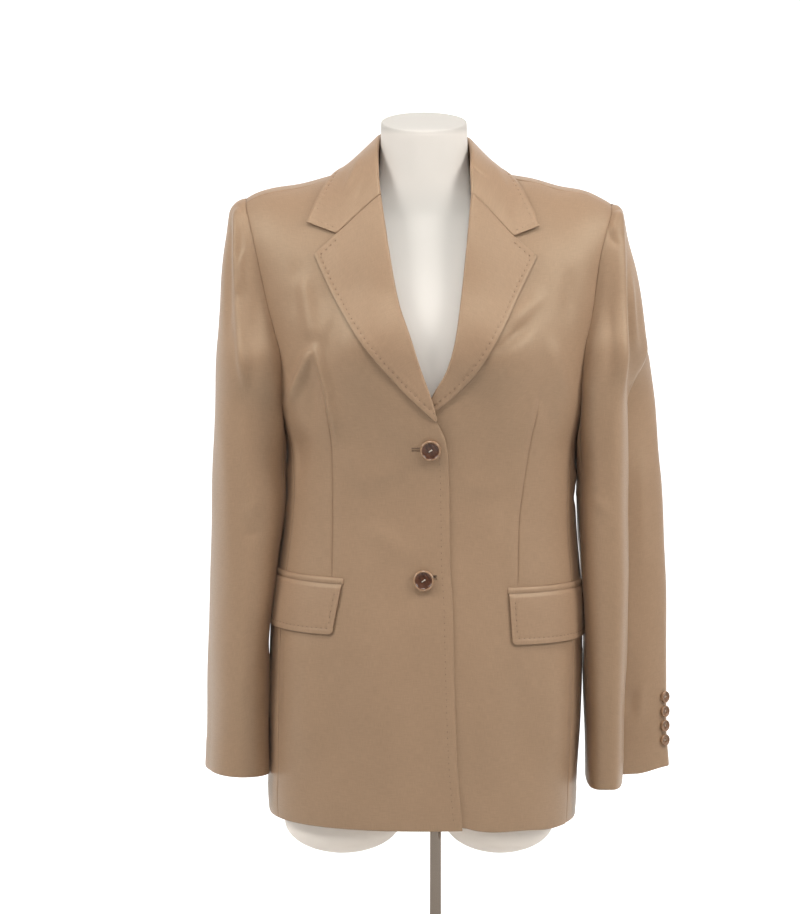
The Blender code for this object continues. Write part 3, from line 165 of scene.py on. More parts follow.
# sleeve sections: how far in and out they reach, front and back y, the bend of
# the flattened sleeve seen from above, its turn, where along it the bend is, its
# thickness against its length and how square its front is
SLEEVE_COLUMNS = ("z", "inner", "outer", "front", "back", "bend", "turn", "corner", "fat", "square")
SLEEVE_RIGHT = (
    (0.3255, 0.1822, 0.2571, -0.054, 0.048, 12.0, 12.0, 0.00, 0.60, 0.0),
    (0.3983, 0.1822, 0.2543, -0.058, 0.055, 10.0, 12.0, 0.00, 0.58, 0.0),
    (0.4659, 0.1810, 0.2528, -0.061, 0.061, 8.0, 12.0, 0.00, 0.57, 0.0),
    (0.5501, 0.1720, 0.2501, -0.062, 0.068, 4.0, 10.0, 0.00, 0.56, 0.0),
    (0.6340, 0.1625, 0.2475, -0.062, 0.073, 0.0, 8.0, 0.00, 0.56, 0.0),
    (0.6860, 0.1660, 0.2454, -0.060, 0.076, 0.0, 4.0, 0.00, 0.56, 0.0),
    (0.7220, 0.1660, 0.2440, -0.058, 0.076, 0.0, 0.0, 0.00, 0.56, 0.0),
    (0.8007, 0.1600, 0.2400, -0.056, 0.074, 0.0, 0.0, 0.00, 0.56, 0.0),
)
SLEEVE_LEFT = (
    (0.3110, 0.1678, 0.2628, -0.056, 0.050, 82.0, 3.0, -0.14, 0.230, 1.0),
    (0.3531, 0.1664, 0.2600, -0.058, 0.053, 82.0, 3.0, -0.14, 0.260, 1.0),
    (0.4434, 0.1632, 0.2595, -0.062, 0.060, 81.0, 3.0, -0.14, 0.295, 1.0),
    (0.5109, 0.1605, 0.2590, -0.064, 0.065, 80.0, 3.0, -0.14, 0.322, 1.0),
    (0.5893, 0.1572, 0.2555, -0.064, 0.070, 80.0, 3.0, -0.14, 0.352, 1.0),
    (0.6340, 0.1560, 0.2532, -0.063, 0.073, 79.0, 3.0, -0.14, 0.362, 1.0),
    (0.6897, 0.1560, 0.2500, -0.060, 0.076, 76.0, 3.0, -0.14, 0.372, 1.0),
    (0.7220, 0.1565, 0.2470, -0.058, 0.076, 73.0, 3.0, -0.14, 0.378, 1.0),
    (0.8007, 0.1480, 0.2360, -0.056, 0.074, 66.0, 3.0, -0.14, 0.450, 0.9),
    (0.8700, 0.1440, 0.2225, -0.046, 0.066, 60.0, 3.0, -0.14, 0.550, 0.8),
)
# outline of the sleeve heads above the armpit
HEAD_COLUMNS = ("z", "outer")
HEAD_RIGHT = (
    (0.7220, 0.2440), (0.7841, 0.2412), (0.8173, 0.2388), (0.8449, 0.2370), (0.8670, 0.2357),
    (0.9133, 0.2306), (0.9350, 0.2275), (0.9429, 0.2258), (0.9473, 0.2230), (0.9510, 0.2195), (0.9538, 0.2148),
    (0.9563, 0.2085),
)
HEAD_LEFT = (
    (0.7220, 0.2412), (0.7508, 0.2386), (0.7786, 0.2373), (0.8007, 0.2327), (0.8460, 0.2258),
    (0.8780, 0.2200), (0.9011, 0.2144), (0.9265, 0.2087), (0.9380, 0.2060), (0.9434, 0.2042), (0.9475, 0.2005),
    (0.9493, 0.1970), (0.9508, 0.1925),
)
# lapels: outer edge from the break up to the tip, by height
LAPEL_COLUMNS = ("z", "x")
LAPEL_RIGHT = (
    (0.7180, 0.0000), (0.7246, -0.0079), (0.7653, -0.0491), (0.8031, -0.0808), (0.8513, -0.1097), (0.8947, -0.1305),
)
LAPEL_LEFT = (
    (0.7180, -0.0180), (0.7283, -0.0037), (0.7711, 0.0412), (0.8137, 0.0671), (0.8618, 0.0903), (0.8926, 0.1059),
)
NOTCH_RIGHT, NOTCH_LEFT = (-0.1073, 0.9165), (0.0818, 0.9136)          # (x, z)
POINT_RIGHT, POINT_LEFT = (-0.1386, 0.9279), (0.1086, 0.9237)          # collar points (x, z)
# the collar's fold line and its outer edge, right front, round the back, left front;
# the outer edge is given along the cloth: x, and w (negative ahead of the ridge)
COLLAR_COLUMNS = ("t", "fold_x", "fold_y", "fold_z", "edge_x", "edge_w")
COLLAR = (
    (0.00, -0.0602, -0.0575, 0.9590, -0.1386, None),
    (0.12, -0.0634, -0.0450, 0.9840, -0.1215, -0.0480),
    (0.24, -0.0648, -0.0180, 1.0110, -0.1050, -0.0040),
    (0.31, -0.0640, 0.0100, 1.0240, -0.0960, 0.0240),
    (0.40, -0.0510, 0.0430, 1.0310, -0.0700, 0.0620),
    (0.50, -0.0132, 0.0590, 1.0335, -0.0110, 0.0860),
    (0.60, 0.0246, 0.0430, 1.0290, 0.0450, 0.0620),
    (0.69, 0.0382, 0.0100, 1.0200, 0.0640, 0.0240),
    (0.76, 0.0388, -0.0180, 1.0085, 0.0730, -0.0040),
    (0.88, 0.0372, -0.0450, 0.9850, 0.0900, -0.0480),
    (1.00, 0.0368, -0.0575, 0.9600, 0.1086, None),
)
# neck seam: x and w by the same station
NECK_COLUMNS = ("t", "x", "w")
NECK = (
    (0.000, -0.0600, -0.0850), (0.120, -0.0680, -0.0560), (0.240, -0.0732, -0.0300), (0.310, -0.0700, 0.0020),
    (0.400, -0.0500, 0.0380), (0.500, -0.0132, 0.0560), (0.600, 0.0236, 0.0380), (0.690, 0.0436, 0.0020),
    (0.760, 0.0468, -0.0300), (0.880, 0.0425, -0.0560), (1.000, 0.0367, -0.0830),
)
# dress form: one row per height
FORM_COLUMNS = ("z", "cx", "half", "front", "mid", "back", "n")
FORM = (
    (0.3000, -0.0130, 0.0900, -0.060, 0.000, 0.060, 2.0),
    (0.3080, -0.0130, 0.1300, -0.092, 0.000, 0.086, 2.1),
    (0.3300, -0.0130, 0.1500, -0.110, 0.000, 0.100, 2.2),
    (0.3800, -0.0125, 0.1580, -0.116, 0.002, 0.110, 2.2),
    (0.4400, -0.0115, 0.1600, -0.114, 0.002, 0.110, 2.2),
    (0.5000, -0.0105, 0.1570, -0.109, 0.002, 0.104, 2.2),
    (0.5600, -0.0084, 0.1500, -0.102, 0.000, 0.090, 2.2),
    (0.6200, -0.0064, 0.1420, -0.099, 0.000, 0.072, 2.2),
    (0.6800, -0.0052, 0.1430, -0.103, 0.000, 0.074, 2.2),
    (0.7400, -0.0055, 0.1470, -0.111, 0.000, 0.084, 2.2),
    (0.8000, -0.0070, 0.1490, -0.106, 0.002, 0.090, 2.2),
    (0.8500, -0.0080, 0.1500, -0.092, 0.004, 0.088, 2.2),
    (0.8900, -0.0090, 0.1440, -0.075, 0.006, 0.079, 2.2),
    (0.9200, -0.0105, 0.1240, -0.060, 0.006, 0.069, 2.1),
    (0.9400, -0.0120, 0.0980, -0.050, 0.005, 0.060, 2.0),
    (0.9580, -0.0130, 0.0700, -0.0475, 0.003, 0.053, 2.0),
    (0.9740, -0.0132, 0.0540, -0.0465, 0.001, 0.049, 2.0),
    (0.9950, -0.0132, 0.0488, -0.0460, 0.000, 0.0465, 2.0),
    (1.0200, -0.0132, 0.0474, -0.0455, 0.000, 0.0455, 2.0),
    (1.0400, -0.0135, 0.0469, -0.0450, 0.000, 0.0450, 2.0),
)
CAP_TILT = 0.0125        # the flat neck cap, front edge lower than the back edge by twice this
LOBES = ((-0.1030, 0.0650), (0.0705, 0.0612))      # thigh ends: middle x and half width
LOBE_BOTTOM, LOBE_TOP, LOBE_DEPTH = 0.2340, 0.3600, 0.0860

POCKET_COLUMNS = ("side", "inner_x", "inner_z", "outer_angle", "outer_z", "drop", "welt")
POCKETS = (
    (-1, -0.1015, 0.5437, 82.0, 0.5468, 0.0540, 0.0062),
    (1, 0.0765, 0.5340, 84.0, 0.5340, 0.0545, 0.0062),
)
FRONT_BUTTONS = (("button_top", -0.0073, 0.6885), ("button_low", -0.0146, 0.5487))
CUFF_BUTTONS_Z = (0.4000, 0.3838, 0.3676, 0.3513)
THETA_SEAM, THETA_BACK_CUFF = 140.0, 100.0
SLEEVE_ROOM = 0.0003     # the sleeve is sewn to the panels here


# ------------------------------------------------------------- curves through the tables
def smooth(rows, columns, name, q, key=None):
    """A named column of a table at q, on a monotone smooth curve through its rows."""
    x = np.array([r[0] for r in rows], float)
    y = np.array([r[columns.index(name)] for r in rows], float)
    if x[0] > x[-1]:
        x, y = x[::-1], y[::-1]
    h = np.diff(x)
    d = np.diff(y) / h
    m = np.empty_like(y)
    m[0], m[-1] = d[0], d[-1]
    for i in range(1, len(x) - 1):
        if d[i - 1] * d[i] <= 0:
            m[i] = 0.0
        else:
            a, b = 2 * h[i] + h[i - 1], h[i] + 2 * h[i - 1]
            m[i] = (a + b) / (a / d[i - 1] + b / d[i])
    q = np.asarray(q, float)
    qc = np.clip(q, x[0], x[-1])
    i = np.clip(np.searchsorted(x, qc) - 1, 0, len(x) - 2)
    t = (qc - x[i]) / h[i]
    out = ((1 + 2 * t) * (1 - t) ** 2 * y[i] + t * (1 - t) ** 2 * h[i] * m[i]
           + t * t * (3 - 2 * t) * y[i + 1] + t * t * (t - 1) * h[i] * m[i + 1])
    return out + (q - qc) * np.where(q < x[0], m[0], m[-1])


DENSE = {}


def dense(key, table, columns, name, low, high, step, soft):
    """A table's curve sampled closely and ironed, so no kink shows at its rows."""
    if key not in DENSE:
        q = np.arange(low, high + step, step)
        v = smooth(table, columns, name, q)
        r = int(4 * soft / step)
        k = np.exp(-0.5 * (np.arange(-r, r + 1) * step / soft) ** 2)
        k /= k.sum()
        pad = np.concatenate([v[0] + (v[1] - v[0]) * np.arange(-r, 0), v, v[-1] + (v[-1] - v[-2]) * np.arange(1, r + 1)])
        DENSE[key] = (q, np.convolve(pad, k, "valid"))
    return DENSE[key]


def body(name, z):
    q, v = dense(("body", name), BODY, BODY_COLUMNS, name, 0.22, 1.10, 0.001, 0.012)
    return np.interp(z, q, v)


def ridge(x):
    d = np.abs(np.asarray(x, float) - MIDDLE)
    a = dense("ridge_right", RIDGE, RIDGE_COLUMNS, "right", -0.03, 0.30, 0.001, 0.005)
    b = dense("ridge_left", RIDGE, RIDGE_COLUMNS, "left", -0.03, 0.30, 0.001, 0.005)
    return np.where(np.asarray(x) < MIDDLE, np.interp(d, *a), np.interp(d, *b))


def ramp(a, b, v):
    t = np.clip((np.asarray(v, float) - a) / (b - a), 0, 1)
    return t * t * (3 - 2 * t)


def swell(x, z, back):
    """The chest and the shoulder blades, on top of the plain section."""
    cx, half = body("cx", z), body("half", z)
    a = np.abs(x - cx)
    edge = ramp(1.0, 0.88, a / half)
    if back:
        return edge * 0.006 * np.exp(-((a - 0.080) / 0.050) ** 2 - ((z - 0.850) / 0.070) ** 2)
    return edge * 0.0155 * np.exp(-((a - 0.074) / 0.044) ** 2 - ((z - 0.796) / 0.046) ** 2)


def depth(x, z, back):
    """How far the cloth stands from the widest line at x and z, front or back."""
    cx, half, mid = body("cx", z), body("half", z), body("mid", z)
    n = body("nb" if back else "nf", z)
    reach = body("back", z) - mid if back else mid - body("front", z)
    xi = np.clip(np.abs(x - cx) / half, 0, 0.99999)
    return reach * (1 - xi ** n) ** (1 / n) + swell(x, z, back)


def cloth(x, w):
    """A point on the body surface: x across, w along the cloth from the ridge, front negative."""
    x, w = np.broadcast_arrays(np.asarray(x, float), np.asarray(w, float))
    top = ridge(x)
    p = np.empty(x.shape + (3,))
    p[..., 0] = x
    for back in (False, True):
        use = (w >= 0) if back else (w < 0)
        if not use.any():
            continue
        close, reach = (CLOSE_BACK, REACH_BACK) if back else (CLOSE_FRONT, REACH_FRONT)
        u = np.abs(w[use])
        psi = np.clip(u / reach, 0, 1) * math.pi / 2
        z = top[use] - close * (1 - np.cos(psi)) - np.maximum(u - reach, 0)
        y = depth(x[use], z, back) * np.sin(psi)
        p[use, 1] = body("mid", z) + (y if back else -y)
        p[use, 2] = z
    return p


def along(x, z, back=False):
    """The w of the point at x and height z."""
    close, reach = (CLOSE_BACK, REACH_BACK) if back else (CLOSE_FRONT, REACH_FRONT)
    drop = np.maximum(ridge(x) - z, 0)
    w = np.where(drop < close, np.arccos(np.clip(1 - drop / close, -1, 1)) / (math.pi / 2) * reach,
                 reach + drop - close)
    return w if back else -w


def girth(angle, z):
    """A point round the body at a height below the armpits, 0 in front, 90 at the left side."""
    t = np.radians(np.asarray(angle, float))
    t, z = np.broadcast_arrays(t, np.asarray(z, float))
    s, c = np.sin(t), np.cos(t)
    n = np.where(c >= 0, body("nf", z), body("nb", z))
    x = body("cx", z) + body("half", z) * np.sign(s) * np.abs(s) ** (2 / n)
    reach = np.where(c >= 0, body("mid", z) - body("front", z), body("back", z) - body("mid", z))
    y = reach * np.abs(c) ** (2 / n) + np.where(c >= 0, swell(x, z, False), swell(x, z, True))
    return np.stack([x, body("mid", z) - np.sign(c) * y, z], -1)


def seam_angle(angle, z):
    """The front side seam swings out towards the armpit; the back one runs straight."""
    z = np.asarray(z, float)
    if angle == SIDE_FRONT:
        return SIDE_FRONT + (SIDE_FRONT_TOP - SIDE_FRONT) * ramp(0.610, Z_ARMPIT, z)
    return angle + 0 * z


def side_x(side, z, angle):
    """x of a lengthwise seam at an angle round the body."""
    n = body("nf", z) if angle < 90 else body("nb", z)
    return body("cx", z) + side * body("half", z) * np.sin(np.radians(seam_angle(angle, z))) ** (2 / n)


def normals(grid):
    """Unit normals of a grid of points."""
    du, dv = np.gradient(grid, axis=0), np.gradient(grid, axis=1)
    n = np.cross(du, dv)
    return n / np.maximum(np.linalg.norm(n, axis=-1, keepdims=True), 1e-12)


def spread(points, count):
    """count points evenly along a line of points."""
    points = np.asarray(points, float)
    s = np.concatenate([[0], np.cumsum(np.linalg.norm(np.diff(points, axis=0), axis=1))])
    q = np.linspace(0, s[-1], count)
    return np.stack([np.interp(q, s, points[:, k]) for k in range(points.shape[1])], -1)


def arm_x(side, z, part):
    table = ARM_RIGHT if side < 0 else ARM_LEFT
    return side * smooth(table, ARM_COLUMNS, part, z)


def shoulder_point(side):
    """x and w of the armhole's end of the shoulder seam."""
    x = arm_x(side, 0.955, "front")
    return float(x), -SEAM_FORWARD


def overlap(side, x, z):
    """The fronts part at the buttons: the right lies over the left and its lapel."""
    turn = ramp(0.660, 0.720, z)
    if side < 0:
        return (0.0012 + 0.0024 * turn) * ramp(-0.085, -0.025, x) * ramp(0.780, 0.738, z)
    return -(0.0012 + 0.0012 * turn) * ramp(0.080, 0.030, x) * ramp(0.780, 0.738, z)


def outside(p):
    """Rough distance from the body surface, positive outside, and the way out."""
    p = np.asarray(p, float)

    def level(q):
        x, y, z = q[..., 0], q[..., 1], q[..., 2]
        top, mid = ridge(x), body("mid", z)
        back = y > mid
        close = np.where(back, CLOSE_BACK, CLOSE_FRONT)
        reach = np.where(back, depth(x, z, True), depth(x, z, False))
        n = np.where(back, body("nb", z), body("nf", z))
        half, cx = body("half", z), body("cx", z)
        a = np.abs(x - cx) / half
        full = np.where(back, body("back", z) - mid, mid - body("front", z))
        bump = reach / np.maximum(full * (1 - np.clip(a, 0, 0.9) ** n) ** (1 / n), 1e-4)
        bump = np.where(a < 0.9, bump, 1.0)
        b = np.abs(y - mid) / (full * bump)
        flat = (a ** n + b ** n) ** (1 / n)
        s = np.maximum(z - (top - close), 0) / close
        return np.sqrt(flat ** 2 + s ** 2) - 1

    e = 5e-4
    base = level(p)
    g = np.stack([(level(p + np.eye(3)[k] * e) - level(p - np.eye(3)[k] * e)) / (2 * e) for k in range(3)], -1)
    size = np.maximum(np.linalg.norm(g, axis=-1), 1e-6)
    return base / size, g / size[..., None]


def keep_off(p, room):
    """Moves points out until they are at least room away from the body surface."""
    p = np.array(p, float)
    for _ in range(4):
        d, n = outside(p)
        short = np.maximum(room - d, 0)
        p += n * short[..., None]
    return p


def tube_ring(side, z, theta):
    """A section of the hanging sleeve: theta 0 outside, 90 front, 180 inside, -90 back."""
    table = SLEEVE_RIGHT if side < 0 else SLEEVE_LEFT
    v = {c: float(smooth(table, SLEEVE_COLUMNS, c, z)) for c in SLEEVE_COLUMNS[1:]}
    sig = np.linspace(-1, 1, 161)
    turn = np.radians(-v["turn"] - v["bend"] * ramp(v["corner"] + 0.12, v["corner"] - 0.12, sig))
    step = sig[1] - sig[0]
    dx = np.cumsum(np.sin(turn)) * step
    dy = np.cumsum(-np.cos(turn)) * step

    def outline(angle):
        t = np.radians(angle)
        sn, cs = np.sin(t), np.cos(t)
        front = ramp(0.0, 0.25, sn) * v["square"] * np.where(cs > 0, 1.0, 0.6)
        h = v["fat"] * np.sign(cs) * np.abs(cs) ** (0.92 - 0.47 * front)
        sn = np.sign(sn) * np.abs(sn) ** (1 - 0.25 * front)
        a = np.interp(sn, sig, turn)
        return np.interp(sn, sig, dx) + np.cos(a) * h, np.interp(sn, sig, dy) + np.sin(a) * h

    fx, fy = outline(np.linspace(-180, 180, 481))
    x, y = outline(theta)
    x = v["inner"] + (x - fx.min()) / (fx.max() - fx.min()) * (v["outer"] - v["inner"])
    y = v["front"] + (y - fy.min()) / (fy.max() - fy.min()) * (v["back"] - v["front"])
    return x, y


def arm_end(side, z, part):
    """The armhole at a height, moved off the seam: outward distance and y."""
    x = arm_x(side, z, part)
    lowest = ramp(Z_ARMPIT, Z_ARMPIT + 0.03, z)
    x = x * lowest + side_x(side, z, SIDE_FRONT if part == "front" else SIDE_BACK) * (1 - lowest)
    p = cloth(x, along(x, z, part == "back"))
    return float(side * p[0]), float(p[1])


def head_height(side):
    return float(ridge(arm_x(side, 0.955, "front")))


def head_section(side, z, theta, reach):
    """A section of the sleeve head between the two ends of the armhole at its height."""
    head = HEAD_RIGHT if side < 0 else HEAD_LEFT
    xo = float(smooth(head, HEAD_COLUMNS, "outer", z))
    fx, fy = arm_end(side, z, "front")
    bx, by = arm_end(side, z, "back")
    p = 2 / 2.15
    e = math.radians(reach)
    k, q = abs(math.cos(e)) ** p, abs(math.sin(e)) ** p
    mx = ((fx + bx) / 2 + xo * k) / (1 + k)
    t = np.radians(theta)
    x = mx + (xo - mx) * np.sign(np.cos(t)) * np.abs(np.cos(t)) ** p
    y = (fy + by) / 2 - (by - fy) / 2 / q * np.sign(np.sin(t)) * np.abs(np.sin(t)) ** p
    return x, y


def sleeve_section(side, z, theta, reach):
    """Outward distance and y of the sleeve's section before it meets the armhole."""
    x, y = tube_ring(side, z, theta)
    if z > Z_ARMPIT:
        k = 1 - float(ramp(Z_ARMPIT, Z_ARMPIT + (0.070 if side < 0 else 0.125), z))
        hx, hy = head_section(side, z, theta, reach)
        x, y = x * k + hx * (1 - k), y * k + hy * (1 - k)
        if side > 0:
            # the section between the two keeps its full reach outward
            whole_turn = np.linspace(-180, 180, 91)
            tx, hx = tube_ring(side, z, whole_turn)[0], head_section(side, z, whole_turn, reach)[0]
            both = tx * k + hx * (1 - k)
            low, goal = float(both.min()), float(tx.max() * k + hx.max() * (1 - k))
            x = low + (x - low) * (goal - low) / (float(both.max()) - low)
            # the pressed crease runs on up the front of the sleeve head, the cloth turns back from it
            ty, hy = tube_ring(side, z, whole_turn)[1], head_section(side, z, whole_turn, reach)[1]
            first = float((ty * k + hy * (1 - k)).min())
            last = float(ty[tx.argmax()]) * k + float(hy[hx.argmax()]) * (1 - k)
            crease = float(np.interp(z, (0.720, 0.800, 0.846, 0.897, 0.934), (0.2043, 0.2033, 0.2024, 0.2002, 0.1974)))
            late = 0.62 * float(ramp(0.900, 0.760, z))
            share = np.clip(((y - first) / max(last - first, 0.01) - late) / (0.86 - late), 0, 1)
            limit = crease + max(goal - crease, 0.0) * share ** 0.75 + 0.0008
            soft = 0.5 * (x + limit - np.sqrt((x - limit) ** 2 + 0.0022 ** 2))
            x = x + (soft - x) * float(ramp(0.722, 0.762, z) * ramp(0.946, 0.915, z)) * ramp(last + 0.010, last - 0.010, y)
    return x, y


def sleeve_ring(side, z, u, under=False):
    """Points across a sleeve piece at a height; u runs 0 to 1 from the front to the back."""
    u = np.asarray(u, float)
    v = float(np.clip((z - Z_ARMPIT) / (head_height(side) - Z_ARMPIT), 0, 1))
    reach = THETA_SEAM + (90 - THETA_SEAM) * float(ramp(0, 0.8, v))
    drop = float(np.clip((Z_ARMPIT - z) / (Z_ARMPIT - 0.32), 0, 1))
    tf, tb = reach, -(reach + (THETA_BACK_CUFF - THETA_SEAM) * drop)
    if under:
        theta = tf + (360 + tb - tf) * u
        theta = np.where(theta > 180, theta - 360, theta)
    else:
        theta = tf + (tb - tf) * u
    x, y = sleeve_section(side, z, theta, reach)
    # both ends are brought to the armhole, fading out below the armpit
    zz = max(z, Z_ARMPIT)
    fade = 1.0 if z >= Z_ARMPIT else float(ramp(Z_ARMPIT - 0.080, Z_ARMPIT, z))
    if fade > 0:
        ex, ey = sleeve_section(side, zz, np.array([reach, -reach]), reach)
        fx, fy = arm_end(side, zz, "front")
        bx, by = arm_end(side, zz, "back")
        cf = (fx + SLEEVE_ROOM - ex[0], fy - ey[0])
        cb = (bx + SLEEVE_ROOM - ex[1], by - ey[1])
        wf, wb = ((1 - u), u) if under else (ramp(0.22, 0.0, u), ramp(0.78, 1.0, u))
        x = x + fade * (cf[0] * wf + cb[0] * wb)
        y = y + fade * (cf[1] * wf + cb[1] * wb)
    return np.stack([side * x, y, np.full_like(x, z)], -1)


def cuff_z(side, x_out, y):
    """Height of the cuff's edge round the opening."""
    if side < 0:
        return np.full_like(x_out, 0.3255)
    return 0.3120 + 0.0035 * ramp(-0.02, 0.03, y) + 0.0060 * ramp(0.225, 0.262, x_out)


def on_front(side, x, z, room):
    """Points of a front panel at x and z, moved out by room."""
    w = along(x, z)
    e = 1e-4
    p = cloth(x, w)
    a = cloth(x + e, w) - cloth(x - e, w)
    b = cloth(x, w + e) - cloth(x, w - e)
    n = np.cross(a, b)
    n /= np.linalg.norm(n, axis=-1, keepdims=True)
    n = np.where((n * np.array([0, -1, 0.3])).sum(-1, keepdims=True) < 0, -n, n)
    room = np.asarray(room) + overlap(side, p[..., 0], p[..., 2])
    return p + n * room[..., None]


def collar_point(t, name):
    rows = [list(r) for r in COLLAR]
    rows[0][5] = float(along(POINT_RIGHT[0], POINT_RIGHT[1]))
    rows[-1][5] = float(along(POINT_LEFT[0], POINT_LEFT[1]))
    return smooth(rows, COLLAR_COLUMNS, name, t)


def cloth_out(x, w, room):
    e = 1e-4
    p = cloth(x, w)
    a = cloth(x + e, w) - cloth(x - e, w)
    b = cloth(x, w + e) - cloth(x, w - e)
    n = np.cross(a, b)
    n /= np.linalg.norm(n, axis=-1, keepdims=True)
    mid = np.stack([np.full_like(p[..., 0], NECK_X), np.full_like(p[..., 0], 0.0), np.full_like(p[..., 0], 0.86)], -1)
    n = np.where(((p - mid) * n).sum(-1, keepdims=True) < 0, -n, n)
    return p + n * np.asarray(room)[..., None]


def angle_at(side, x, z):
    """The angle round the body of a front point at x."""
    xi = abs(x - float(body("cx", z))) / float(body("half", z))
    return math.degrees(math.asin(min(xi, 1.0) ** (float(body("nf", z)) / 2)))


def cuff_button_spot(side, z):
    """Where a cuff button sits: at the sleeve's back edge, and the way it faces."""
    angle = -72.0 if side > 0 else -78.0
    p = []
    for da, dz in ((-3, 0), (3, 0), (0, -0.006), (0, 0.006), (0, 0)):
        x, y = tube_ring(side, z + dz, np.array([angle + da]))
        p.append((side * x[0], y[0], z + dz))
    p = keep_off(np.array(p), WALL + 0.0014)
    n = np.cross(p[1] - p[0], p[3] - p[2])
    n /= np.linalg.norm(n)
    x, y = tube_ring(side, z, np.array([0.0, 90.0, 180.0, -90.0]))
    return p[4], n if np.dot(p[4] - (side * x.mean(), y.mean(), z), n) > 0 else -n


# ------------------------------------------------------------- fine sheets
def eased(count, tight=0.8):
    """count + 1 stations from 0 to 1, closer together at both ends."""
    s = np.linspace(0, 1, count + 1)
    return s - tight * np.sin(2 * math.pi * s) / (2 * math.pi)


def eased_end(count, tight=0.8):
    """The same, closer together at 1 only."""
    s = np.linspace(0, 1, count + 1)
    return s + tight * np.sin(math.pi * s) / math.pi


def rows_of(count, length, fine=0.0006):
    """Stations along a length with a few close ones at both ends, for rolled edges and seams."""
    near = np.array([0.0, 1.0, 2.0, 3.4, 5.4]) * fine / length
    inner = np.linspace(8.0 * fine / length, 1 - 8.0 * fine / length, count - 9)
    return np.concatenate([near, inner, 1 - near[::-1]])


def iron(grid, times):
    """Evens a grid out, its borders held."""
    g = grid.copy()
    for _ in range(times):
        a = g.copy()
        a[1:-1] = 0.25 * g[:-2] + 0.5 * g[1:-1] + 0.25 * g[2:]
        b = a.copy()
        b[:, 1:-1] = 0.25 * a[:, :-2] + 0.5 * a[:, 1:-1] + 0.25 * a[:, 2:]
        b[0], b[-1], b[:, 0], b[:, -1] = g[0], g[-1], g[:, 0], g[:, -1]
        g = b
    return g


def insets(grid):
    """Distances in along the grid's lines from its first row, last row, first column and last column."""
    r = np.zeros(grid.shape[:2])
    r[1:] = np.cumsum(np.linalg.norm(np.diff(grid, axis=0), axis=-1), axis=0)
    c = np.zeros(grid.shape[:2])
    c[:, 1:] = np.cumsum(np.linalg.norm(np.diff(grid, axis=1), axis=-1), axis=1)
    return r, r[-1:] - r, c, c[:, -1:] - c


def groove(d, depth, wide):
    return depth * np.exp(-(d / wide) ** 2)


def wander(p, seed, size):
    """A slow unevenness over points, about -1 to 1, the same every time."""
    out = np.zeros(p.shape[:-1])
    for k in range(7):
        a = 12.9898 * (seed + 1) + 78.233 * k
        d = np.array([math.sin(a), math.sin(a * 1.7 + 1.3), math.sin(a * 2.3 + 2.1)])
        d = d / np.linalg.norm(d) * (0.7 + 0.6 * abs(math.sin(a * 3.1)))
        out += np.sin(p @ d * (2 * math.pi / size) + 6.28 * abs(math.sin(a * 5.3)))
    return out / 3.2


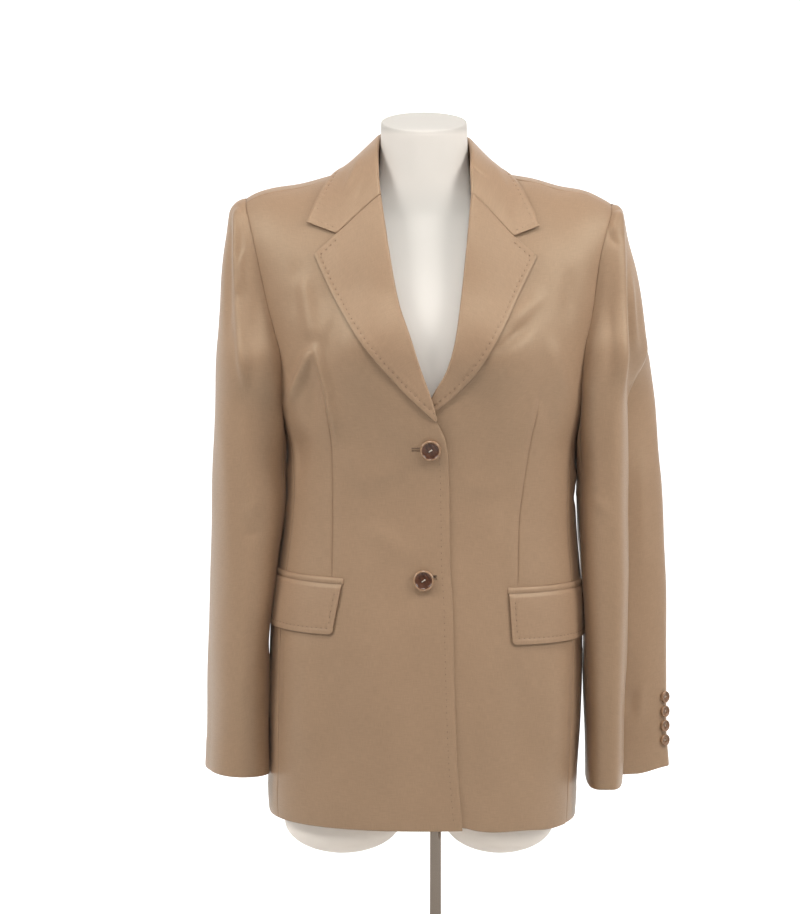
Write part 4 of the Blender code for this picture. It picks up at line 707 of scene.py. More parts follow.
# the main folds: a piece, its line in front view (start, middle, end), how wide it is on its
# left and right looking up the line, its height, negative for a hollow, and how far it fades in
FOLD_COLUMNS = ("piece", "x0", "z0", "x1", "z1", "x2", "z2", "left", "right", "height", "fade")
FOLDS = (
    # the wearer's right front: drag lines of the chest, the hollows beside them, the loose skirt
    ("front_right", -0.148, 0.880, -0.138, 0.838, -0.130, 0.792, 0.008, 0.010, 0.0034, 0.30),
    ("front_right", -0.128, 0.802, -0.1445, 0.768, -0.161, 0.726, 0.0052, 0.0065, 0.0066, 0.30),
    ("front_right", -0.131, 0.806, -0.1175, 0.757, -0.1045, 0.690, 0.0046, 0.0046, 0.0060, 0.30),
    ("front_right", -0.132, 0.776, -0.133, 0.740, -0.137, 0.695, 0.010, 0.009, -0.0042, 0.40),
    ("front_right", -0.100, 0.840, -0.114, 0.806, -0.1210, 0.766, 0.0115, 0.0080, -0.0024, 0.45),
    ("front_right", -0.141, 0.712, -0.150, 0.680, -0.157, 0.640, 0.011, 0.008, -0.0034, 0.40),
    ("front_right", -0.152, 0.900, -0.150, 0.860, -0.154, 0.815, 0.010, 0.008, -0.0021, 0.45),
    ("front_right", -0.098, 0.700, -0.086, 0.668, -0.080, 0.630, 0.013, 0.010, 0.0018, 0.45),
    ("front_right", -0.030, 0.676, -0.055, 0.660, -0.088, 0.652, 0.007, 0.010, 0.0012, 0.45),
    ("front_right", -0.020, 0.560, -0.050, 0.590, -0.085, 0.610, 0.011, 0.009, 0.0014, 0.45),
    ("front_right", -0.146, 0.500, -0.143, 0.430, -0.140, 0.320, 0.014, 0.022, 0.0042, 0.35),
    ("front_right", -0.117, 0.480, -0.108, 0.400, -0.112, 0.320, 0.014, 0.014, -0.0024, 0.40),
    ("front_right", -0.060, 0.520, -0.062, 0.430, -0.072, 0.300, 0.024, 0.020, 0.0023, 0.40),
    ("front_right", -0.012, 0.530, -0.018, 0.430, -0.024, 0.300, 0.016, 0.018, -0.0018, 0.40),
    # the wearer's left front
    ("front_left", 0.052, 0.786, 0.076, 0.806, 0.106, 0.830, 0.0060, 0.0085, -0.0034, 0.35),
    ("front_left", 0.068, 0.822, 0.092, 0.836, 0.120, 0.860, 0.0120, 0.0080, 0.0028, 0.40),
    ("front_left", 0.122, 0.812, 0.130, 0.775, 0.136, 0.735, 0.010, 0.009, 0.0028, 0.40),
    ("front_left", 0.140, 0.890, 0.142, 0.850, 0.137, 0.808, 0.008, 0.010, -0.0019, 0.45),
    ("front_left", 0.112, 0.760, 0.118, 0.730, 0.126, 0.695, 0.008, 0.008, -0.0023, 0.45),
    ("front_left", 0.010, 0.668, 0.040, 0.650, 0.075, 0.646, 0.009, 0.011, 0.0014, 0.45),
    ("front_left", 0.050, 0.640, 0.062, 0.600, 0.066, 0.555, 0.012, 0.010, 0.0016, 0.45),
    ("front_left", 0.128, 0.480, 0.126, 0.400, 0.124, 0.310, 0.020, 0.014, 0.0039, 0.35),
    ("front_left", 0.092, 0.470, 0.088, 0.400, 0.092, 0.310, 0.014, 0.014, -0.0024, 0.40),
    ("front_left", 0.044, 0.520, 0.046, 0.420, 0.052, 0.300, 0.018, 0.022, 0.0023, 0.40),
    # sleeves seen from the front
    ("sleeve_right", -0.2162, 0.948, -0.2160, 0.900, -0.2140, 0.846, 0.0034, 0.0040, 0.0044, 0.12),
    ("sleeve_right", -0.2143, 0.860, -0.2115, 0.810, -0.2040, 0.735, 0.0042, 0.0052, 0.0052, 0.30),
    ("sleeve_right", -0.2065, 0.904, -0.2105, 0.878, -0.2060, 0.850, 0.0028, 0.0030, 0.0022, 0.35),
    ("sleeve_right", -0.2235, 0.935, -0.2245, 0.880, -0.2245, 0.790, 0.0040, 0.0046, -0.0024, 0.25),
    ("sleeve_left", 0.1985, 0.944, 0.2012, 0.885, 0.2040, 0.735, 0.0034, 0.0100, 0.0040, 0.15),
    ("sleeve_left", 0.2075, 0.925, 0.2090, 0.870, 0.2095, 0.790, 0.0040, 0.0032, -0.0012, 0.25),
    ("sleeve_left", 0.2105, 0.888, 0.2145, 0.826, 0.2225, 0.776, 0.0032, 0.0040, 0.0034, 0.30),
    ("sleeve_right", -0.1960, 0.850, -0.1985, 0.800, -0.1960, 0.740, 0.0060, 0.0050, -0.0019, 0.40),
    ("sleeve_right", -0.2320, 0.720, -0.2250, 0.640, -0.2240, 0.540, 0.0080, 0.0100, 0.0019, 0.40),
    ("sleeve_right", -0.1880, 0.640, -0.2000, 0.622, -0.2180, 0.612, 0.0070, 0.0060, 0.0016, 0.45),
    ("sleeve_right", -0.1850, 0.604, -0.1990, 0.594, -0.2150, 0.590, 0.0060, 0.0060, -0.0015, 0.45),
    ("sleeve_right", -0.2120, 0.540, -0.2110, 0.460, -0.2130, 0.350, 0.0090, 0.0070, 0.0018, 0.40),
    ("sleeve_left", 0.1860, 0.922, 0.1905, 0.911, 0.1975, 0.901, 0.0030, 0.0032, -0.0019, 0.35),
    ("sleeve_left", 0.1850, 0.934, 0.1915, 0.924, 0.1990, 0.915, 0.0036, 0.0034, 0.0015, 0.35),
    ("sleeve_left", 0.1850, 0.860, 0.1880, 0.800, 0.1840, 0.740, 0.0050, 0.0060, -0.0018, 0.40),
    ("sleeve_left", 0.1700, 0.640, 0.1800, 0.622, 0.1940, 0.614, 0.0070, 0.0060, 0.0016, 0.45),
    ("sleeve_left", 0.2190, 0.415, 0.2180, 0.395, 0.2190, 0.372, 0.0040, 0.0040, -0.0016, 0.40),
    ("sleeve_left", 0.2290, 0.430, 0.2300, 0.400, 0.2280, 0.365, 0.0050, 0.0050, 0.0015, 0.40),
    ("sleeve_left", 0.2300, 0.700, 0.2290, 0.620, 0.2330, 0.520, 0.0080, 0.0080, 0.0018, 0.40),
    # the hidden side of the sleeves, at and above the elbow
    ("sleeve_back_right", -0.2100, 0.880, -0.2050, 0.830, -0.2080, 0.770, 0.0070, 0.0080, -0.0023, 0.40),
    ("sleeve_back_right", -0.1880, 0.660, -0.2060, 0.642, -0.2280, 0.636, 0.0070, 0.0080, 0.0023, 0.45),
    ("sleeve_back_right", -0.1880, 0.626, -0.2060, 0.612, -0.2280, 0.612, 0.0070, 0.0070, -0.0019, 0.45),
    ("sleeve_back_right", -0.1900, 0.590, -0.2060, 0.580, -0.2260, 0.584, 0.0080, 0.0070, 0.0018, 0.45),
    ("sleeve_back_left", 0.1950, 0.880, 0.1920, 0.830, 0.1980, 0.770, 0.0070, 0.0080, -0.0023, 0.40),
    ("sleeve_back_left", 0.1760, 0.664, 0.1980, 0.648, 0.2240, 0.640, 0.0070, 0.0080, 0.0023, 0.45),
    ("sleeve_back_left", 0.1760, 0.630, 0.1980, 0.616, 0.2240, 0.614, 0.0070, 0.0070, -0.0019, 0.45),
    ("sleeve_back_left", 0.1800, 0.592, 0.1980, 0.584, 0.2220, 0.586, 0.0080, 0.0070, 0.0018, 0.45),
    ("sleeve_under_right", -0.030, 0.640, -0.010, 0.628, 0.020, 0.632, 0.0070, 0.0070, 0.0015, 0.45),
    ("sleeve_under_right", -0.025, 0.604, -0.005, 0.596, 0.024, 0.600, 0.0060, 0.0070, -0.0014, 0.45),
    ("sleeve_under_left", -0.030, 0.646, -0.010, 0.634, 0.020, 0.636, 0.0070, 0.0070, 0.0015, 0.45),
    # the back: drag from the armholes, the drawn-in waist, the skirt's loose flare
    ("back_right", -0.160, 0.860, -0.140, 0.810, -0.128, 0.750, 0.012, 0.010, -0.0033, 0.40),
    ("back_right", -0.140, 0.850, -0.118, 0.800, -0.108, 0.740, 0.012, 0.012, 0.0027, 0.40),
    ("back_right", -0.130, 0.690, -0.090, 0.664, -0.040, 0.658, 0.010, 0.009, 0.0021, 0.45),
    ("back_right", -0.130, 0.655, -0.092, 0.640, -0.046, 0.640, 0.009, 0.008, -0.0018, 0.45),
    ("back_right", -0.122, 0.626, -0.090, 0.616, -0.050, 0.620, 0.010, 0.009, 0.0015, 0.45),
    ("back_right", -0.100, 0.560, -0.096, 0.450, -0.104, 0.310, 0.022, 0.018, 0.0030, 0.40),
    ("back_right", -0.055, 0.560, -0.052, 0.450, -0.058, 0.310, 0.016, 0.018, -0.0021, 0.40),
    ("back_left", 0.146, 0.856, 0.126, 0.806, 0.116, 0.746, 0.010, 0.012, -0.0033, 0.40),
    ("back_left", 0.126, 0.846, 0.106, 0.796, 0.096, 0.738, 0.012, 0.012, 0.0025, 0.40),
    ("back_left", 0.120, 0.684, 0.082, 0.662, 0.030, 0.654, 0.010, 0.009, 0.0019, 0.45),
    ("back_left", 0.116, 0.650, 0.084, 0.638, 0.034, 0.636, 0.009, 0.008, -0.0018, 0.45),
    ("back_left", 0.080, 0.560, 0.078, 0.450, 0.086, 0.310, 0.018, 0.022, 0.0029, 0.40),
    ("back_left", 0.034, 0.560, 0.034, 0.450, 0.038, 0.310, 0.018, 0.016, -0.0019, 0.40),
    # the side panels, across is front to back here
    ("side_right", -0.040, 0.668, -0.010, 0.656, 0.030, 0.660, 0.0080, 0.0070, 0.0018, 0.45),
    ("side_right", -0.036, 0.640, -0.008, 0.632, 0.028, 0.638, 0.0070, 0.0070, -0.0016, 0.45),
    ("side_left", -0.040, 0.662, -0.010, 0.652, 0.030, 0.656, 0.0080, 0.0070, 0.0018, 0.45),
    ("side_left", -0.036, 0.634, -0.008, 0.628, 0.028, 0.634, 0.0070, 0.0070, -0.0016, 0.45),
    # lapels and collar
    ("lapel_right", -0.052, 0.900, -0.066, 0.860, -0.064, 0.815, 0.012, 0.016, 0.0013, 0.45),
    ("lapel_right", -0.020, 0.790, -0.030, 0.770, -0.038, 0.745, 0.008, 0.010, -0.0009, 0.45),
    ("lapel_left", 0.040, 0.890, 0.056, 0.850, 0.048, 0.805, 0.016, 0.012, 0.0013, 0.45),
    ("lapel_left", 0.006, 0.790, 0.018, 0.768, 0.020, 0.745, 0.010, 0.008, -0.0009, 0.45),
    ("collar", -0.080, 1.006, -0.090, 0.984, -0.104, 0.956, 0.0030, 0.0042, 0.0011, 0.35),
    ("collar", -0.070, 0.990, -0.082, 0.965, -0.092, 0.945, 0.0050, 0.0040, -0.0007, 0.45),
    ("collar", 0.037, 0.995, 0.0443, 0.984, 0.056, 0.978, 0.0020, 0.0020, -0.0011, 0.30),
    ("collar", 0.060, 1.000, 0.068, 0.980, 0.080, 0.958, 0.0040, 0.0040, 0.0010, 0.40),
)


def folds(piece, x, z):
    """The height of a piece's folds at x and z."""
    out = np.zeros(x.shape)
    for row in FOLDS:
        v = dict(zip(FOLD_COLUMNS, row))
        if v["piece"] != piece:
            continue
        t = np.linspace(0, 1, 41)
        cx = 2 * v["x1"] - 0.5 * (v["x0"] + v["x2"])
        cz = 2 * v["z1"] - 0.5 * (v["z0"] + v["z2"])
        px = (1 - t) ** 2 * v["x0"] + 2 * t * (1 - t) * cx + t * t * v["x2"]
        pz = (1 - t) ** 2 * v["z0"] + 2 * t * (1 - t) * cz + t * t * v["z2"]
        reach = 3.2 * max(v["left"], v["right"])
        near = ((x > px.min() - reach) & (x < px.max() + reach) & (z > pz.min() - reach) & (z < pz.max() + reach))
        if not near.any():
            continue
        qx, qz = x[near], z[near]
        d = (qx[:, None] - px[None]) ** 2 + (qz[:, None] - pz[None]) ** 2
        k = d.argmin(1)
        lo, hi = np.clip(k - 1, 0, 39), np.clip(k, 0, 39)
        best, side, along_t = np.full(k.shape, 9.0), np.zeros(k.shape), np.zeros(k.shape)
        for i in (lo, hi):
            ax, az, bx, bz = px[i], pz[i], px[i + 1], pz[i + 1]
            ex, ez = bx - ax, bz - az
            s = np.clip(((qx - ax) * ex + (qz - az) * ez) / (ex * ex + ez * ez), 0, 1)
            dx, dz = qx - ax - s * ex, qz - az - s * ez
            dd = np.hypot(dx, dz)
            m = dd < best
            best = np.where(m, dd, best)
            side = np.where(m, ex * dz - ez * dx, side)
            along_t = np.where(m, t[i] + s / 40.0, along_t)
        wide = np.where(side > 0, v["left"], v["right"])
        f = v["fade"]
        w = ramp(0, f, along_t) * ramp(1, 1 - f, along_t)
        out[near] += v["height"] * w * np.exp(-(best / wide) ** 2)
    return out


def facing(grid, out):
    """Unit normals of a grid, turned the way that out says."""
    n = normals(grid)
    return n if float((n * out).sum(-1).mean()) > 0 else -n


def shell(name, grid, wall, out, uv=None, slot="wool", lip=0.75, crease=None, rim_shade=0.0):
    """A closed thin sheet: the grid's surface with the cloth's thickness and rounded edges."""
    rows, cols = grid.shape[:2]
    raw = normals(grid)
    flip = float((raw * out).sum(-1).mean()) < 0
    n = -raw if flip else raw
    count = rows * cols
    outer, inner = (grid + n * wall / 2).reshape(-1, 3), (grid - n * wall / 2).reshape(-1, 3)
    index = np.arange(count).reshape(rows, cols)
    loop = np.concatenate([index[0, :-1], index[:-1, -1], index[-1, :0:-1], index[:0:-1, 0]])
    inward = np.zeros((rows, cols, 3))
    inward[0] += grid[1] - grid[0]
    inward[-1] += grid[-2] - grid[-1]
    inward[:, 0] += grid[:, 1] - grid[:, 0]
    inward[:, -1] += grid[:, -2] - grid[:, -1]
    inward = inward.reshape(-1, 3)[loop]
    inward /= np.maximum(np.linalg.norm(inward, axis=-1, keepdims=True), 1e-9)
    rim = grid.reshape(-1, 3)[loop] - inward * wall / 2 * lip
    verts = np.concatenate([outer, inner, rim])
    a, b = index[:-1, :-1].ravel(), index[1:, :-1].ravel()
    c, d = index[1:, 1:].ravel(), index[:-1, 1:].ravel()
    top = np.stack([a, b, c, d], -1)
    low = np.stack([a, d, c, b], -1) + count
    p = len(loop)
    i, j = np.arange(p), (np.arange(p) + 1) % p
    r1 = np.stack([loop[i], loop[j], 2 * count + j, 2 * count + i], -1)
    r2 = np.stack([2 * count + i, 2 * count + j, loop[j] + count, loop[i] + count], -1)
    faces = np.concatenate([top, low, r1, r2])
    if flip:
        faces = faces[:, ::-1]
    if uv is None:
        r0, _, c0, _ = insets(grid)
        uv = np.stack([c0, r0], -1)
    uv = uv.reshape(-1, 2)
    vert_uv = np.concatenate([uv, uv, uv[loop]])
    me = bpy.data.meshes.new(name)
    me.vertices.add(len(verts))
    me.vertices.foreach_set("co", verts.astype(np.float32).ravel())
    me.loops.add(4 * len(faces))
    me.loops.foreach_set("vertex_index", faces.astype(np.int32).ravel())
    me.polygons.add(len(faces))
    me.polygons.foreach_set("loop_start", np.arange(0, 4 * len(faces), 4, dtype=np.int32))
    layer = me.uv_layers.new(name="cloth")
    me.update(calc_edges=True)
    layer.data.foreach_set("uv", vert_uv[faces.ravel()].astype(np.float32).ravel())
    # painted shade: the crease attribute darkens the cloth along seams, darts and tucked edges, and rim_shade paints
    # the shadow under a raised edge onto its rim and underside
    if crease is not None:
        v = crease.reshape(-1)
        dark = np.broadcast_to(np.asarray(rim_shade, float), crease.shape).reshape(-1)
        at = me.attributes.new("crease", "FLOAT", "POINT")
        at.data.foreach_set("value", np.concatenate([v, np.maximum(v, dark), np.maximum(v[loop], dark[loop])]).astype(np.float32))
    me.validate()
    me.shade_smooth()
    o = bpy.data.objects.new(name, me)
    bpy.context.scene.collection.objects.link(o)
    o.data.materials.append(MATERIALS[slot])
    return o


def cloth_piece(o, node):
    """The piece stands for a CAD node and rides on the one body."""
    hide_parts(node)
    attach(o, "root")
    return o


def area_of(grid):
    a, b = np.diff(grid, axis=0)[:, :-1], np.diff(grid, axis=1)[:-1]
    return float(np.linalg.norm(np.cross(a, b), axis=-1).sum())


def size_of(grid):
    r0, r1, c0, c1 = insets(grid)
    return float(c0[:, -1].max()), float(r0[-1].max())


def whole(o, node, grid):
    """Hides the CAD node that a piece stands for and puts the piece on the one body; the measure it takes of the piece
    is not used.
    """
    area = area_of(grid)
    w, l = size_of(grid)
    l = max(l, 0.0102)
    if area > w * l:
        l = area / w * 1.01
    return cloth_piece(o, node)


# ------------------------------------------------------------- fronts
DART_COLUMNS = ("z", "x")
DART_RIGHT = ((0.5450, -0.1125), (0.5529, -0.1122), (0.6386, -0.1113), (0.6925, -0.1129), (0.7407, -0.1193), (0.7600, -0.1215))
DART_LEFT = ((0.5380, 0.0858), (0.5455, 0.0862), (0.6003, 0.0873), (0.6557, 0.0936), (0.7000, 0.1005), (0.7387, 0.1095), (0.7600, 0.1125))
DART_TOP = {-1: 0.7400, 1: 0.7380}
DART_LOW = {-1: 0.5480, 1: 0.5400}


def dart_x(side, z):
    return smooth(DART_RIGHT if side < 0 else DART_LEFT, DART_COLUMNS, "x", np.clip(z, 0.530, 0.765))


def roll_radius(side, z):
    """Half the thickness of the rolled lapel, growing up from the break."""
    z0 = (ROLL_RIGHT if side < 0 else ROLL_LEFT)[0][0]
    return 0.0010 + 0.0014 * ramp(z0 + 0.005, z0 + 0.080, z)


def tuck(side, z):
    """How far inside the roll line the front panel starts, under its lapel."""
    z0 = (ROLL_RIGHT if side < 0 else ROLL_LEFT)[0][0]
    return 0.0075 * ramp(z0 + 0.004, z0 + 0.045, z)


def front_lines(side, kl, kh):
    """The panel's two long borders, hem to shoulder: x and w of the front edge and of the side."""
    edge = EDGE_RIGHT if side < 0 else EDGE_LEFT
    roll = ROLL_RIGHT if side < 0 else ROLL_LEFT
    sx, sw = shoulder_point(side)
    z0, z_side, inset = edge[0][0], HEM_SIDE[side], SEAM_GAP / 2
    zl = z0 + (roll[0][0] - z0) * kl
    zr = z_side + (Z_ARMPIT - z_side) * kl
    low = (smooth(edge, EDGE_COLUMNS, "x", zl), zl, side_x(side, zr, SIDE_FRONT) - side * inset, zr)
    zu = np.linspace(roll[0][0], roll[-1][0], 200)
    left = np.stack([smooth(roll, EDGE_COLUMNS, "x", zu) + side * tuck(side, zu), zu], -1)
    left = np.stack([left[:, 0], along(left[:, 0], left[:, 1])], -1)
    ts = np.linspace(0.045, 0.24, 30) if side < 0 else np.linspace(0.955, 0.76, 30)
    neck = np.stack([smooth(NECK, NECK_COLUMNS, "x", ts), smooth(NECK, NECK_COLUMNS, "w", ts)], -1)
    neck[:, 0] += side * 0.0020
    left = np.concatenate([left, neck])
    za = np.linspace(Z_ARMPIT, 0.944, 200)
    xa = arm_x(side, za, "front") - side * inset
    blend = ramp(Z_ARMPIT, Z_ARMPIT + 0.03, za)
    xa = xa * blend + (side_x(side, za, SIDE_FRONT) - side * inset) * (1 - blend)
    right = np.stack([xa, along(xa, za)], -1)
    right = right[right[:, 1] < sw - 0.002]
    right = np.concatenate([right, [[sx - side * inset, sw]]])

    def at(line, k):
        s = np.concatenate([[0], np.cumsum(np.linalg.norm(np.diff(line, axis=0), axis=1))])
        return np.stack([np.interp(k * s[-1], s, line[:, i]) for i in (0, 1)], -1)

    return low, at(left, kh), at(right, kh)


def front_domain(side, kl, kh, na, nb):
    low, left, right = front_lines(side, kl, kh)
    z0, z_side = low[1][0], HEM_SIDE[side]
    ea, eb = eased(na), eased(nb)
    rows = []
    for j in range(len(kl)):
        xa, za, xb, zb = (v[j] for v in low)
        f = (float(dart_x(side, (za + zb) / 2)) - xa) / (xb - xa)
        u = np.concatenate([ea * f, f + (1 - f) * eb[1:]])
        x, z = xa + (xb - xa) * u, za + (zb - za) * u
        if side > 0:
            z = z + (1 - kl[j]) * (smooth(HEM_LEFT, HEM_COLUMNS, "z", x) - (z0 + (z_side - z0) * u))
        rows.append(np.stack([x, along(x, z)], -1))
    for j in range(1, len(kh)):
        a, b = cloth(left[j, 0], left[j, 1]), cloth(right[j, 0], right[j, 1])
        f = (float(dart_x(side, min((a[2] + b[2]) / 2, 0.765))) - left[j, 0]) / (right[j, 0] - left[j, 0])
        f = f + (0.42 - f) * float(ramp(0.2, 1.0, kh[j]))
        u = np.concatenate([ea * f, f + (1 - f) * eb[1:]])
        x = left[j, 0] + (right[j, 0] - left[j, 0]) * u
        w = left[j, 1] + (right[j, 1] - left[j, 1]) * u
        wz = along(x, a[2] + (b[2] - a[2]) * u)
        m = ramp(0.0, 0.7, kh[j])
        rows.append(np.stack([x, w * m + wz * (1 - m)], -1))
    return np.array(rows)


def dart_relief(side, x, z):
    """The sewn dart: a fine groove, the cloth swelling on both sides of it and a pucker at its point."""
    d = x - dart_x(side, z)
    top, low = DART_TOP[side], DART_LOW[side]
    on = ramp(low - 0.004, low + 0.010, z) * ramp(top + 0.004, top - 0.020, z)
    line = -0.00075 * np.exp(-(d / 0.0011) ** 2)
    swell_ = 0.0009 * np.exp(-((np.abs(d) - 0.008) / 0.007) ** 2)
    out = on * (line + swell_)
    tip = np.exp(-((z - top) / 0.010) ** 2)
    return out + tip * (-0.0009 * np.exp(-(d / 0.0035) ** 2) + 0.0008 * np.exp(-((np.abs(d) - 0.007) / 0.005) ** 2))


# painted shade along a grid's chosen borders, where the shade of a seam falls
def painted_seam_shade(grid, which, wide=0.0011):
    out = np.zeros(grid.shape[:2])
    for d, use in zip(insets(grid), which):
        if use:
            out = np.maximum(out, np.exp(-(d / wide) ** 2))
    return out


def front(side):
    word = "right" if side < 0 else "left"
    kl, kh = rows_of(170, 0.44), rows_of(120, 0.30)
    kl = np.concatenate([kl[:-5], [1.0]])
    kh = np.concatenate([[0.0], kh[5:]])
    d = front_domain(side, kl, kh, 46, 44)
    p = iron(cloth(d[..., 0], d[..., 1]), 6)
    n = facing(p, np.array([0, -1, 0.1]))
    x, z = p[..., 0], p[..., 2]
    sewn = ramp(0.0, 0.014, insets(p)[3])
    p = p + n * (overlap(side, x, z) + folds("front_" + word, x, z) * sewn + dart_relief(side, x, z))[..., None]
    lift = 0.00035 * wander(p, 3 + side, 0.090)
    hem, shoulder, edge, out_side = insets(p)
    z_break = (ROLL_RIGHT if side < 0 else ROLL_LEFT)[0][0]
    free = ramp(z_break + 0.01, z_break - 0.01, z)
    # a turned-up hem and a faced edge show as a faint step in the cloth
    lift += 0.00035 * ramp(0.036, 0.028, hem) + 0.0003 * ramp(0.052, 0.040, edge) * free
    near_neck = ramp(0.125, 0.085, np.abs(x - MIDDLE))
    lift -= groove(shoulder, 0.0003, 0.0011) * near_neck + groove(out_side, 0.00022, 0.0011)
    lift -= groove(hem, 0.0004, 0.0010) + free * groove(edge, 0.0004, 0.0010)
    p = p + n * lift[..., None]
    # painted shade along the shoulder seam near the neck, the side seam and armhole, and the dart, kept in the crease
    # attribute
    crease = np.maximum(0.8 * painted_seam_shade(p, (0, 1, 0, 0)) * near_neck, 0.75 * painted_seam_shade(p, (0, 0, 0, 1)))
    crease = np.maximum(crease, 0.8 * np.exp(-(np.abs(x - dart_x(side, z)) / 0.0011) ** 2)
                        * ramp(DART_LOW[side] - 0.004, DART_LOW[side] + 0.01, z) * ramp(DART_TOP[side] + 0.004, DART_TOP[side] - 0.012, z))
    o = shell("front_%s_cloth" % word, p, 0.0013, np.array([0, -1, 0.1]), crease=crease)
    whole(o, "front_" + word, p)
    return p


# ------------------------------------------------------------- backs and side panels
def back_domain(side, kt, kl, u):
    inset = SEAM_GAP / 2
    ts = np.linspace(0.5, 0.24 if side < 0 else 0.76, 60)
    neck = np.stack([smooth(NECK, NECK_COLUMNS, "x", ts), smooth(NECK, NECK_COLUMNS, "w", ts)], -1)
    neck[:, 1] += 0.0015
    neck[0, 0] = body("cx", 0.99) + side * inset
    neck[-1, 1] = -SEAM_FORWARD + SEAM_GAP
    neck[-1, 0] += side * 0.0020
    sx, sw = shoulder_point(side)
    line = np.concatenate([neck, [[sx - side * inset, sw + SEAM_GAP]]])
    s = np.concatenate([[0], np.cumsum(np.linalg.norm(np.diff(line, axis=0), axis=1))])
    top = np.stack([np.interp(u * s[-1], s, line[:, i]) for i in (0, 1)], -1)
    za = np.linspace(0.944, Z_ARMPIT, 200)
    xa = arm_x(side, za, "back") - side * inset
    blend = ramp(Z_ARMPIT, Z_ARMPIT + 0.03, za)
    xa = xa * blend + (side_x(side, za, SIDE_BACK) - side * inset) * (1 - blend)
    arm = np.stack([xa, along(xa, za, True)], -1)
    arm = arm[arm[:, 1] > 0.020]
    over = np.array([[sx - side * inset, w] for w in np.linspace(sw + SEAM_GAP, 0.018, 12)])
    arm = np.concatenate([over, arm])
    s = np.concatenate([[0], np.cumsum(np.linalg.norm(np.diff(arm, axis=0), axis=1))])
    arm = np.stack([np.interp(kt * s[-1], s, arm[:, i]) for i in (0, 1)], -1)
    mid_x = float(body("cx", 0.9))
    centre = neck[0, 1] + (float(along(mid_x, Z_ARMPIT, True)) - neck[0, 1]) * kt
    rows = []
    for j in range(len(kt)):
        fade = 1 - float(ramp(0, 1, kt[j]))
        cw = centre[j]
        cxx = float(body("cx", float(np.clip(cloth(mid_x, cw)[2], 0.27, 1.0)))) + side * inset
        x = cxx + (arm[j, 0] - cxx) * u
        w = cw + (arm[j, 1] - cw) * u
        x = x + fade * (top[:, 0] - (top[0, 0] + (top[-1, 0] - top[0, 0]) * u))
        w = w + fade * (top[:, 1] - (top[0, 1] + (top[-1, 1] - top[0, 1]) * u))
        z_a, z_b = cloth(cxx, cw)[2], cloth(arm[j, 0], arm[j, 1])[2]
        wz = along(x, z_a + (z_b - z_a) * u, True)
        m = ramp(0.3, 1.0, kt[j])
        rows.append(np.stack([x, w * (1 - m) + wz * m], -1))
    for k in kl[1:]:
        zs = Z_ARMPIT + (HEM_SIDE[side] - Z_ARMPIT) * k
        z = zs + (HEM_BACK - HEM_SIDE[side]) * k * (1 - u)
        a = float(body("cx", zs)) + side * inset
        b = float(side_x(side, zs, SIDE_BACK)) - side * inset
        x = a + (b - a) * u
        rows.append(np.stack([x, along(x, z, True)], -1))
    return np.array(rows)


def back(side):
    word = "right" if side < 0 else "left"
    kt, kl = rows_of(90, 0.33), rows_of(130, 0.44)
    kt = np.concatenate([kt[:-5], [1.0]])
    kl = np.concatenate([[0.0], kl[5:]])
    d = back_domain(side, kt, kl, eased(74, 0.7))
    p = iron(cloth(d[..., 0], d[..., 1]), 6)
    n = facing(p, np.array([0, 1, 0.1]))
    x, z = p[..., 0], p[..., 2]
    shoulder, hem, centre, out_side = insets(p)
    lift = folds("back_" + word, x, z) * ramp(0.0, 0.014, np.minimum(centre, out_side)) + 0.00045 * wander(p, 8 + side, 0.110)
    lift += 0.00035 * ramp(0.036, 0.028, hem)
    near_neck = ramp(0.125, 0.085, np.abs(x - MIDDLE))
    lift -= groove(shoulder, 0.0003, 0.0011) * near_neck + groove(out_side, 0.00030, 0.0011) + groove(centre, 0.0006, 0.0013)
    lift -= groove(hem, 0.0004, 0.0010)
    p = p + n * lift[..., None]
    # painted shade along the centre and side seams and the shoulder seam near the neck, kept in the crease attribute
    o = shell("back_%s_cloth" % word, p, 0.0013, np.array([0, 1, 0.1]), crease=np.maximum(painted_seam_shade(p, (0, 0, 1, 1)), 0.8 * painted_seam_shade(p, (1, 0, 0, 0)) * near_neck))
    whole(o, "back_" + word, p)
    return p


def side_piece(side):
    word = "right" if side < 0 else "left"
    k = rows_of(150, 0.44)
    z = HEM_SIDE[side] + (Z_ARMPIT - HEM_SIDE[side]) * k
    u = eased(34, 0.7)
    grid = []
    per = math.degrees(SEAM_GAP / 2 / 0.12)
    for zz in z:
        a0 = float(seam_angle(SIDE_FRONT, zz)) + per
        grid.append(girth((a0 + (SIDE_BACK - per - a0) * u) * side, zz))
    p = np.array(grid)
    out = np.array([side, 0, 0])
    n = facing(p, out)
    hem, top, fr, bk = insets(p)
    lift = folds("side_" + word, p[..., 1], p[..., 2]) * ramp(0.0, 0.012, np.minimum(fr, bk)) + 0.0003 * wander(p, 13 + side, 0.08)
    lift += 0.00035 * ramp(0.036, 0.028, hem)
    lift -= groove(fr, 0.00045, 0.0012) + groove(bk, 0.00045, 0.0012) + groove(top, 0.0006, 0.0014) + groove(hem, 0.0004, 0.0010)
    p = p + n * lift[..., None]
    # painted shade along the armpit and both side seams, kept in the crease attribute
    o = shell("side_%s_cloth" % word, p, 0.0013, out, crease=painted_seam_shade(p, (0, 1, 1, 1)))
    whole(o, "side_" + word, p)
    return p


# ------------------------------------------------------------- sleeves
def sleeve_clear(side, p):
    """Below the armpit the sleeve hangs just clear of the body and of the pocket flap."""
    z = p[..., 2]
    room = 0.0026 + 0.0024 * ramp(0.610, 0.565, z) * ramp(0.440, 0.475, z)
    q = keep_off(p, room)
    k = ramp(Z_ARMPIT + 0.008, Z_ARMPIT - 0.0003, z)[..., None]
    return p * (1 - k) + q * k


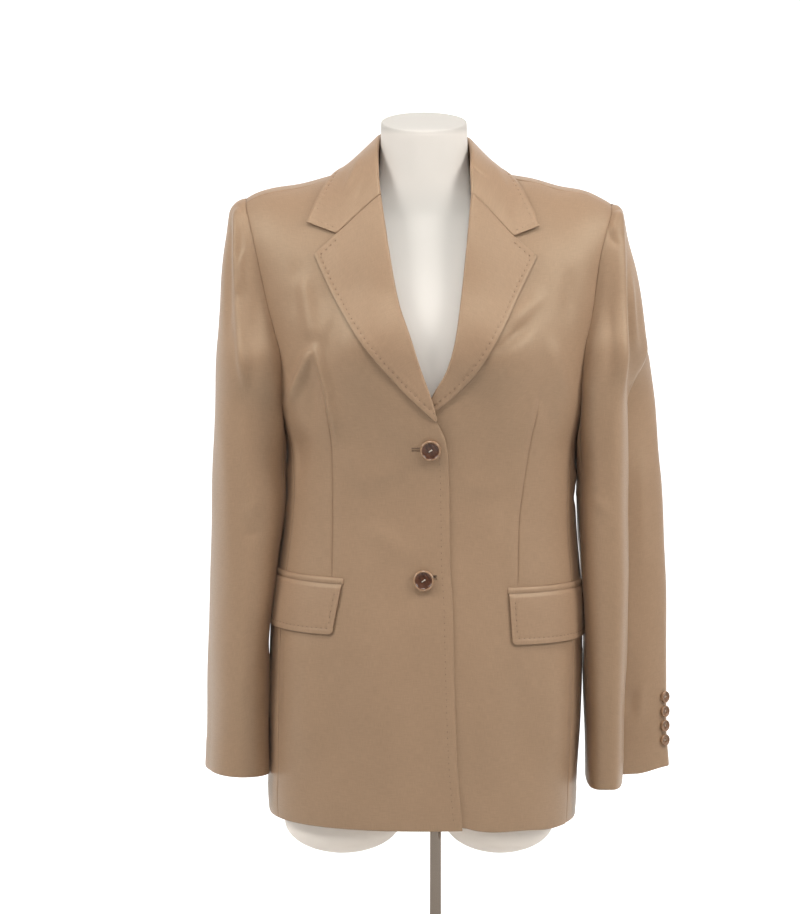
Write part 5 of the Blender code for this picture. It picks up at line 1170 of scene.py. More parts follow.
def sleeve_out(side, p):
    """The way out of the sleeve at every point of a piece, away from the middle of its section."""
    n = normals(p)
    z = p[..., 2]
    cx = np.interp(z, (0.30, 0.60, 0.75, 0.95), (0.215, 0.205, 0.200, 0.200)) * side
    mid = np.stack([cx, np.full_like(z, 0.010), z], -1)
    return n if float(((p - mid) * n).sum(-1).mean()) > 0 else -n


def sleeve_upper(side):
    word = "right" if side < 0 else "left"
    u = eased(120, 0.55)
    x_top = float(arm_x(side, 0.955, "front"))
    top_z = float(ridge(x_top))
    rows = []
    z_first = top_z - 0.0009
    w = float(along(x_top, z_first)) + (float(along(x_top, z_first, True)) - float(along(x_top, z_first))) * u
    first = cloth(np.full_like(w, x_top + side * (SLEEVE_ROOM + 0.0004)), w)
    first[:, 2] = cloth(np.full_like(w, x_top), w)[:, 2] - 0.0002
    rows.append(first)
    for s in np.linspace(0, 1, 84)[1:]:
        z = top_z - 0.0016 - (top_z - 0.0016 - Z_ARMPIT) * s ** 2.0
        rows.append(sleeve_ring(side, z, u))
    z_cuff = 0.3255 if side < 0 else 0.3110
    for k in rows_of(150, 0.40)[5:]:
        z = Z_ARMPIT + (z_cuff - Z_ARMPIT) * k
        ring = sleeve_ring(side, z, u)
        ring[:, 2] += ramp(0.40, z_cuff, z) * (cuff_z(side, side * ring[:, 0], ring[:, 1]) - z_cuff)
        rows.append(ring)
    p = iron(sleeve_clear(side, np.array(rows)), 3)
    n = sleeve_out(side, p)
    top, cuff, fr, bk = insets(p)
    z = p[..., 2]
    sewn = ramp(Z_ARMPIT - 0.004, Z_ARMPIT + 0.004, z)
    seam = np.minimum(fr, bk)
    facing_front = ramp(0.25, -0.15, n[..., 1])
    lift = folds("sleeve_" + word, p[..., 0], z) * facing_front + folds("sleeve_back_" + word, p[..., 0], z) * (1 - facing_front)
    lift *= ramp(0.0, 0.006, seam)
    lift += 0.0006 * wander(p, 21 + side, 0.100)
    # the sleeve head rounds up from the armhole seam
    lift += 0.0008 * (ramp(0.0, 0.010, seam) * sewn + (1 - sewn) * 0.0) * ramp(0.050, 0.012, seam)
    lift -= groove(seam, 0.00028, 0.0011) + groove(top, 0.0002, 0.0010) + groove(cuff, 0.0004, 0.0010)
    lift += 0.0004 * ramp(0.036, 0.028, cuff)
    p = p + n * lift[..., None]
    out = np.array([side, 0, 0])
    # painted shade along the armhole seam and both sleeve seams, kept in the crease attribute
    o = shell("sleeve_upper_%s_cloth" % word, p, 0.0013, n, crease=0.6 * painted_seam_shade(p, (1, 0, 1, 1)))
    whole(o, "sleeve_upper_" + word, p)
    return p


def sleeve_under(side):
    word = "right" if side < 0 else "left"
    u = eased(56, 0.55)
    z_cuff = 0.3255 if side < 0 else 0.3110
    rows = []
    for k in rows_of(150, 0.40):
        z = Z_ARMPIT - 0.0006 + (z_cuff - Z_ARMPIT + 0.0006) * k
        ring = sleeve_ring(side, z, u, under=True)
        ring[:, 2] += ramp(0.40, z_cuff, z) * (cuff_z(side, side * ring[:, 0], ring[:, 1]) - z_cuff)
        rows.append(ring)
    p = iron(sleeve_clear(side, np.array(rows)), 3)
    n = sleeve_out(side, p)
    top, cuff, fr, bk = insets(p)
    lift = 0.0005 * wander(p, 31 + side, 0.080)
    lift += folds("sleeve_under_" + word, p[..., 1], p[..., 2]) * ramp(0.0, 0.008, np.minimum(fr, bk))
    lift -= groove(np.minimum(fr, bk), 0.00055, 0.0013) + groove(top, 0.0005, 0.0011) + groove(cuff, 0.0004, 0.0010)
    p = p + n * lift[..., None]
    # painted shade along the armhole seam and both sleeve seams, kept in the crease attribute
    o = shell("sleeve_under_%s_cloth" % word, p, 0.0013, n, crease=painted_seam_shade(p, (1, 0, 1, 1)))
    whole(o, "sleeve_under_" + word, p)
    return p


# ------------------------------------------------------------- lapels and collar
def lapel(side):
    word = "right" if side < 0 else "left"
    roll = ROLL_RIGHT if side < 0 else ROLL_LEFT
    outer = LAPEL_RIGHT if side < 0 else LAPEL_LEFT
    notch = NOTCH_RIGHT if side < 0 else NOTCH_LEFT
    rows, columns = 170, 60
    k = rows_of(rows, 0.26)
    zr = np.linspace(roll[0][0] + 0.0030, roll[-1][0] - 0.0005, 300)
    line_a = np.stack([smooth(roll, EDGE_COLUMNS, "x", zr), zr], -1)
    zo = np.linspace(outer[0][0] + 0.0015, outer[-1][0], 300)
    line_b = np.stack([smooth(outer, LAPEL_COLUMNS, "x", zo), zo], -1)

    def at(line, q):
        s = np.concatenate([[0], np.cumsum(np.linalg.norm(np.diff(line, axis=0), axis=1))])
        return np.stack([np.interp(q * s[-1], s, line[:, i]) for i in (0, 1)], -1)

    a, b = at(line_a, k), at(line_b, k)
    corner = np.array(notch) - (0, 0.0005)
    u = np.concatenate([np.linspace(0, 0.955, columns - 8), 0.955 + 0.045 * np.array([0.2, 0.4, 0.58, 0.73, 0.85, 0.93, 0.98, 1.0])])
    gorge = np.where(u[:, None] < 0.66, a[-1] + (corner - a[-1]) * (u[:, None] / 0.66),
                     corner + (b[-1] - corner) * ((u[:, None] - 0.66) / 0.34))
    straight = a[-1] + (b[-1] - a[-1]) * u[:, None]
    grid, room = [], []
    for j in range(len(k)):
        line = a[j] + (b[j] - a[j]) * u[:, None] + (gorge - straight) * k[j] ** 1.6
        way = (line[-1] - line[0]) / np.linalg.norm(line[-1] - line[0])
        width = float(np.linalg.norm(line[-1] - line[0]))
        r = min(float(roll_radius(side, line[0, 1])), width * 0.30)
        deep = float(tuck(side, line[0, 1])) - r
        # under layer, roll, then the top surface
        s_low = np.linspace(r + max(deep, 0.0004), r, 5)[:-1]
        h_low = np.zeros(4)
        phi = np.radians(np.linspace(-90, 90, 15))
        s_roll, h_roll = r - r * np.cos(phi), r + r * np.sin(phi)
        s = np.linalg.norm(line - line[0], axis=1)
        keep = r + (width - r) * s / width
        height = 2 * r + (LAY - 2 * r) * ramp(0.0, min(0.055, width), keep - r)
        crown = 0.0011 * np.sin(math.pi * np.clip(s / width, 0, 1)) * ramp(0.735, 0.800, line[0, 1])
        crown = crown + 0.0009 * ramp(0.016, 0.0, width - s) * ramp(0.722, 0.760, line[0, 1])
        pts_s = np.concatenate([s_low, s_roll, keep[1:]])
        h = np.concatenate([h_low, h_roll, (height + crown)[1:]])
        pos = np.empty((len(pts_s), 2))
        pos[:, 0] = np.interp(pts_s, s, line[:, 0])
        pos[:, 1] = np.interp(pts_s, s, line[:, 1])
        grid.append(pos)
        room.append(h)
    grid, room = np.array(grid), np.array(room)
    p = on_front(side, grid[..., 0], grid[..., 1], room - 0.0002)
    bend = folds("lapel_" + word, p[..., 0], p[..., 2])
    n = facing(p[:, 19:], np.array([0, -1, 0.1]))
    full = normals(p)
    full = full if float((full[:, 19:] * n).sum()) > 0 else -full
    low, top, inside, edge = insets(p)
    on_top = ramp(14, 22, np.arange(p.shape[1]))[None]
    bend = bend * on_top - groove(top, 0.0007, 0.0014) * ramp(0.40, 0.36, (edge / (edge + inside))) * 0
    gorge_part = ramp(0.335, 0.350, edge / np.maximum(edge[:, 18:19], 1e-6))
    bend -= on_top * gorge_part * groove(top, 0.00035, 0.0011)
    bend += on_top * 0.00025 * wander(p, 41 + side, 0.060)
    spots = stitch_line(p, edge, top, side)
    for q in spots:
        d = np.linalg.norm(p - q[0], axis=-1)
        bend -= on_top * 0.00075 * np.exp(-(d / 0.0018) ** 2)
    q = 0.00030 * np.exp(-((edge - 0.0035) / 0.0022) ** 2)
    bend += on_top * q
    p = p + full * bend[..., None]
    # painted shade along the gorge seam, and a painted shadow under the lapel's outer edge through rim_shade, kept in
    # the crease attribute
    crease = 0.55 * painted_seam_shade(p, (0, 1, 0, 0), 0.0011) * gorge_part * on_top
    o = shell("lapel_%s_cloth" % word, p, 0.0014, full, slot="wool_trim", crease=crease,
              rim_shade=1.9 * (1 - gorge_part * np.exp(-(top / 0.005) ** 4)) * on_top)
    whole(o, "lapel_" + word, p)
    threads("lapel_%s_stitches" % word, [(s_[0] + s_[2] * 0.0007, s_[1], s_[2]) for s_ in spots])
    return p


def line_spots(points, normals_, step, start):
    """Stitch places along a line: middle, way along it and the way out."""
    s = np.concatenate([[0], np.cumsum(np.linalg.norm(np.diff(points, axis=0), axis=1))])
    q = np.arange(start, s[-1] - start * 0.5, step)
    at = np.stack([np.interp(q, s, points[:, i]) for i in range(3)], -1)
    ahead = np.stack([np.interp(q + 0.0008, s, points[:, i]) for i in range(3)], -1)
    n = np.stack([np.interp(q, s, normals_[:, i]) for i in range(3)], -1)
    n /= np.linalg.norm(n, axis=-1, keepdims=True)
    t = ahead - at
    t /= np.maximum(np.linalg.norm(t, axis=-1, keepdims=True), 1e-9)
    return list(zip(at, t, n))


def contour(p, field, level, n):
    """The points of a grid's rows where a field that falls along the row passes a level."""
    pts, ns = [], []
    for j in range(p.shape[0]):
        f = field[j]
        k = np.where((f[:-1] >= level) & (f[1:] < level))[0]
        if len(k):
            i = k[-1]
            t = (f[i] - level) / max(f[i] - f[i + 1], 1e-9)
            pts.append(p[j, i] + (p[j, i + 1] - p[j, i]) * t)
            ns.append(n[j, i])
    return np.array(pts), np.array(ns)


PICK = 0.0068            # pick stitches: their spacing


def stitch_line(p, edge, top, side):
    """Stitches down the lapel's outer edge and along its top from the notch to the tip."""
    n = normals(p)
    if float((n[:, 25:] * np.array([0, -1, 0.1])).sum(-1).mean()) < 0:
        n = -n
    use = top[:, -1] > 0.0052
    pts, ns = contour(p[use], edge[use], 0.0055, n[use])
    spots = line_spots(pts, ns, PICK, 0.006)
    cols = np.where((edge[-1] > 0.004) & (np.arange(p.shape[1]) > 20) & (edge[-1] < 0.34 * edge[-1, 18]))[0]
    pts, ns = [], []
    for i in cols:
        f = top[:, i]
        k = np.where((f[:-1] >= 0.0055) & (f[1:] < 0.0055))[0]
        if len(k):
            pts.append(p[k[-1], i])
            ns.append(n[k[-1], i])
    if len(pts) > 3:
        spots += line_spots(np.array(pts), np.array(ns), PICK, 0.003)
    return spots


def threads(name, spots, length=0.0020, radius=0.00032):
    """Short sewn threads lying in the cloth, as one piece."""
    verts, faces = [], []
    for at, t, n in spots:
        b = np.cross(t, n)
        base = len(verts)
        for s, drop, r in ((-0.5, -0.00035, 0.35), (-0.38, -0.00008, 0.9), (0.0, 0.00006, 1.0), (0.38, -0.00008, 0.9), (0.5, -0.00035, 0.35)):
            for k in range(6):
                a = 2 * math.pi * k / 6
                verts.append(at + t * s * length + n * drop + (b * math.cos(a) + n * math.sin(a)) * radius * r)
        for m in range(4):
            for k in range(6):
                i, j = base + m * 6 + k, base + m * 6 + (k + 1) % 6
                faces.append((i, j, j + 6, i + 6))
        faces.append(tuple(base + k for k in range(6))[::-1])
        faces.append(tuple(base + 24 + k for k in range(6)))
    if not verts:
        return None
    me = bpy.data.meshes.new(name)
    me.from_pydata([tuple(v) for v in verts], [], faces)
    me.validate()
    me.shade_smooth()
    o = bpy.data.objects.new(name, me)
    bpy.context.scene.collection.objects.link(o)
    me.materials.append(MATERIALS["thread"])
    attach(o, "root")
    return o


def collar_fall():
    stations, columns = 300, 44
    t = eased(stations, 0.35)
    fold = np.stack([collar_point(t, c) for c in ("fold_x", "fold_y", "fold_z")], -1)
    edge = cloth_out(collar_point(t, "edge_x"), collar_point(t, "edge_w"), np.full_like(t, LAY + 0.0002))
    r = np.concatenate([np.linspace(0, 0.93, columns - 7), 0.93 + 0.07 * np.array([0.2, 0.4, 0.58, 0.73, 0.85, 0.94, 1.0])])
    grid = fold[:, None] + (edge - fold)[:, None] * r[None, :, None]
    lift = np.sin(np.pi * r) * 0.0025
    mid = np.array([NECK_X, 0.0, 0.97])
    n = normals(grid)
    n = np.where(((grid - mid) * n).sum(-1, keepdims=True) < 0, -n, n)
    grid = grid + n * lift[None, :, None]
    reach = 8 * stations // 28
    for end, notch, point in ((0, NOTCH_RIGHT, POINT_RIGHT), (-1, NOTCH_LEFT, POINT_LEFT)):
        side = -1 if end == 0 else 1
        start = grid[end, 0, [0, 2]]
        corner = np.array(notch) + (0, 0.0005)
        cut = 0.62
        line = np.where(r[:, None] < cut, start + (corner - start) * (r[:, None] / cut),
                        corner + (np.array(point) - corner) * ((r[:, None] - cut) / (1 - cut)))
        delta = on_front(side, line[:, 0], line[:, 1], np.full(len(r), LAY + 0.0002)) - grid[end]
        # the part past the notch stands a little off the cloth
        for j in range(0, reach):
            grid[j if end == 0 else -1 - j] += delta * (1 - ramp(0, reach, j))
    out = keep_off(grid, LAY + 0.0001)
    hold = np.maximum(ramp(0.0, 0.25, r)[None, :], ramp(0.12, 0.04, np.minimum(t, 1 - t))[:, None])[..., None]
    grid = grid * (1 - hold) + out * hold
    grid = iron(grid, 4)
    n = normals(grid)
    n = n if float(((grid - mid) * n).sum(-1).mean()) > 0 else -n
    # the fold rolls over and down inside the neck
    first = grid[:, 0]
    t_in = fold - mid
    down = np.zeros_like(first)
    down[:, 2] = -1.0
    away = n[:, 0]
    radius = 0.0016 + 0.0006 * ramp(0.03, 0.15, np.minimum(t, 1 - t))
    along_leaf = grid[:, 1] - grid[:, 0]
    along_leaf /= np.linalg.norm(along_leaf, axis=-1, keepdims=True)
    add = []
    for q in np.linspace(0.0085, 0.0, 5)[:-1]:
        add.append(first - away * (2 * radius[:, None]) + along_leaf * (radius[:, None] + q))
    for a in np.radians(np.linspace(-90, 90, 13))[:-1]:
        add.append(first - away * (radius * (1 - math.sin(a)))[:, None] + along_leaf * (radius * (1 - math.cos(a)))[:, None])
    first_s = grid.copy()
    # the leaf's own points start where the roll ends
    first_s[:, :6] = grid[:, :6] + along_leaf[:, None] * (radius[:, None] * (1 - ramp(0, 6, np.arange(6)))[None])[..., None]
    p = np.concatenate([np.stack(add, 1), first_s], 1)
    full = normals(p)
    outn = full[:, 16:]
    full = full if float(((grid - mid) * outn).sum(-1).mean()) > 0 else -full
    right_end, left_end, inside, edge_d = insets(p)
    on_top = ramp(12, 18, np.arange(p.shape[1]))[None]
    frac = np.clip((np.arange(p.shape[1]) - 16) / float(columns), 0, 1)
    rr = np.concatenate([np.zeros(16), r])[None]
    gorge_part = ramp(0.635, 0.615, rr)
    ends = np.minimum(right_end, left_end)
    bend = on_top * (folds("collar", p[..., 0], p[..., 2]) * ramp(0.3, -0.1, full[..., 1]))
    bend -= on_top * gorge_part * groove(ends, 0.00035, 0.0011)
    bend += on_top * 0.00025 * wander(p, 51, 0.060)
    bend += on_top * (1 - gorge_part) * 0.0012 * ramp(0.020, 0.0, ends) * ramp(0.63, 0.80, rr)
    bend += on_top * 0.0008 * ramp(0.014, 0.0, edge_d)
    pts, ns = contour(p, edge_d, 0.0055, full)
    spots = line_spots(pts, ns, PICK, 0.006)
    for end in (0, 1):
        d_end = right_end if end == 0 else left_end
        cols = np.where((rr[0] > 0.645) & (edge_d[0 if end == 0 else -1] > 0.0040))[0]
        q, qn = [], []
        for i in cols:
            f = d_end[:, i]
            k = int(np.abs(f - 0.0055).argmin())
            q.append(p[k, i])
            qn.append(full[k, i])
        spots += line_spots(np.array(q), np.array(qn), PICK, 0.003)
    for s_ in spots:
        d = np.linalg.norm(p - s_[0], axis=-1)
        bend -= on_top * 0.00075 * np.exp(-(d / 0.0018) ** 2)
    bend += on_top * 0.00030 * np.exp(-((edge_d - 0.0035) / 0.0022) ** 2)
    p = p + full * bend[..., None]
    # painted shade at the gorge ends, and a painted shadow under the collar's edges through rim_shade, kept in the
    # crease attribute
    crease = np.maximum(np.exp(-(right_end / 0.0012) ** 2), np.exp(-(left_end / 0.0012) ** 2)) * gorge_part * on_top * 0.55
    o = shell("collar_fall_cloth", p, 0.0014, full, slot="wool_trim", crease=crease,
              rim_shade=1.9 * (1 - gorge_part * np.exp(-(ends / 0.005) ** 4)) * on_top)
    whole(o, "collar_fall", p)
    threads("collar_stitches", [(s_[0] + s_[2] * 0.0007, s_[1], s_[2]) for s_ in spots])
    return p


def collar_stand():
    t = np.linspace(0.06, 0.94, 240)
    fold = np.stack([collar_point(t, c) for c in ("fold_x", "fold_y", "fold_z")], -1)
    foot = cloth(smooth(NECK, NECK_COLUMNS, "x", t), smooth(NECK, NECK_COLUMNS, "w", t))
    up = fold - foot
    way = up / np.linalg.norm(up, axis=-1, keepdims=True)
    inward = np.stack([NECK_X - foot[:, 0], 0.0 - foot[:, 1], np.zeros(len(t))], -1)
    inward /= np.linalg.norm(inward, axis=-1, keepdims=True)
    a = foot - way * 0.0005 + inward * 0.0002
    b = fold - way * 0.0060 + inward * 0.0014
    r = np.linspace(0, 1, 16)
    p = a[:, None] + (b - a)[:, None] * r[None, :, None]
    p = iron(p, 3)
    n = normals(p)
    mid = np.stack([np.full(p.shape[:2], NECK_X), np.zeros(p.shape[:2]), p[..., 2]], -1)
    n = n if float(((p - mid) * n).sum(-1).mean()) > 0 else -n
    # painted shade along the neck seam, kept in the crease attribute
    o = shell("collar_stand_cloth", p, 0.0013, n, crease=painted_seam_shade(p, (0, 0, 1, 0)))
    whole(o, "collar_stand", p)
    return p


# ------------------------------------------------------------- pockets
def strip(side, angle, z):
    """Points round the body and their normals, before any lift."""
    p = girth(angle * side, z)
    e = 0.05
    du = girth((angle + e) * side, z) - girth((angle - e) * side, z)
    dz = girth(angle * side, z + 1e-4) - girth(angle * side, z - 1e-4)
    n = np.cross(du, dz)
    n /= np.linalg.norm(n, axis=-1, keepdims=True)
    mid = np.stack([body("cx", z), body("mid", z), z], -1)
    return p, np.where(((p - mid) * n).sum(-1, keepdims=True) < 0, -n, n)


def pocket(side, xi, zi, ao, zo, drop, welt):
    word = "right" if side < 0 else "left"
    a_in = angle_at(side, xi, zi)
    under = float(overlap(side, xi, zi))
    na, nr = 90, 44
    u, v = eased(na, 0.85), eased(nr, 0.85)
    U, V = np.meshgrid(u, v)
    # the lower corners are a little rounded
    cut = 0.0045
    width = math.radians(ao - a_in) * 0.13
    du = np.minimum(U, 1 - U) * width
    low = (1 - V) * drop
    angle = a_in + (ao - a_in) * U
    top = zi + (zo - zi) * U
    slant = 0.0052 * (1 - U) * V if side < 0 else 0.0030 * (1 - U) * V
    z = top - drop * V * (1.0 + 0.02 * np.sin(3.1 * U))
    near = np.clip(1 - du / cut, 0, 1)
    z = z + V ** 6 * (cut - np.sqrt(np.maximum(cut ** 2 - (near * cut) ** 2, 0))) * 0.9
    angle = angle + math.degrees(1 / 0.125) * slant * 1.0
    p, n = strip(side, angle, z)
    crown = 0.0009 * np.sin(math.pi * np.clip(V, 0, 1)) * np.sin(math.pi * U) + 0.0012 * V ** 3 * np.sin(math.pi * U * 1.0) ** 0.5
    tuck_in = 0.0016 * ramp(0.10, 0.0, V)
    p = p + n * (LAY - 0.0002 + under + crown - tuck_in)[..., None]
    p = p + n * (folds("flap_" + word, p[..., 0], p[..., 2]))[..., None]
    full = normals(p)
    full = full if float((full * n).sum()) > 0 else -full
    a0, b0, c0, d0 = insets(p)
    lift = 0.00025 * wander(p, 61 + side, 0.045)
    edge_d = np.minimum(np.minimum(c0, d0), b0)
    pts, ns = [], []
    for j in range(p.shape[1]):
        f = b0[:, j]
        if c0[0, j] > 0.005 and d0[0, j] > 0.005:
            k = np.where((f[:-1] >= 0.0060) & (f[1:] < 0.0060))[0]
            if len(k):
                pts.append(p[k[-1], j])
                ns.append(full[k[-1], j])
    spots = line_spots(np.array(pts), np.array(ns), PICK * 0.9, 0.002)
    for col_d in (c0, d0):
        q, qn = [], []
        for i in range(p.shape[0]):
            if 0.007 < b0[i, 45] < drop - 0.006:
                k = int(np.abs(col_d[i] - 0.0055).argmin())
                q.append(p[i, k])
                qn.append(full[i, k])
        spots += line_spots(np.array(q), np.array(qn), PICK * 0.9, 0.003)
    for s_ in spots:
        d = np.linalg.norm(p - s_[0], axis=-1)
        lift -= 0.00060 * np.exp(-(d / 0.0017) ** 2)
    lift += 0.00030 * np.exp(-((edge_d - 0.0035) / 0.0022) ** 2)
    p = p + full * lift[..., None]
    # painted shade where the flap's top goes under the welt, and a painted shadow under its edges through rim_shade,
    # kept in the crease attribute
    o = shell("pocket_flap_%s_cloth" % word, p, 0.0016, full, slot="wool_trim", crease=1.4 * np.exp(-(a0 / 0.0013) ** 2), rim_shade=1.9)
    whole(o, "pocket_flap_" + word, p)
    threads("flap_%s_stitches" % word, [(s_[0] + s_[2] * 0.0008, s_[1], s_[2]) for s_ in spots])
    # the welt: a narrow rounded fold above the flap
    u = eased(90, 0.6)
    v = np.linspace(0, 1, 13)
    U, V = np.meshgrid(u, v)
    angle = (a_in - 0.55) + (ao - a_in + 0.55) * U
    z = zi + welt + (zo - zi) * U - (welt + 0.0008) * V
    p, n = strip(side, angle, z)
    h = under + 0.0003 + 0.0018 * np.sin(math.pi * np.clip(V, 0.0, 1.0)) ** 0.6
    h = h * ramp(0.0, 0.012, np.minimum(U, 1 - U)) ** 0.3
    p = p + n * h[..., None]
    full = normals(p)
    full = full if float((full * n).sum()) > 0 else -full
    # painted shade round all the welt's edges, kept in the crease attribute
    c = 1.7 * painted_seam_shade(p, (1, 1, 1, 1), 0.0009)
    o = shell("pocket_welt_%s_cloth" % word, p, 0.0010, full, slot="wool_trim", crease=c)
    whole(o, "pocket_welt_" + word, p)


# ------------------------------------------------------------- buttons
def spun(name, profile, steps, material_of, mats):
    """A turned mesh about Z from a closed profile of (r, z); material_of gives a slot number by segment."""
    verts, faces, mat = [], [], []
    rings = []
    for r, z in profile:
        if r < 1e-7:
            rings.append([len(verts)])
            verts.append((0, 0, z))
        else:
            rings.append(list(range(len(verts), len(verts) + steps)))
            verts += [(r * math.cos(2 * math.pi * k / steps), r * math.sin(2 * math.pi * k / steps), z) for k in range(steps)]
    for m in range(len(rings) - 1):
        a, b = rings[m], rings[m + 1]
        for k in range(steps):
            q = (k + 1) % steps
            if len(a) == 1:
                faces.append((a[0], b[k], b[q]))
            elif len(b) == 1:
                faces.append((a[k], b[0], a[q]))
            else:
                faces.append((a[k], b[k], b[q], a[q]))
            mat.append(material_of(m))
    me = bpy.data.meshes.new(name)
    me.from_pydata(verts, [], faces)
    me.polygons.foreach_set("material_index", mat)
    me.validate()
    me.shade_smooth()
    for m in mats:
        me.materials.append(MATERIALS[m])
    o = bpy.data.objects.new(name, me)
    bpy.context.scene.collection.objects.link(o)
    return o


def tube(points, radius, sides=8, taper=None):
    """Vertices and faces of a closed round strand along points."""
    points = np.asarray(points, float)
    t = np.gradient(points, axis=0)
    t /= np.linalg.norm(t, axis=1, keepdims=True)
    up = np.array([0.0, 0.0, 1.0])
    if abs(t[:, 2]).mean() > 0.9:
        up = np.array([1.0, 0.0, 0.0])
    verts, faces = [], []
    for k, (p, d) in enumerate(zip(points, t)):
        a = np.cross(d, up)
        a /= np.linalg.norm(a)
        b = np.cross(d, a)
        r = radius * (1 if taper is None else taper[k])
        for m in range(sides):
            w = 2 * math.pi * m / sides
            verts.append(p + (a * math.cos(w) + b * math.sin(w)) * r)
    for k in range(len(points) - 1):
        for m in range(sides):
            i, j = k * sides + m, k * sides + (m + 1) % sides
            faces.append((i, i + sides, j + sides, j))
    faces.append(tuple(range(sides)))
    faces.append(tuple((len(points) - 1) * sides + m for m in range(sides))[::-1])
    return verts, faces


def button(name, node, d, t, point, normal, turn, steps):
    """A two-tone button with a rounded rim, a dished middle, two holes and its thread."""
    r = d / 2
    profile = [(0.0, t * 0.54), (r * 0.32, t * 0.54), (r * 0.56, t * 0.57), (r * 0.68, t * 0.63), (r * 0.745, t * 0.72),
               (r * 0.785, t * 0.82), (r * 0.805, t * 0.92), (r * 0.83, t * 0.98), (r * 0.86, t * 1.00), (r * 0.90, t * 0.985),
               (r * 0.94, t * 0.94), (r * 0.972, t * 0.86), (r * 0.99, t * 0.74), (r, t * 0.60), (r * 0.995, t * 0.44),
               (r * 0.97, t * 0.28), (r * 0.92, t * 0.14), (r * 0.84, t * 0.05), (r * 0.74, 0.0), (0.0, 0.0)]
    o = spun(name, profile, steps, lambda m: 0 if m < 6 else 1, ("horn_dark" if d > 0.02 else "horn_mid", "horn_rim"))
    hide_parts(node)
    q = Vector(normal).to_track_quat("Z", "Y")
    m = Matrix.Translation(Vector(point)) @ q.to_matrix().to_4x4() @ Matrix.Rotation(turn, 4, "Z")
    o.matrix_world = m
    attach(o, "root")
    # painted shade for the holes: dark discs on the dish, and the thread between them
    gap = r * 0.17
    verts, faces = [], []
    for s in (-1, 1):
        base = len(verts)
        c = np.array([s * gap, 0.0, t * 0.555])
        for k in range(12):
            a = 2 * math.pi * k / 12
            verts.append(c + np.array([math.cos(a), math.sin(a), 0]) * r * 0.085)
        verts.append(c + (0, 0, 0.00002))
        for k in range(12):
            faces.append((base + k, base + (k + 1) % 12, base + 12))
    me = bpy.data.meshes.new(name + "_hole_shade")
    me.from_pydata([tuple(v) for v in verts], [], faces)
    me.materials.append(MATERIALS["painted_hole_shade"])
    h = bpy.data.objects.new(name + "_hole_shade", me)
    bpy.context.scene.collection.objects.link(h)
    h.matrix_world = m
    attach(h, "root")
    verts, faces = [], []
    for y in (-0.35, 0.35, 0.0):
        s = np.linspace(-1, 1, 13)
        lift = 0.0 if y else 0.00028
        pts = np.stack([s * gap * 1.06, np.full(13, y * r * 0.075) * (1 + 0.3 * s), t * 0.56 + (1 - s ** 4) * 0.00055 + lift * (1 - s ** 2)], -1)
        v, f = tube(pts, 0.00030 if d > 0.02 else 0.00022)
        faces += [tuple(i + len(verts) for i in q_) for q_ in f]
        verts += v
    me = bpy.data.meshes.new(name + "_thread")
    me.from_pydata([tuple(v) for v in verts], [], faces)
    me.shade_smooth()
    me.materials.append(MATERIALS["pale_thread"])
    h = bpy.data.objects.new(name + "_thread", me)
    bpy.context.scene.collection.objects.link(h)
    h.matrix_world = m
    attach(h, "root")
    return o


def buttonhole(name, x0, x1, z):
    """The worked slit under a front button: a dark strip of painted shade for the cut, with close stitches round it."""
    pts = np.linspace(x0, x1, 34)
    verts, faces = [], []
    for row in (-1, 1):
        for i, x in enumerate(pts):
            zz = z + row * 0.00105
            c = on_front(-1, np.array([x, x + 1e-4, x]), np.array([zz, zz, zz + row * 0.0012]), np.array([0.00085, 0.00085, 0.00080]))
            line = c[0] + (c[2] - c[0]) * np.linspace(-0.35, 1.0, 4)[:, None]
            bow = np.array([0, 0.00022, 0.00020, -0.0001])
            n = np.cross(c[1] - c[0], c[2] - c[0])
            n /= np.linalg.norm(n)
            if n[1] > 0:
                n = -n
            v, f = tube(line + n * bow[:, None], 0.00030, 6)
            faces += [tuple(k + len(verts) for k in q) for q in f]
            verts += v
    me = bpy.data.meshes.new(name)
    me.from_pydata([tuple(v) for v in verts], [], faces)
    me.shade_smooth()
    me.materials.append(MATERIALS["thread"])
    o = bpy.data.objects.new(name, me)
    bpy.context.scene.collection.objects.link(o)
    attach(o, "root")
    # the slit itself is a flat strip of painted shade
    verts, faces = [], []
    xs = np.linspace(x0, x1, 12)
    for i, x in enumerate(xs):
        h = 0.00038 * (1 if 0 < i < 11 else 0.4)
        c = on_front(-1, np.array([x, x]), np.array([z - h, z + h]), np.array([0.00083, 0.00083]))
        verts += [c[0], c[1]]
    for i in range(11):
        faces.append((2 * i, 2 * i + 1, 2 * i + 3, 2 * i + 2))
    me = bpy.data.meshes.new(name + "_slit_shade")
    me.from_pydata([tuple(v) for v in verts], [], faces)
    me.materials.append(MATERIALS["painted_hole_shade"])
    o = bpy.data.objects.new(name + "_slit_shade", me)
    bpy.context.scene.collection.objects.link(o)
    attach(o, "root")


# ------------------------------------------------------------- dress form and stand
def plain_mesh(name, verts, faces, mat, smooth_=True):
    me = bpy.data.meshes.new(name)
    me.from_pydata([tuple(v) for v in verts], [], faces)
    me.validate()
    if smooth_:
        me.shade_smooth()
    me.materials.append(MATERIALS[mat])
    o = bpy.data.objects.new(name, me)
    bpy.context.scene.collection.objects.link(o)
    return o


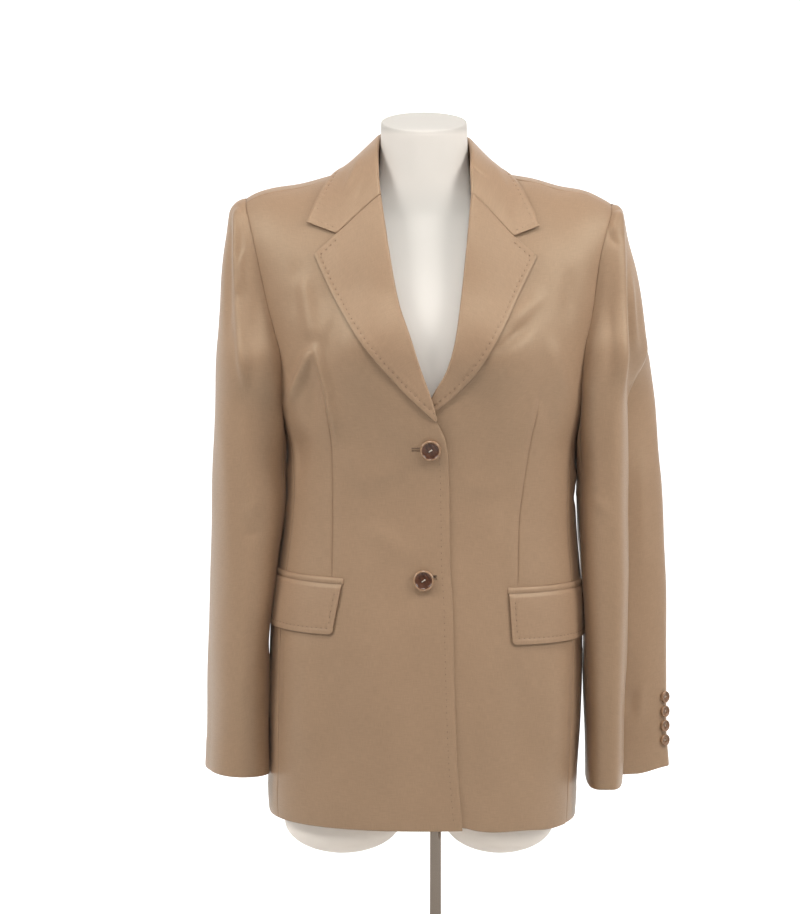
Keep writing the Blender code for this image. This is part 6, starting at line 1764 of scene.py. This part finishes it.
def dress_form():
    steps = 120
    a = np.linspace(0, 2 * math.pi, steps, endpoint=False)
    s, c = np.sin(a), np.cos(a)
    low, high = FORM[0][0], FORM[-1][0]
    zs = np.concatenate([low + (0.330 - low) * np.linspace(0, 1, 16) ** 1.6, np.linspace(0.330, high, 200)[1:]])
    v = {}
    for name in FORM_COLUMNS[1:]:
        q, w = dense(("form", name), FORM[2:], FORM_COLUMNS, name, 0.30, 1.08, 0.001, 0.007)
        plain = smooth(FORM, FORM_COLUMNS, name, zs)
        k = ramp(0.335, 0.360, zs)
        v[name] = plain * (1 - k) + np.interp(zs, q, w) * k
    rings = []
    for j, z in enumerate(zs):
        n = v["n"][j]
        reach = np.where(c >= 0, v["mid"][j] - v["front"][j], v["back"][j] - v["mid"][j])
        x = v["cx"][j] + v["half"][j] * np.sign(s) * np.abs(s) ** (2 / n)
        y = v["mid"][j] - reach * np.sign(c) * np.abs(c) ** (2 / n)
        tilt = CAP_TILT * y / 0.045 * float(ramp(high - 0.020, high, z))
        rings.append(np.stack([x, y, z + tilt], -1))
    # a small round at the cap's edge, then the flat cap
    rim = rings[-1]
    centre = rim.mean(0)
    body_rings = rings[:-1]
    out = list(body_rings)
    for k in np.linspace(0, 1, 6)[1:]:
        b = k * math.pi / 2
        q = centre + (rim - centre) * (1 - 0.0016 / 0.046 * (1 - math.cos(b)))
        q[:, 2] -= 0.0016 * (1 - math.sin(b))
        out.append(q)
    for k in (0.8, 0.5, 0.2):
        out.append(centre + (out[len(body_rings) + 4] - centre) * k)
    rings = np.array(out)
    verts = [p for ring in rings for p in ring] + [centre]
    faces = []
    for j in range(len(rings) - 1):
        for i in range(steps):
            k = (i + 1) % steps
            faces.append((j * steps + i, j * steps + k, (j + 1) * steps + k, (j + 1) * steps + i))
    last = (len(rings) - 1) * steps
    for i in range(steps):
        faces.append((last + i, last + (i + 1) % steps, len(verts) - 1))
    faces.append(tuple(range(steps))[::-1])
    form = plain_mesh("dress_form_shell", verts, faces, "form")
    # thigh ends
    for kk, (cx, half) in enumerate(LOBES):
        b = np.linspace(0, 2 * math.pi, 64, endpoint=False)
        rr = []
        for m in range(1, 27):
            ang = math.pi / 2 * min(m, 24) / 24
            z = LOBE_BOTTOM + 0.034 * (1 - math.cos(ang))
            f = math.sin(ang)
            if m > 24:
                z = LOBE_BOTTOM + 0.034 + (LOBE_TOP - LOBE_BOTTOM - 0.034) * (m - 24) / 2
                f = 1.0
            rr.append(np.stack([cx + half * f * np.sin(b), 0.002 - LOBE_DEPTH * f * np.cos(b), np.full(64, z)], -1))
        verts = [np.array([cx, 0.002, LOBE_BOTTOM])] + [p for ring in rr for p in ring]
        faces = [(0, 1 + (i + 1) % 64, 1 + i) for i in range(64)]
        for j in range(len(rr) - 1):
            for i in range(64):
                k = (i + 1) % 64
                faces.append((1 + j * 64 + i, 1 + j * 64 + k, 1 + (j + 1) * 64 + k, 1 + (j + 1) * 64 + i))
        faces.append(tuple(1 + (len(rr) - 1) * 64 + i for i in range(64)))
        lobe = plain_mesh("thigh_%d" % kk, verts, faces, "form")
        m = form.modifiers.new("thigh_%d" % kk, "BOOLEAN")
        m.operation = "UNION"
        m.object = lobe
        m.solver = "EXACT"
    bpy.context.view_layer.update()
    dg = bpy.context.evaluated_depsgraph_get()
    me = bpy.data.meshes.new_from_object(form.evaluated_get(dg))
    form.modifiers.clear()
    old = form.data
    form.data = me
    bpy.data.meshes.remove(old)
    for kk in range(2):
        bpy.data.objects.remove(bpy.data.objects["thigh_%d" % kk], do_unlink=True)
    me.shade_smooth()
    me.set_sharp_from_angle(angle=math.radians(50))
    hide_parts("dress_form")
    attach(form, "root")
    return form


def stand():
    high = 0.3000 - 0.0003
    r = ROD_D / 2
    profile = [(0.0, high), (r, high), (r, BASE_T + 0.010), (r, BASE_T + 0.0003), (0.0, BASE_T + 0.0003)]
    o = spun("stand_rod_round", profile, 48, lambda m: 0, ("chrome",))
    o.data.set_sharp_from_angle(angle=math.radians(40))
    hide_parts("stand_rod")
    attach(o, "root")
    b = BASE_D / 2
    profile = [(0.0, BASE_T), (b - 0.0050, BASE_T), (b - 0.0030, BASE_T - 0.0004), (b - 0.0014, BASE_T - 0.0016),
               (b - 0.0004, BASE_T - 0.0034), (b, BASE_T - 0.0055), (b, 0.0008), (b - 0.0008, 0.0), (0.0, 0.0)]
    o = spun("stand_base_plate", profile, 128, lambda m: 0, ("chrome",))
    o.data.set_sharp_from_angle(angle=math.radians(50))
    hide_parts("stand_base")
    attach(o, "root")


# ------------------------------------------------------------- materials
MATERIALS = {}


def node(tree, kind, where=(0, 0), **settings):
    n = tree.nodes.new(kind)
    n.location = where
    for key, value in settings.items():
        setattr(n, key, value)
    return n


def wool(name, colour, seed):
    """Fine woven wool: crossing threads, slubs, a soft nap, and painted shade down in the seams and under raised edges,
    read from the crease attribute.
    """
    m = bpy.data.materials.new(name)
    m.use_nodes = True
    t = m.node_tree
    s = t.nodes["Principled BSDF"]
    uv = node(t, "ShaderNodeUVMap", uv_map="cloth")
    link = t.links.new

    def wave(direction, period, distortion):
        mp = node(t, "ShaderNodeMapping")
        mp.inputs["Scale"].default_value = (1 / period, 1 / period, 1)
        link(uv.outputs["UV"], mp.inputs["Vector"])
        w = node(t, "ShaderNodeTexWave", wave_type="BANDS", bands_direction=direction, wave_profile="SIN")
        w.inputs["Scale"].default_value = 0.31416
        w.inputs["Distortion"].default_value = distortion
        w.inputs["Detail"].default_value = 1.0
        w.inputs["Detail Scale"].default_value = 0.6
        link(mp.outputs["Vector"], w.inputs["Vector"])
        return w

    def noise(scale, detail=2.0, rough=0.5):
        mp = node(t, "ShaderNodeMapping")
        mp.inputs["Scale"].default_value = scale
        mp.inputs["Location"].default_value = (seed * 3.7, seed * 1.9, 0)
        link(uv.outputs["UV"], mp.inputs["Vector"])
        n = node(t, "ShaderNodeTexNoise")
        n.inputs["Scale"].default_value = 1.0
        n.inputs["Detail"].default_value = detail
        n.inputs["Roughness"].default_value = rough
        link(mp.outputs["Vector"], n.inputs["Vector"])
        return n

    warp, weft = wave("X", 0.00042, 0.6), wave("Y", 0.00046, 0.6)
    weave = node(t, "ShaderNodeMath", operation="MULTIPLY")
    link(warp.outputs["Fac"], weave.inputs[0])
    link(weft.outputs["Fac"], weave.inputs[1])
    slub_v, slub_h = noise((1500, 110, 1), 2), noise((95, 1300, 1), 2)
    both = node(t, "ShaderNodeMath", operation="ADD")
    link(slub_v.outputs["Fac"], both.inputs[0])
    link(slub_h.outputs["Fac"], both.inputs[1])
    blotch = noise((22, 16, 1), 3, 0.6)

    def mix(fac_out, a, b, low, high):
        r = node(t, "ShaderNodeMapRange")
        r.inputs["From Min"].default_value = low
        r.inputs["From Max"].default_value = high
        link(fac_out, r.inputs["Value"])
        x = node(t, "ShaderNodeMix", data_type="RGBA")
        link(r.outputs["Result"], x.inputs["Factor"])
        for sock, val in (("A", a), ("B", b)):
            if isinstance(val, tuple):
                x.inputs[[i for i, q in enumerate(x.inputs) if q.name == sock and q.type == "RGBA"][0]].default_value = (*val, 1)
            else:
                link(val, x.inputs[[i for i, q in enumerate(x.inputs) if q.name == sock and q.type == "RGBA"][0]])
        return [q for q in x.outputs if q.type == "RGBA"][0]

    c = np.array(colour)
    dark, light = tuple(c * 0.93), tuple(np.minimum(c * 1.07, 1))
    base = mix(both.outputs[0], dark, light, 0.75, 1.25)
    tint = mix(blotch.outputs["Fac"], (0.975, 0.97, 0.965), (1.02, 1.02, 1.02), 0.3, 0.7)
    mul = node(t, "ShaderNodeMix", data_type="RGBA", blend_type="MULTIPLY")
    mul.inputs["Factor"].default_value = 1.0
    ia = [i for i, q in enumerate(mul.inputs) if q.type == "RGBA"]
    link(base, mul.inputs[ia[0]])
    link(tint, mul.inputs[ia[1]])
    # painted shade: the crease attribute darkens the colour along seams, darts and tucked edges, and most under the
    # edges of lapels, collar and flaps
    shade = node(t, "ShaderNodeAttribute", attribute_name="crease")
    painted_shade = mix(shade.outputs["Fac"], (1, 1, 1), (0.36, 0.29, 0.25), 0.15, 2.0)
    mul2 = node(t, "ShaderNodeMix", data_type="RGBA", blend_type="MULTIPLY")
    mul2.inputs["Factor"].default_value = 1.0
    ia = [i for i, q in enumerate(mul2.inputs) if q.type == "RGBA"]
    link([q for q in mul.outputs if q.type == "RGBA"][0], mul2.inputs[ia[0]])
    link(painted_shade, mul2.inputs[ia[1]])
    link([q for q in mul2.outputs if q.type == "RGBA"][0], s.inputs["Base Color"])
    rough = node(t, "ShaderNodeMapRange")
    rough.inputs["To Min"].default_value = 0.37
    rough.inputs["To Max"].default_value = 0.48
    link(slub_v.outputs["Fac"], rough.inputs["Value"])
    link(rough.outputs["Result"], s.inputs["Roughness"])
    s.inputs["Specular IOR Level"].default_value = 0.55
    s.inputs["Specular Tint"].default_value = (1.0, 0.95, 0.74, 1)
    s.inputs["Sheen Weight"].default_value = 0.07
    s.inputs["Sheen Roughness"].default_value = 0.38
    s.inputs["Sheen Tint"].default_value = (1.0, 0.93, 0.85, 1)
    b1 = node(t, "ShaderNodeBump")
    b1.inputs["Strength"].default_value = 0.30
    b1.inputs["Distance"].default_value = 0.00012
    link(weave.outputs[0], b1.inputs["Height"])
    b2 = node(t, "ShaderNodeBump")
    b2.inputs["Strength"].default_value = 0.35
    b2.inputs["Distance"].default_value = 0.00012
    link(both.outputs[0], b2.inputs["Height"])
    link(b1.outputs["Normal"], b2.inputs["Normal"])
    link(b2.outputs["Normal"], s.inputs["Normal"])
    m.diffuse_color = (*colour, 1)
    MATERIALS[name] = m
    return m


def simple(name, colour, rough, metallic=0.0, grain=0.0, scale=300.0, coat=0.0, spread_=0.08, spec=0.5, stretch=(1, 1, 1)):
    """A smooth material with a slight unevenness of colour and gloss."""
    m = bpy.data.materials.new(name)
    m.use_nodes = True
    t = m.node_tree
    s = t.nodes["Principled BSDF"]
    tc = node(t, "ShaderNodeTexCoord")
    mp = node(t, "ShaderNodeMapping")
    mp.inputs["Scale"].default_value = stretch
    t.links.new(tc.outputs["Object"], mp.inputs["Vector"])
    n = node(t, "ShaderNodeTexNoise")
    n.inputs["Scale"].default_value = scale
    n.inputs["Detail"].default_value = 4.0
    t.links.new(mp.outputs["Vector"], n.inputs["Vector"])
    r = node(t, "ShaderNodeValToRGB")
    c = np.array(colour)
    r.color_ramp.elements[0].position, r.color_ramp.elements[1].position = 0.3, 0.7
    r.color_ramp.elements[0].color = (*tuple(c * (1 - spread_)), 1)
    r.color_ramp.elements[1].color = (*tuple(np.minimum(c * (1 + spread_), 1)), 1)
    t.links.new(n.outputs["Fac"], r.inputs["Fac"])
    t.links.new(r.outputs["Color"], s.inputs["Base Color"])
    q = node(t, "ShaderNodeMapRange")
    q.inputs["To Min"].default_value = max(rough - (0.05 if scale > 10 else 0.01), 0.02)
    q.inputs["To Max"].default_value = rough + (0.05 if scale > 10 else 0.01)
    t.links.new(n.outputs["Fac"], q.inputs["Value"])
    t.links.new(q.outputs["Result"], s.inputs["Roughness"])
    s.inputs["Metallic"].default_value = metallic
    s.inputs["Specular IOR Level"].default_value = spec
    s.inputs["Coat Weight"].default_value = coat
    if grain:
        b = node(t, "ShaderNodeBump")
        b.inputs["Strength"].default_value = grain
        b.inputs["Distance"].default_value = 0.0001
        t.links.new(n.outputs["Fac"], b.inputs["Height"])
        t.links.new(b.outputs["Normal"], s.inputs["Normal"])
    m.diffuse_color = (*colour, 1)
    MATERIALS[name] = m
    return m


def materials():
    wool("wool", (0.362, 0.234, 0.149), 1.0)
    wool("wool_trim", (0.372, 0.240, 0.154), 2.0)
    simple("thread", (0.205, 0.132, 0.084), 0.75, scale=900.0, grain=0.2)
    simple("pale_thread", (0.66, 0.57, 0.47), 0.6, scale=1500.0, grain=0.4)
    simple("horn_mid", (0.230, 0.125, 0.070), 0.28, scale=420.0, coat=0.2, spread_=0.25)
    simple("horn_dark", (0.098, 0.036, 0.018), 0.26, scale=420.0, coat=0.25, spread_=0.45, stretch=(1, 0.35, 1))
    simple("horn_rim", (0.36, 0.215, 0.125), 0.22, scale=350.0, coat=0.4, spread_=0.22, stretch=(1, 1, 1))
    # painted shade inside the button holes and the buttonhole slits
    simple("painted_hole_shade", (0.020, 0.011, 0.007), 0.8, scale=500.0)
    m = simple("form", (0.985, 0.985, 0.985), 0.50, scale=5.0, spread_=0.008, spec=0.22)
    # painted light and shade by height: the shell is painted paler and warmer down at the thighs, as if lit from the
    # floor, and darker over the upper chest, the neck and the cap, where the top lights fall
    t = m.node_tree
    shader = t.nodes["Principled BSDF"]
    plain = shader.inputs["Base Color"].links[0].from_socket
    tc = node(t, "ShaderNodeTexCoord")
    sp = node(t, "ShaderNodeSeparateXYZ")
    t.links.new(tc.outputs["Object"], sp.inputs["Vector"])
    high = node(t, "ShaderNodeMapRange")
    high.inputs["From Min"].default_value, high.inputs["From Max"].default_value = 0.25, 1.05
    t.links.new(sp.outputs["Z"], high.inputs["Value"])
    painted_light_by_height = node(t, "ShaderNodeValToRGB")
    painted_light_by_height.color_ramp.interpolation = "EASE"
    stops = ((0.0, (0.97, 0.885, 0.81)), (0.20, (0.80, 0.75, 0.70)), (0.70, (0.86, 0.82, 0.775)), (0.860, (0.66, 0.635, 0.60)),
             (0.915, (0.755, 0.712, 0.665)), (0.968, (0.755, 0.707, 0.660)), (0.978, (0.57, 0.540, 0.503)))
    while len(painted_light_by_height.color_ramp.elements) < len(stops):
        painted_light_by_height.color_ramp.elements.new(0.5)
    for element, (where, tone) in zip(painted_light_by_height.color_ramp.elements, stops):
        element.position, element.color = where, (*tone, 1)
    t.links.new(high.outputs["Result"], painted_light_by_height.inputs["Fac"])
    x = node(t, "ShaderNodeMix", data_type="RGBA", blend_type="MULTIPLY")
    ia = [i for i, q in enumerate(x.inputs) if q.type == "RGBA"]
    x.inputs["Factor"].default_value = 1.0
    t.links.new(plain, x.inputs[ia[0]])
    t.links.new(painted_light_by_height.outputs["Color"], x.inputs[ia[1]])
    t.links.new([q for q in x.outputs if q.type == "RGBA"][0], shader.inputs["Base Color"])
    simple("chrome", (0.27, 0.225, 0.19), 0.16, metallic=1.0, scale=40.0, spread_=0.03)
    m = simple("floor", (0.72, 0.72, 0.71), 0.9, scale=8.0, spread_=0.01, spec=0.1)
    t = m.node_tree
    tc = node(t, "ShaderNodeTexCoord")
    sp = node(t, "ShaderNodeSeparateXYZ")
    far = node(t, "ShaderNodeMapRange", interpolation_type="SMOOTHSTEP")
    for key, value in (("From Min", 0.25), ("From Max", 0.62), ("To Min", 0.0), ("To Max", 0.80)):
        far.inputs[key].default_value = value
    t.links.new(tc.outputs["Object"], sp.inputs["Vector"])
    t.links.new(sp.outputs["Y"], far.inputs["Value"])
    t.links.new(far.outputs["Result"], t.nodes["Principled BSDF"].inputs["Emission Strength"])
    t.nodes["Principled BSDF"].inputs["Emission Color"].default_value = (1, 1, 1, 1)


# ------------------------------------------------------------- camera, light and floor
WORLD_FRONT, WORLD_BACK, WORLD_TOP = 0.155, 1.08, 0.14
LIGHTS = (
    ("soft_right", (2.10, -1.00, 2.10), (0, 0, 0.80), (1.0, 1.0), 42, (1.0, 0.985, 0.950)),
    ("soft_left", (-2.10, -1.00, 2.10), (0, 0, 0.80), (1.0, 1.0), 34.5, (1.0, 0.985, 0.950)),
    ("top", (0.0, -1.25, 2.9), (0, 0, 0.8), (0.8, 0.5), 26, (1.0, 0.985, 0.950)),
    ("front", (0.4, -3.4, 1.7), (0, 0, 0.8), (1.6, 1.2), 1.5, (1.0, 0.985, 0.965)),
)


def camera():
    c = bpy.data.cameras.new("camera")
    c.sensor_fit = "VERTICAL"
    c.sensor_height = 36.0
    c.lens = 2727.0 * 36.0 / 914.0
    c.clip_start, c.clip_end = 0.05, 60
    o = bpy.data.objects.new("camera", c)
    o.location = (-0.0396, -3.0, 0.90)
    o.rotation_euler = (math.radians(90 - 4.34), 0, 0)
    bpy.context.scene.collection.objects.link(o)
    bpy.context.scene.camera = o


def area_light(name, where, target, size, power, colour=(1, 1, 1)):
    d = bpy.data.lights.new(name, "AREA")
    d.shape = "RECTANGLE"
    d.size, d.size_y = size
    d.energy = power
    d.color = colour
    o = bpy.data.objects.new(name, d)
    o.location = where
    o.rotation_euler = (Vector(target) - Vector(where)).to_track_quat("-Z", "Y").to_euler()
    bpy.context.scene.collection.objects.link(o)


def studio():
    scene = bpy.context.scene
    scene.view_settings.view_transform = "Standard"
    scene.view_settings.look = "None"
    w = bpy.data.worlds.new("studio")
    scene.world = w
    w.use_nodes = True
    t = w.node_tree
    bg = t.nodes["Background"]
    # a white backdrop behind, a dim room in front
    tc = node(t, "ShaderNodeTexCoord")
    sp = node(t, "ShaderNodeSeparateXYZ")
    t.links.new(tc.outputs["Generated"], sp.inputs["Vector"])
    behind = node(t, "ShaderNodeMapRange", interpolation_type="SMOOTHSTEP")
    for key, value in (("From Min", 0.05), ("From Max", 0.80), ("To Min", WORLD_FRONT), ("To Max", WORLD_BACK)):
        behind.inputs[key].default_value = value
    t.links.new(sp.outputs["Y"], behind.inputs["Value"])
    above = node(t, "ShaderNodeMapRange")
    for key, value in (("From Min", 0.0), ("From Max", 1.0), ("To Min", 0.0), ("To Max", WORLD_TOP)):
        above.inputs[key].default_value = value
    t.links.new(sp.outputs["Z"], above.inputs["Value"])
    both = node(t, "ShaderNodeMath", operation="ADD")
    t.links.new(behind.outputs["Result"], both.inputs[0])
    t.links.new(above.outputs["Result"], both.inputs[1])
    t.links.new(both.outputs[0], bg.inputs["Strength"])
    bg.inputs["Color"].default_value = (1.0, 1.0, 1.0, 1)
    for row in LIGHTS:
        area_light(*row)
    prof = [(-5.0, 0.0), (0.0, 0.0), (2.0, 0.0)]
    prof += [(4.0 + 1.6 * math.sin(a), 1.6 * (1 - math.cos(a))) for a in np.linspace(0, math.pi / 2, 24)] + [(5.6, 5.0)]
    verts, faces = [], []
    for y, z in prof:
        verts += [(-7.0, y, z), (7.0, y, z)]
    for k in range(len(prof) - 1):
        faces.append((2 * k, 2 * k + 1, 2 * k + 3, 2 * k + 2))
    me = bpy.data.meshes.new("floor")
    me.from_pydata(verts, [], faces)
    me.shade_smooth()
    me.materials.append(MATERIALS["floor"])
    o = bpy.data.objects.new("floor", me)
    scene.collection.objects.link(o)


def edge_stitches(p, side):
    """Pick stitches down the front edge below the lapel."""
    n = facing(p, np.array([0, -1, 0.1]))
    hem, shoulder, edge, out_side = insets(p)
    rows = [j for j in range(p.shape[0]) if p[j, 0, 2] < 0.700 and hem[j, 0] > 0.006]
    pts, ns = [], []
    for j in rows:
        k = int(np.searchsorted(edge[j], 0.0088))
        t = (0.0088 - edge[j, k - 1]) / (edge[j, k] - edge[j, k - 1])
        pts.append(p[j, k - 1] + (p[j, k] - p[j, k - 1]) * t)
        ns.append(n[j, k])
    return line_spots(np.array(pts), np.array(ns), PICK, 0.004)


def main():
    materials()
    camera()
    studio()
    right = front(-1)
    left = front(1)
    for side in (-1, 1):
        back(side)
        side_piece(side)
        sleeve_upper(side)
        sleeve_under(side)
        lapel(side)
    collar_fall()
    collar_stand()
    for row in POCKETS:
        pocket(*row)
    threads("front_edge_stitches", [(q[0] + q[2] * 0.00062, q[1], q[2]) for q in edge_stitches(right, -1)])
    for name, x, z in FRONT_BUTTONS:
        p = on_front(-1, np.array([x, x + 1e-3]), np.array([z, z]), 0.0)[0]
        q = on_front(-1, np.array([x, x]), np.array([z, z]), 0.001)[0]
        n = (q - p) / np.linalg.norm(q - p)
        button(name + "_horn", name, BUTTON_D, BUTTON_T, p + n * (WALL / 2 + 0.0004), n, math.radians(35), 64)
    buttonhole("buttonhole_top", -0.0268, -0.0020, 0.6895)
    buttonhole("buttonhole_low", -0.0240, -0.0006, 0.5528)
    for side, word in ((-1, "right"), (1, "left")):
        for k, z in enumerate(CUFF_BUTTONS_Z):
            p, n = cuff_button_spot(side, z - (0.005 if side < 0 else 0.0))
            button("cuff_%s_%d_horn" % (word, k + 1), "cuff_button_%s_%d" % (word, k + 1), CUFF_BUTTON_D * 1.05, CUFF_BUTTON_T * 1.08,
                   p + n * (WALL / 2 - 0.0008), n, math.radians(20 + 50 * k), 40)
    dress_form()
    stand()


main()
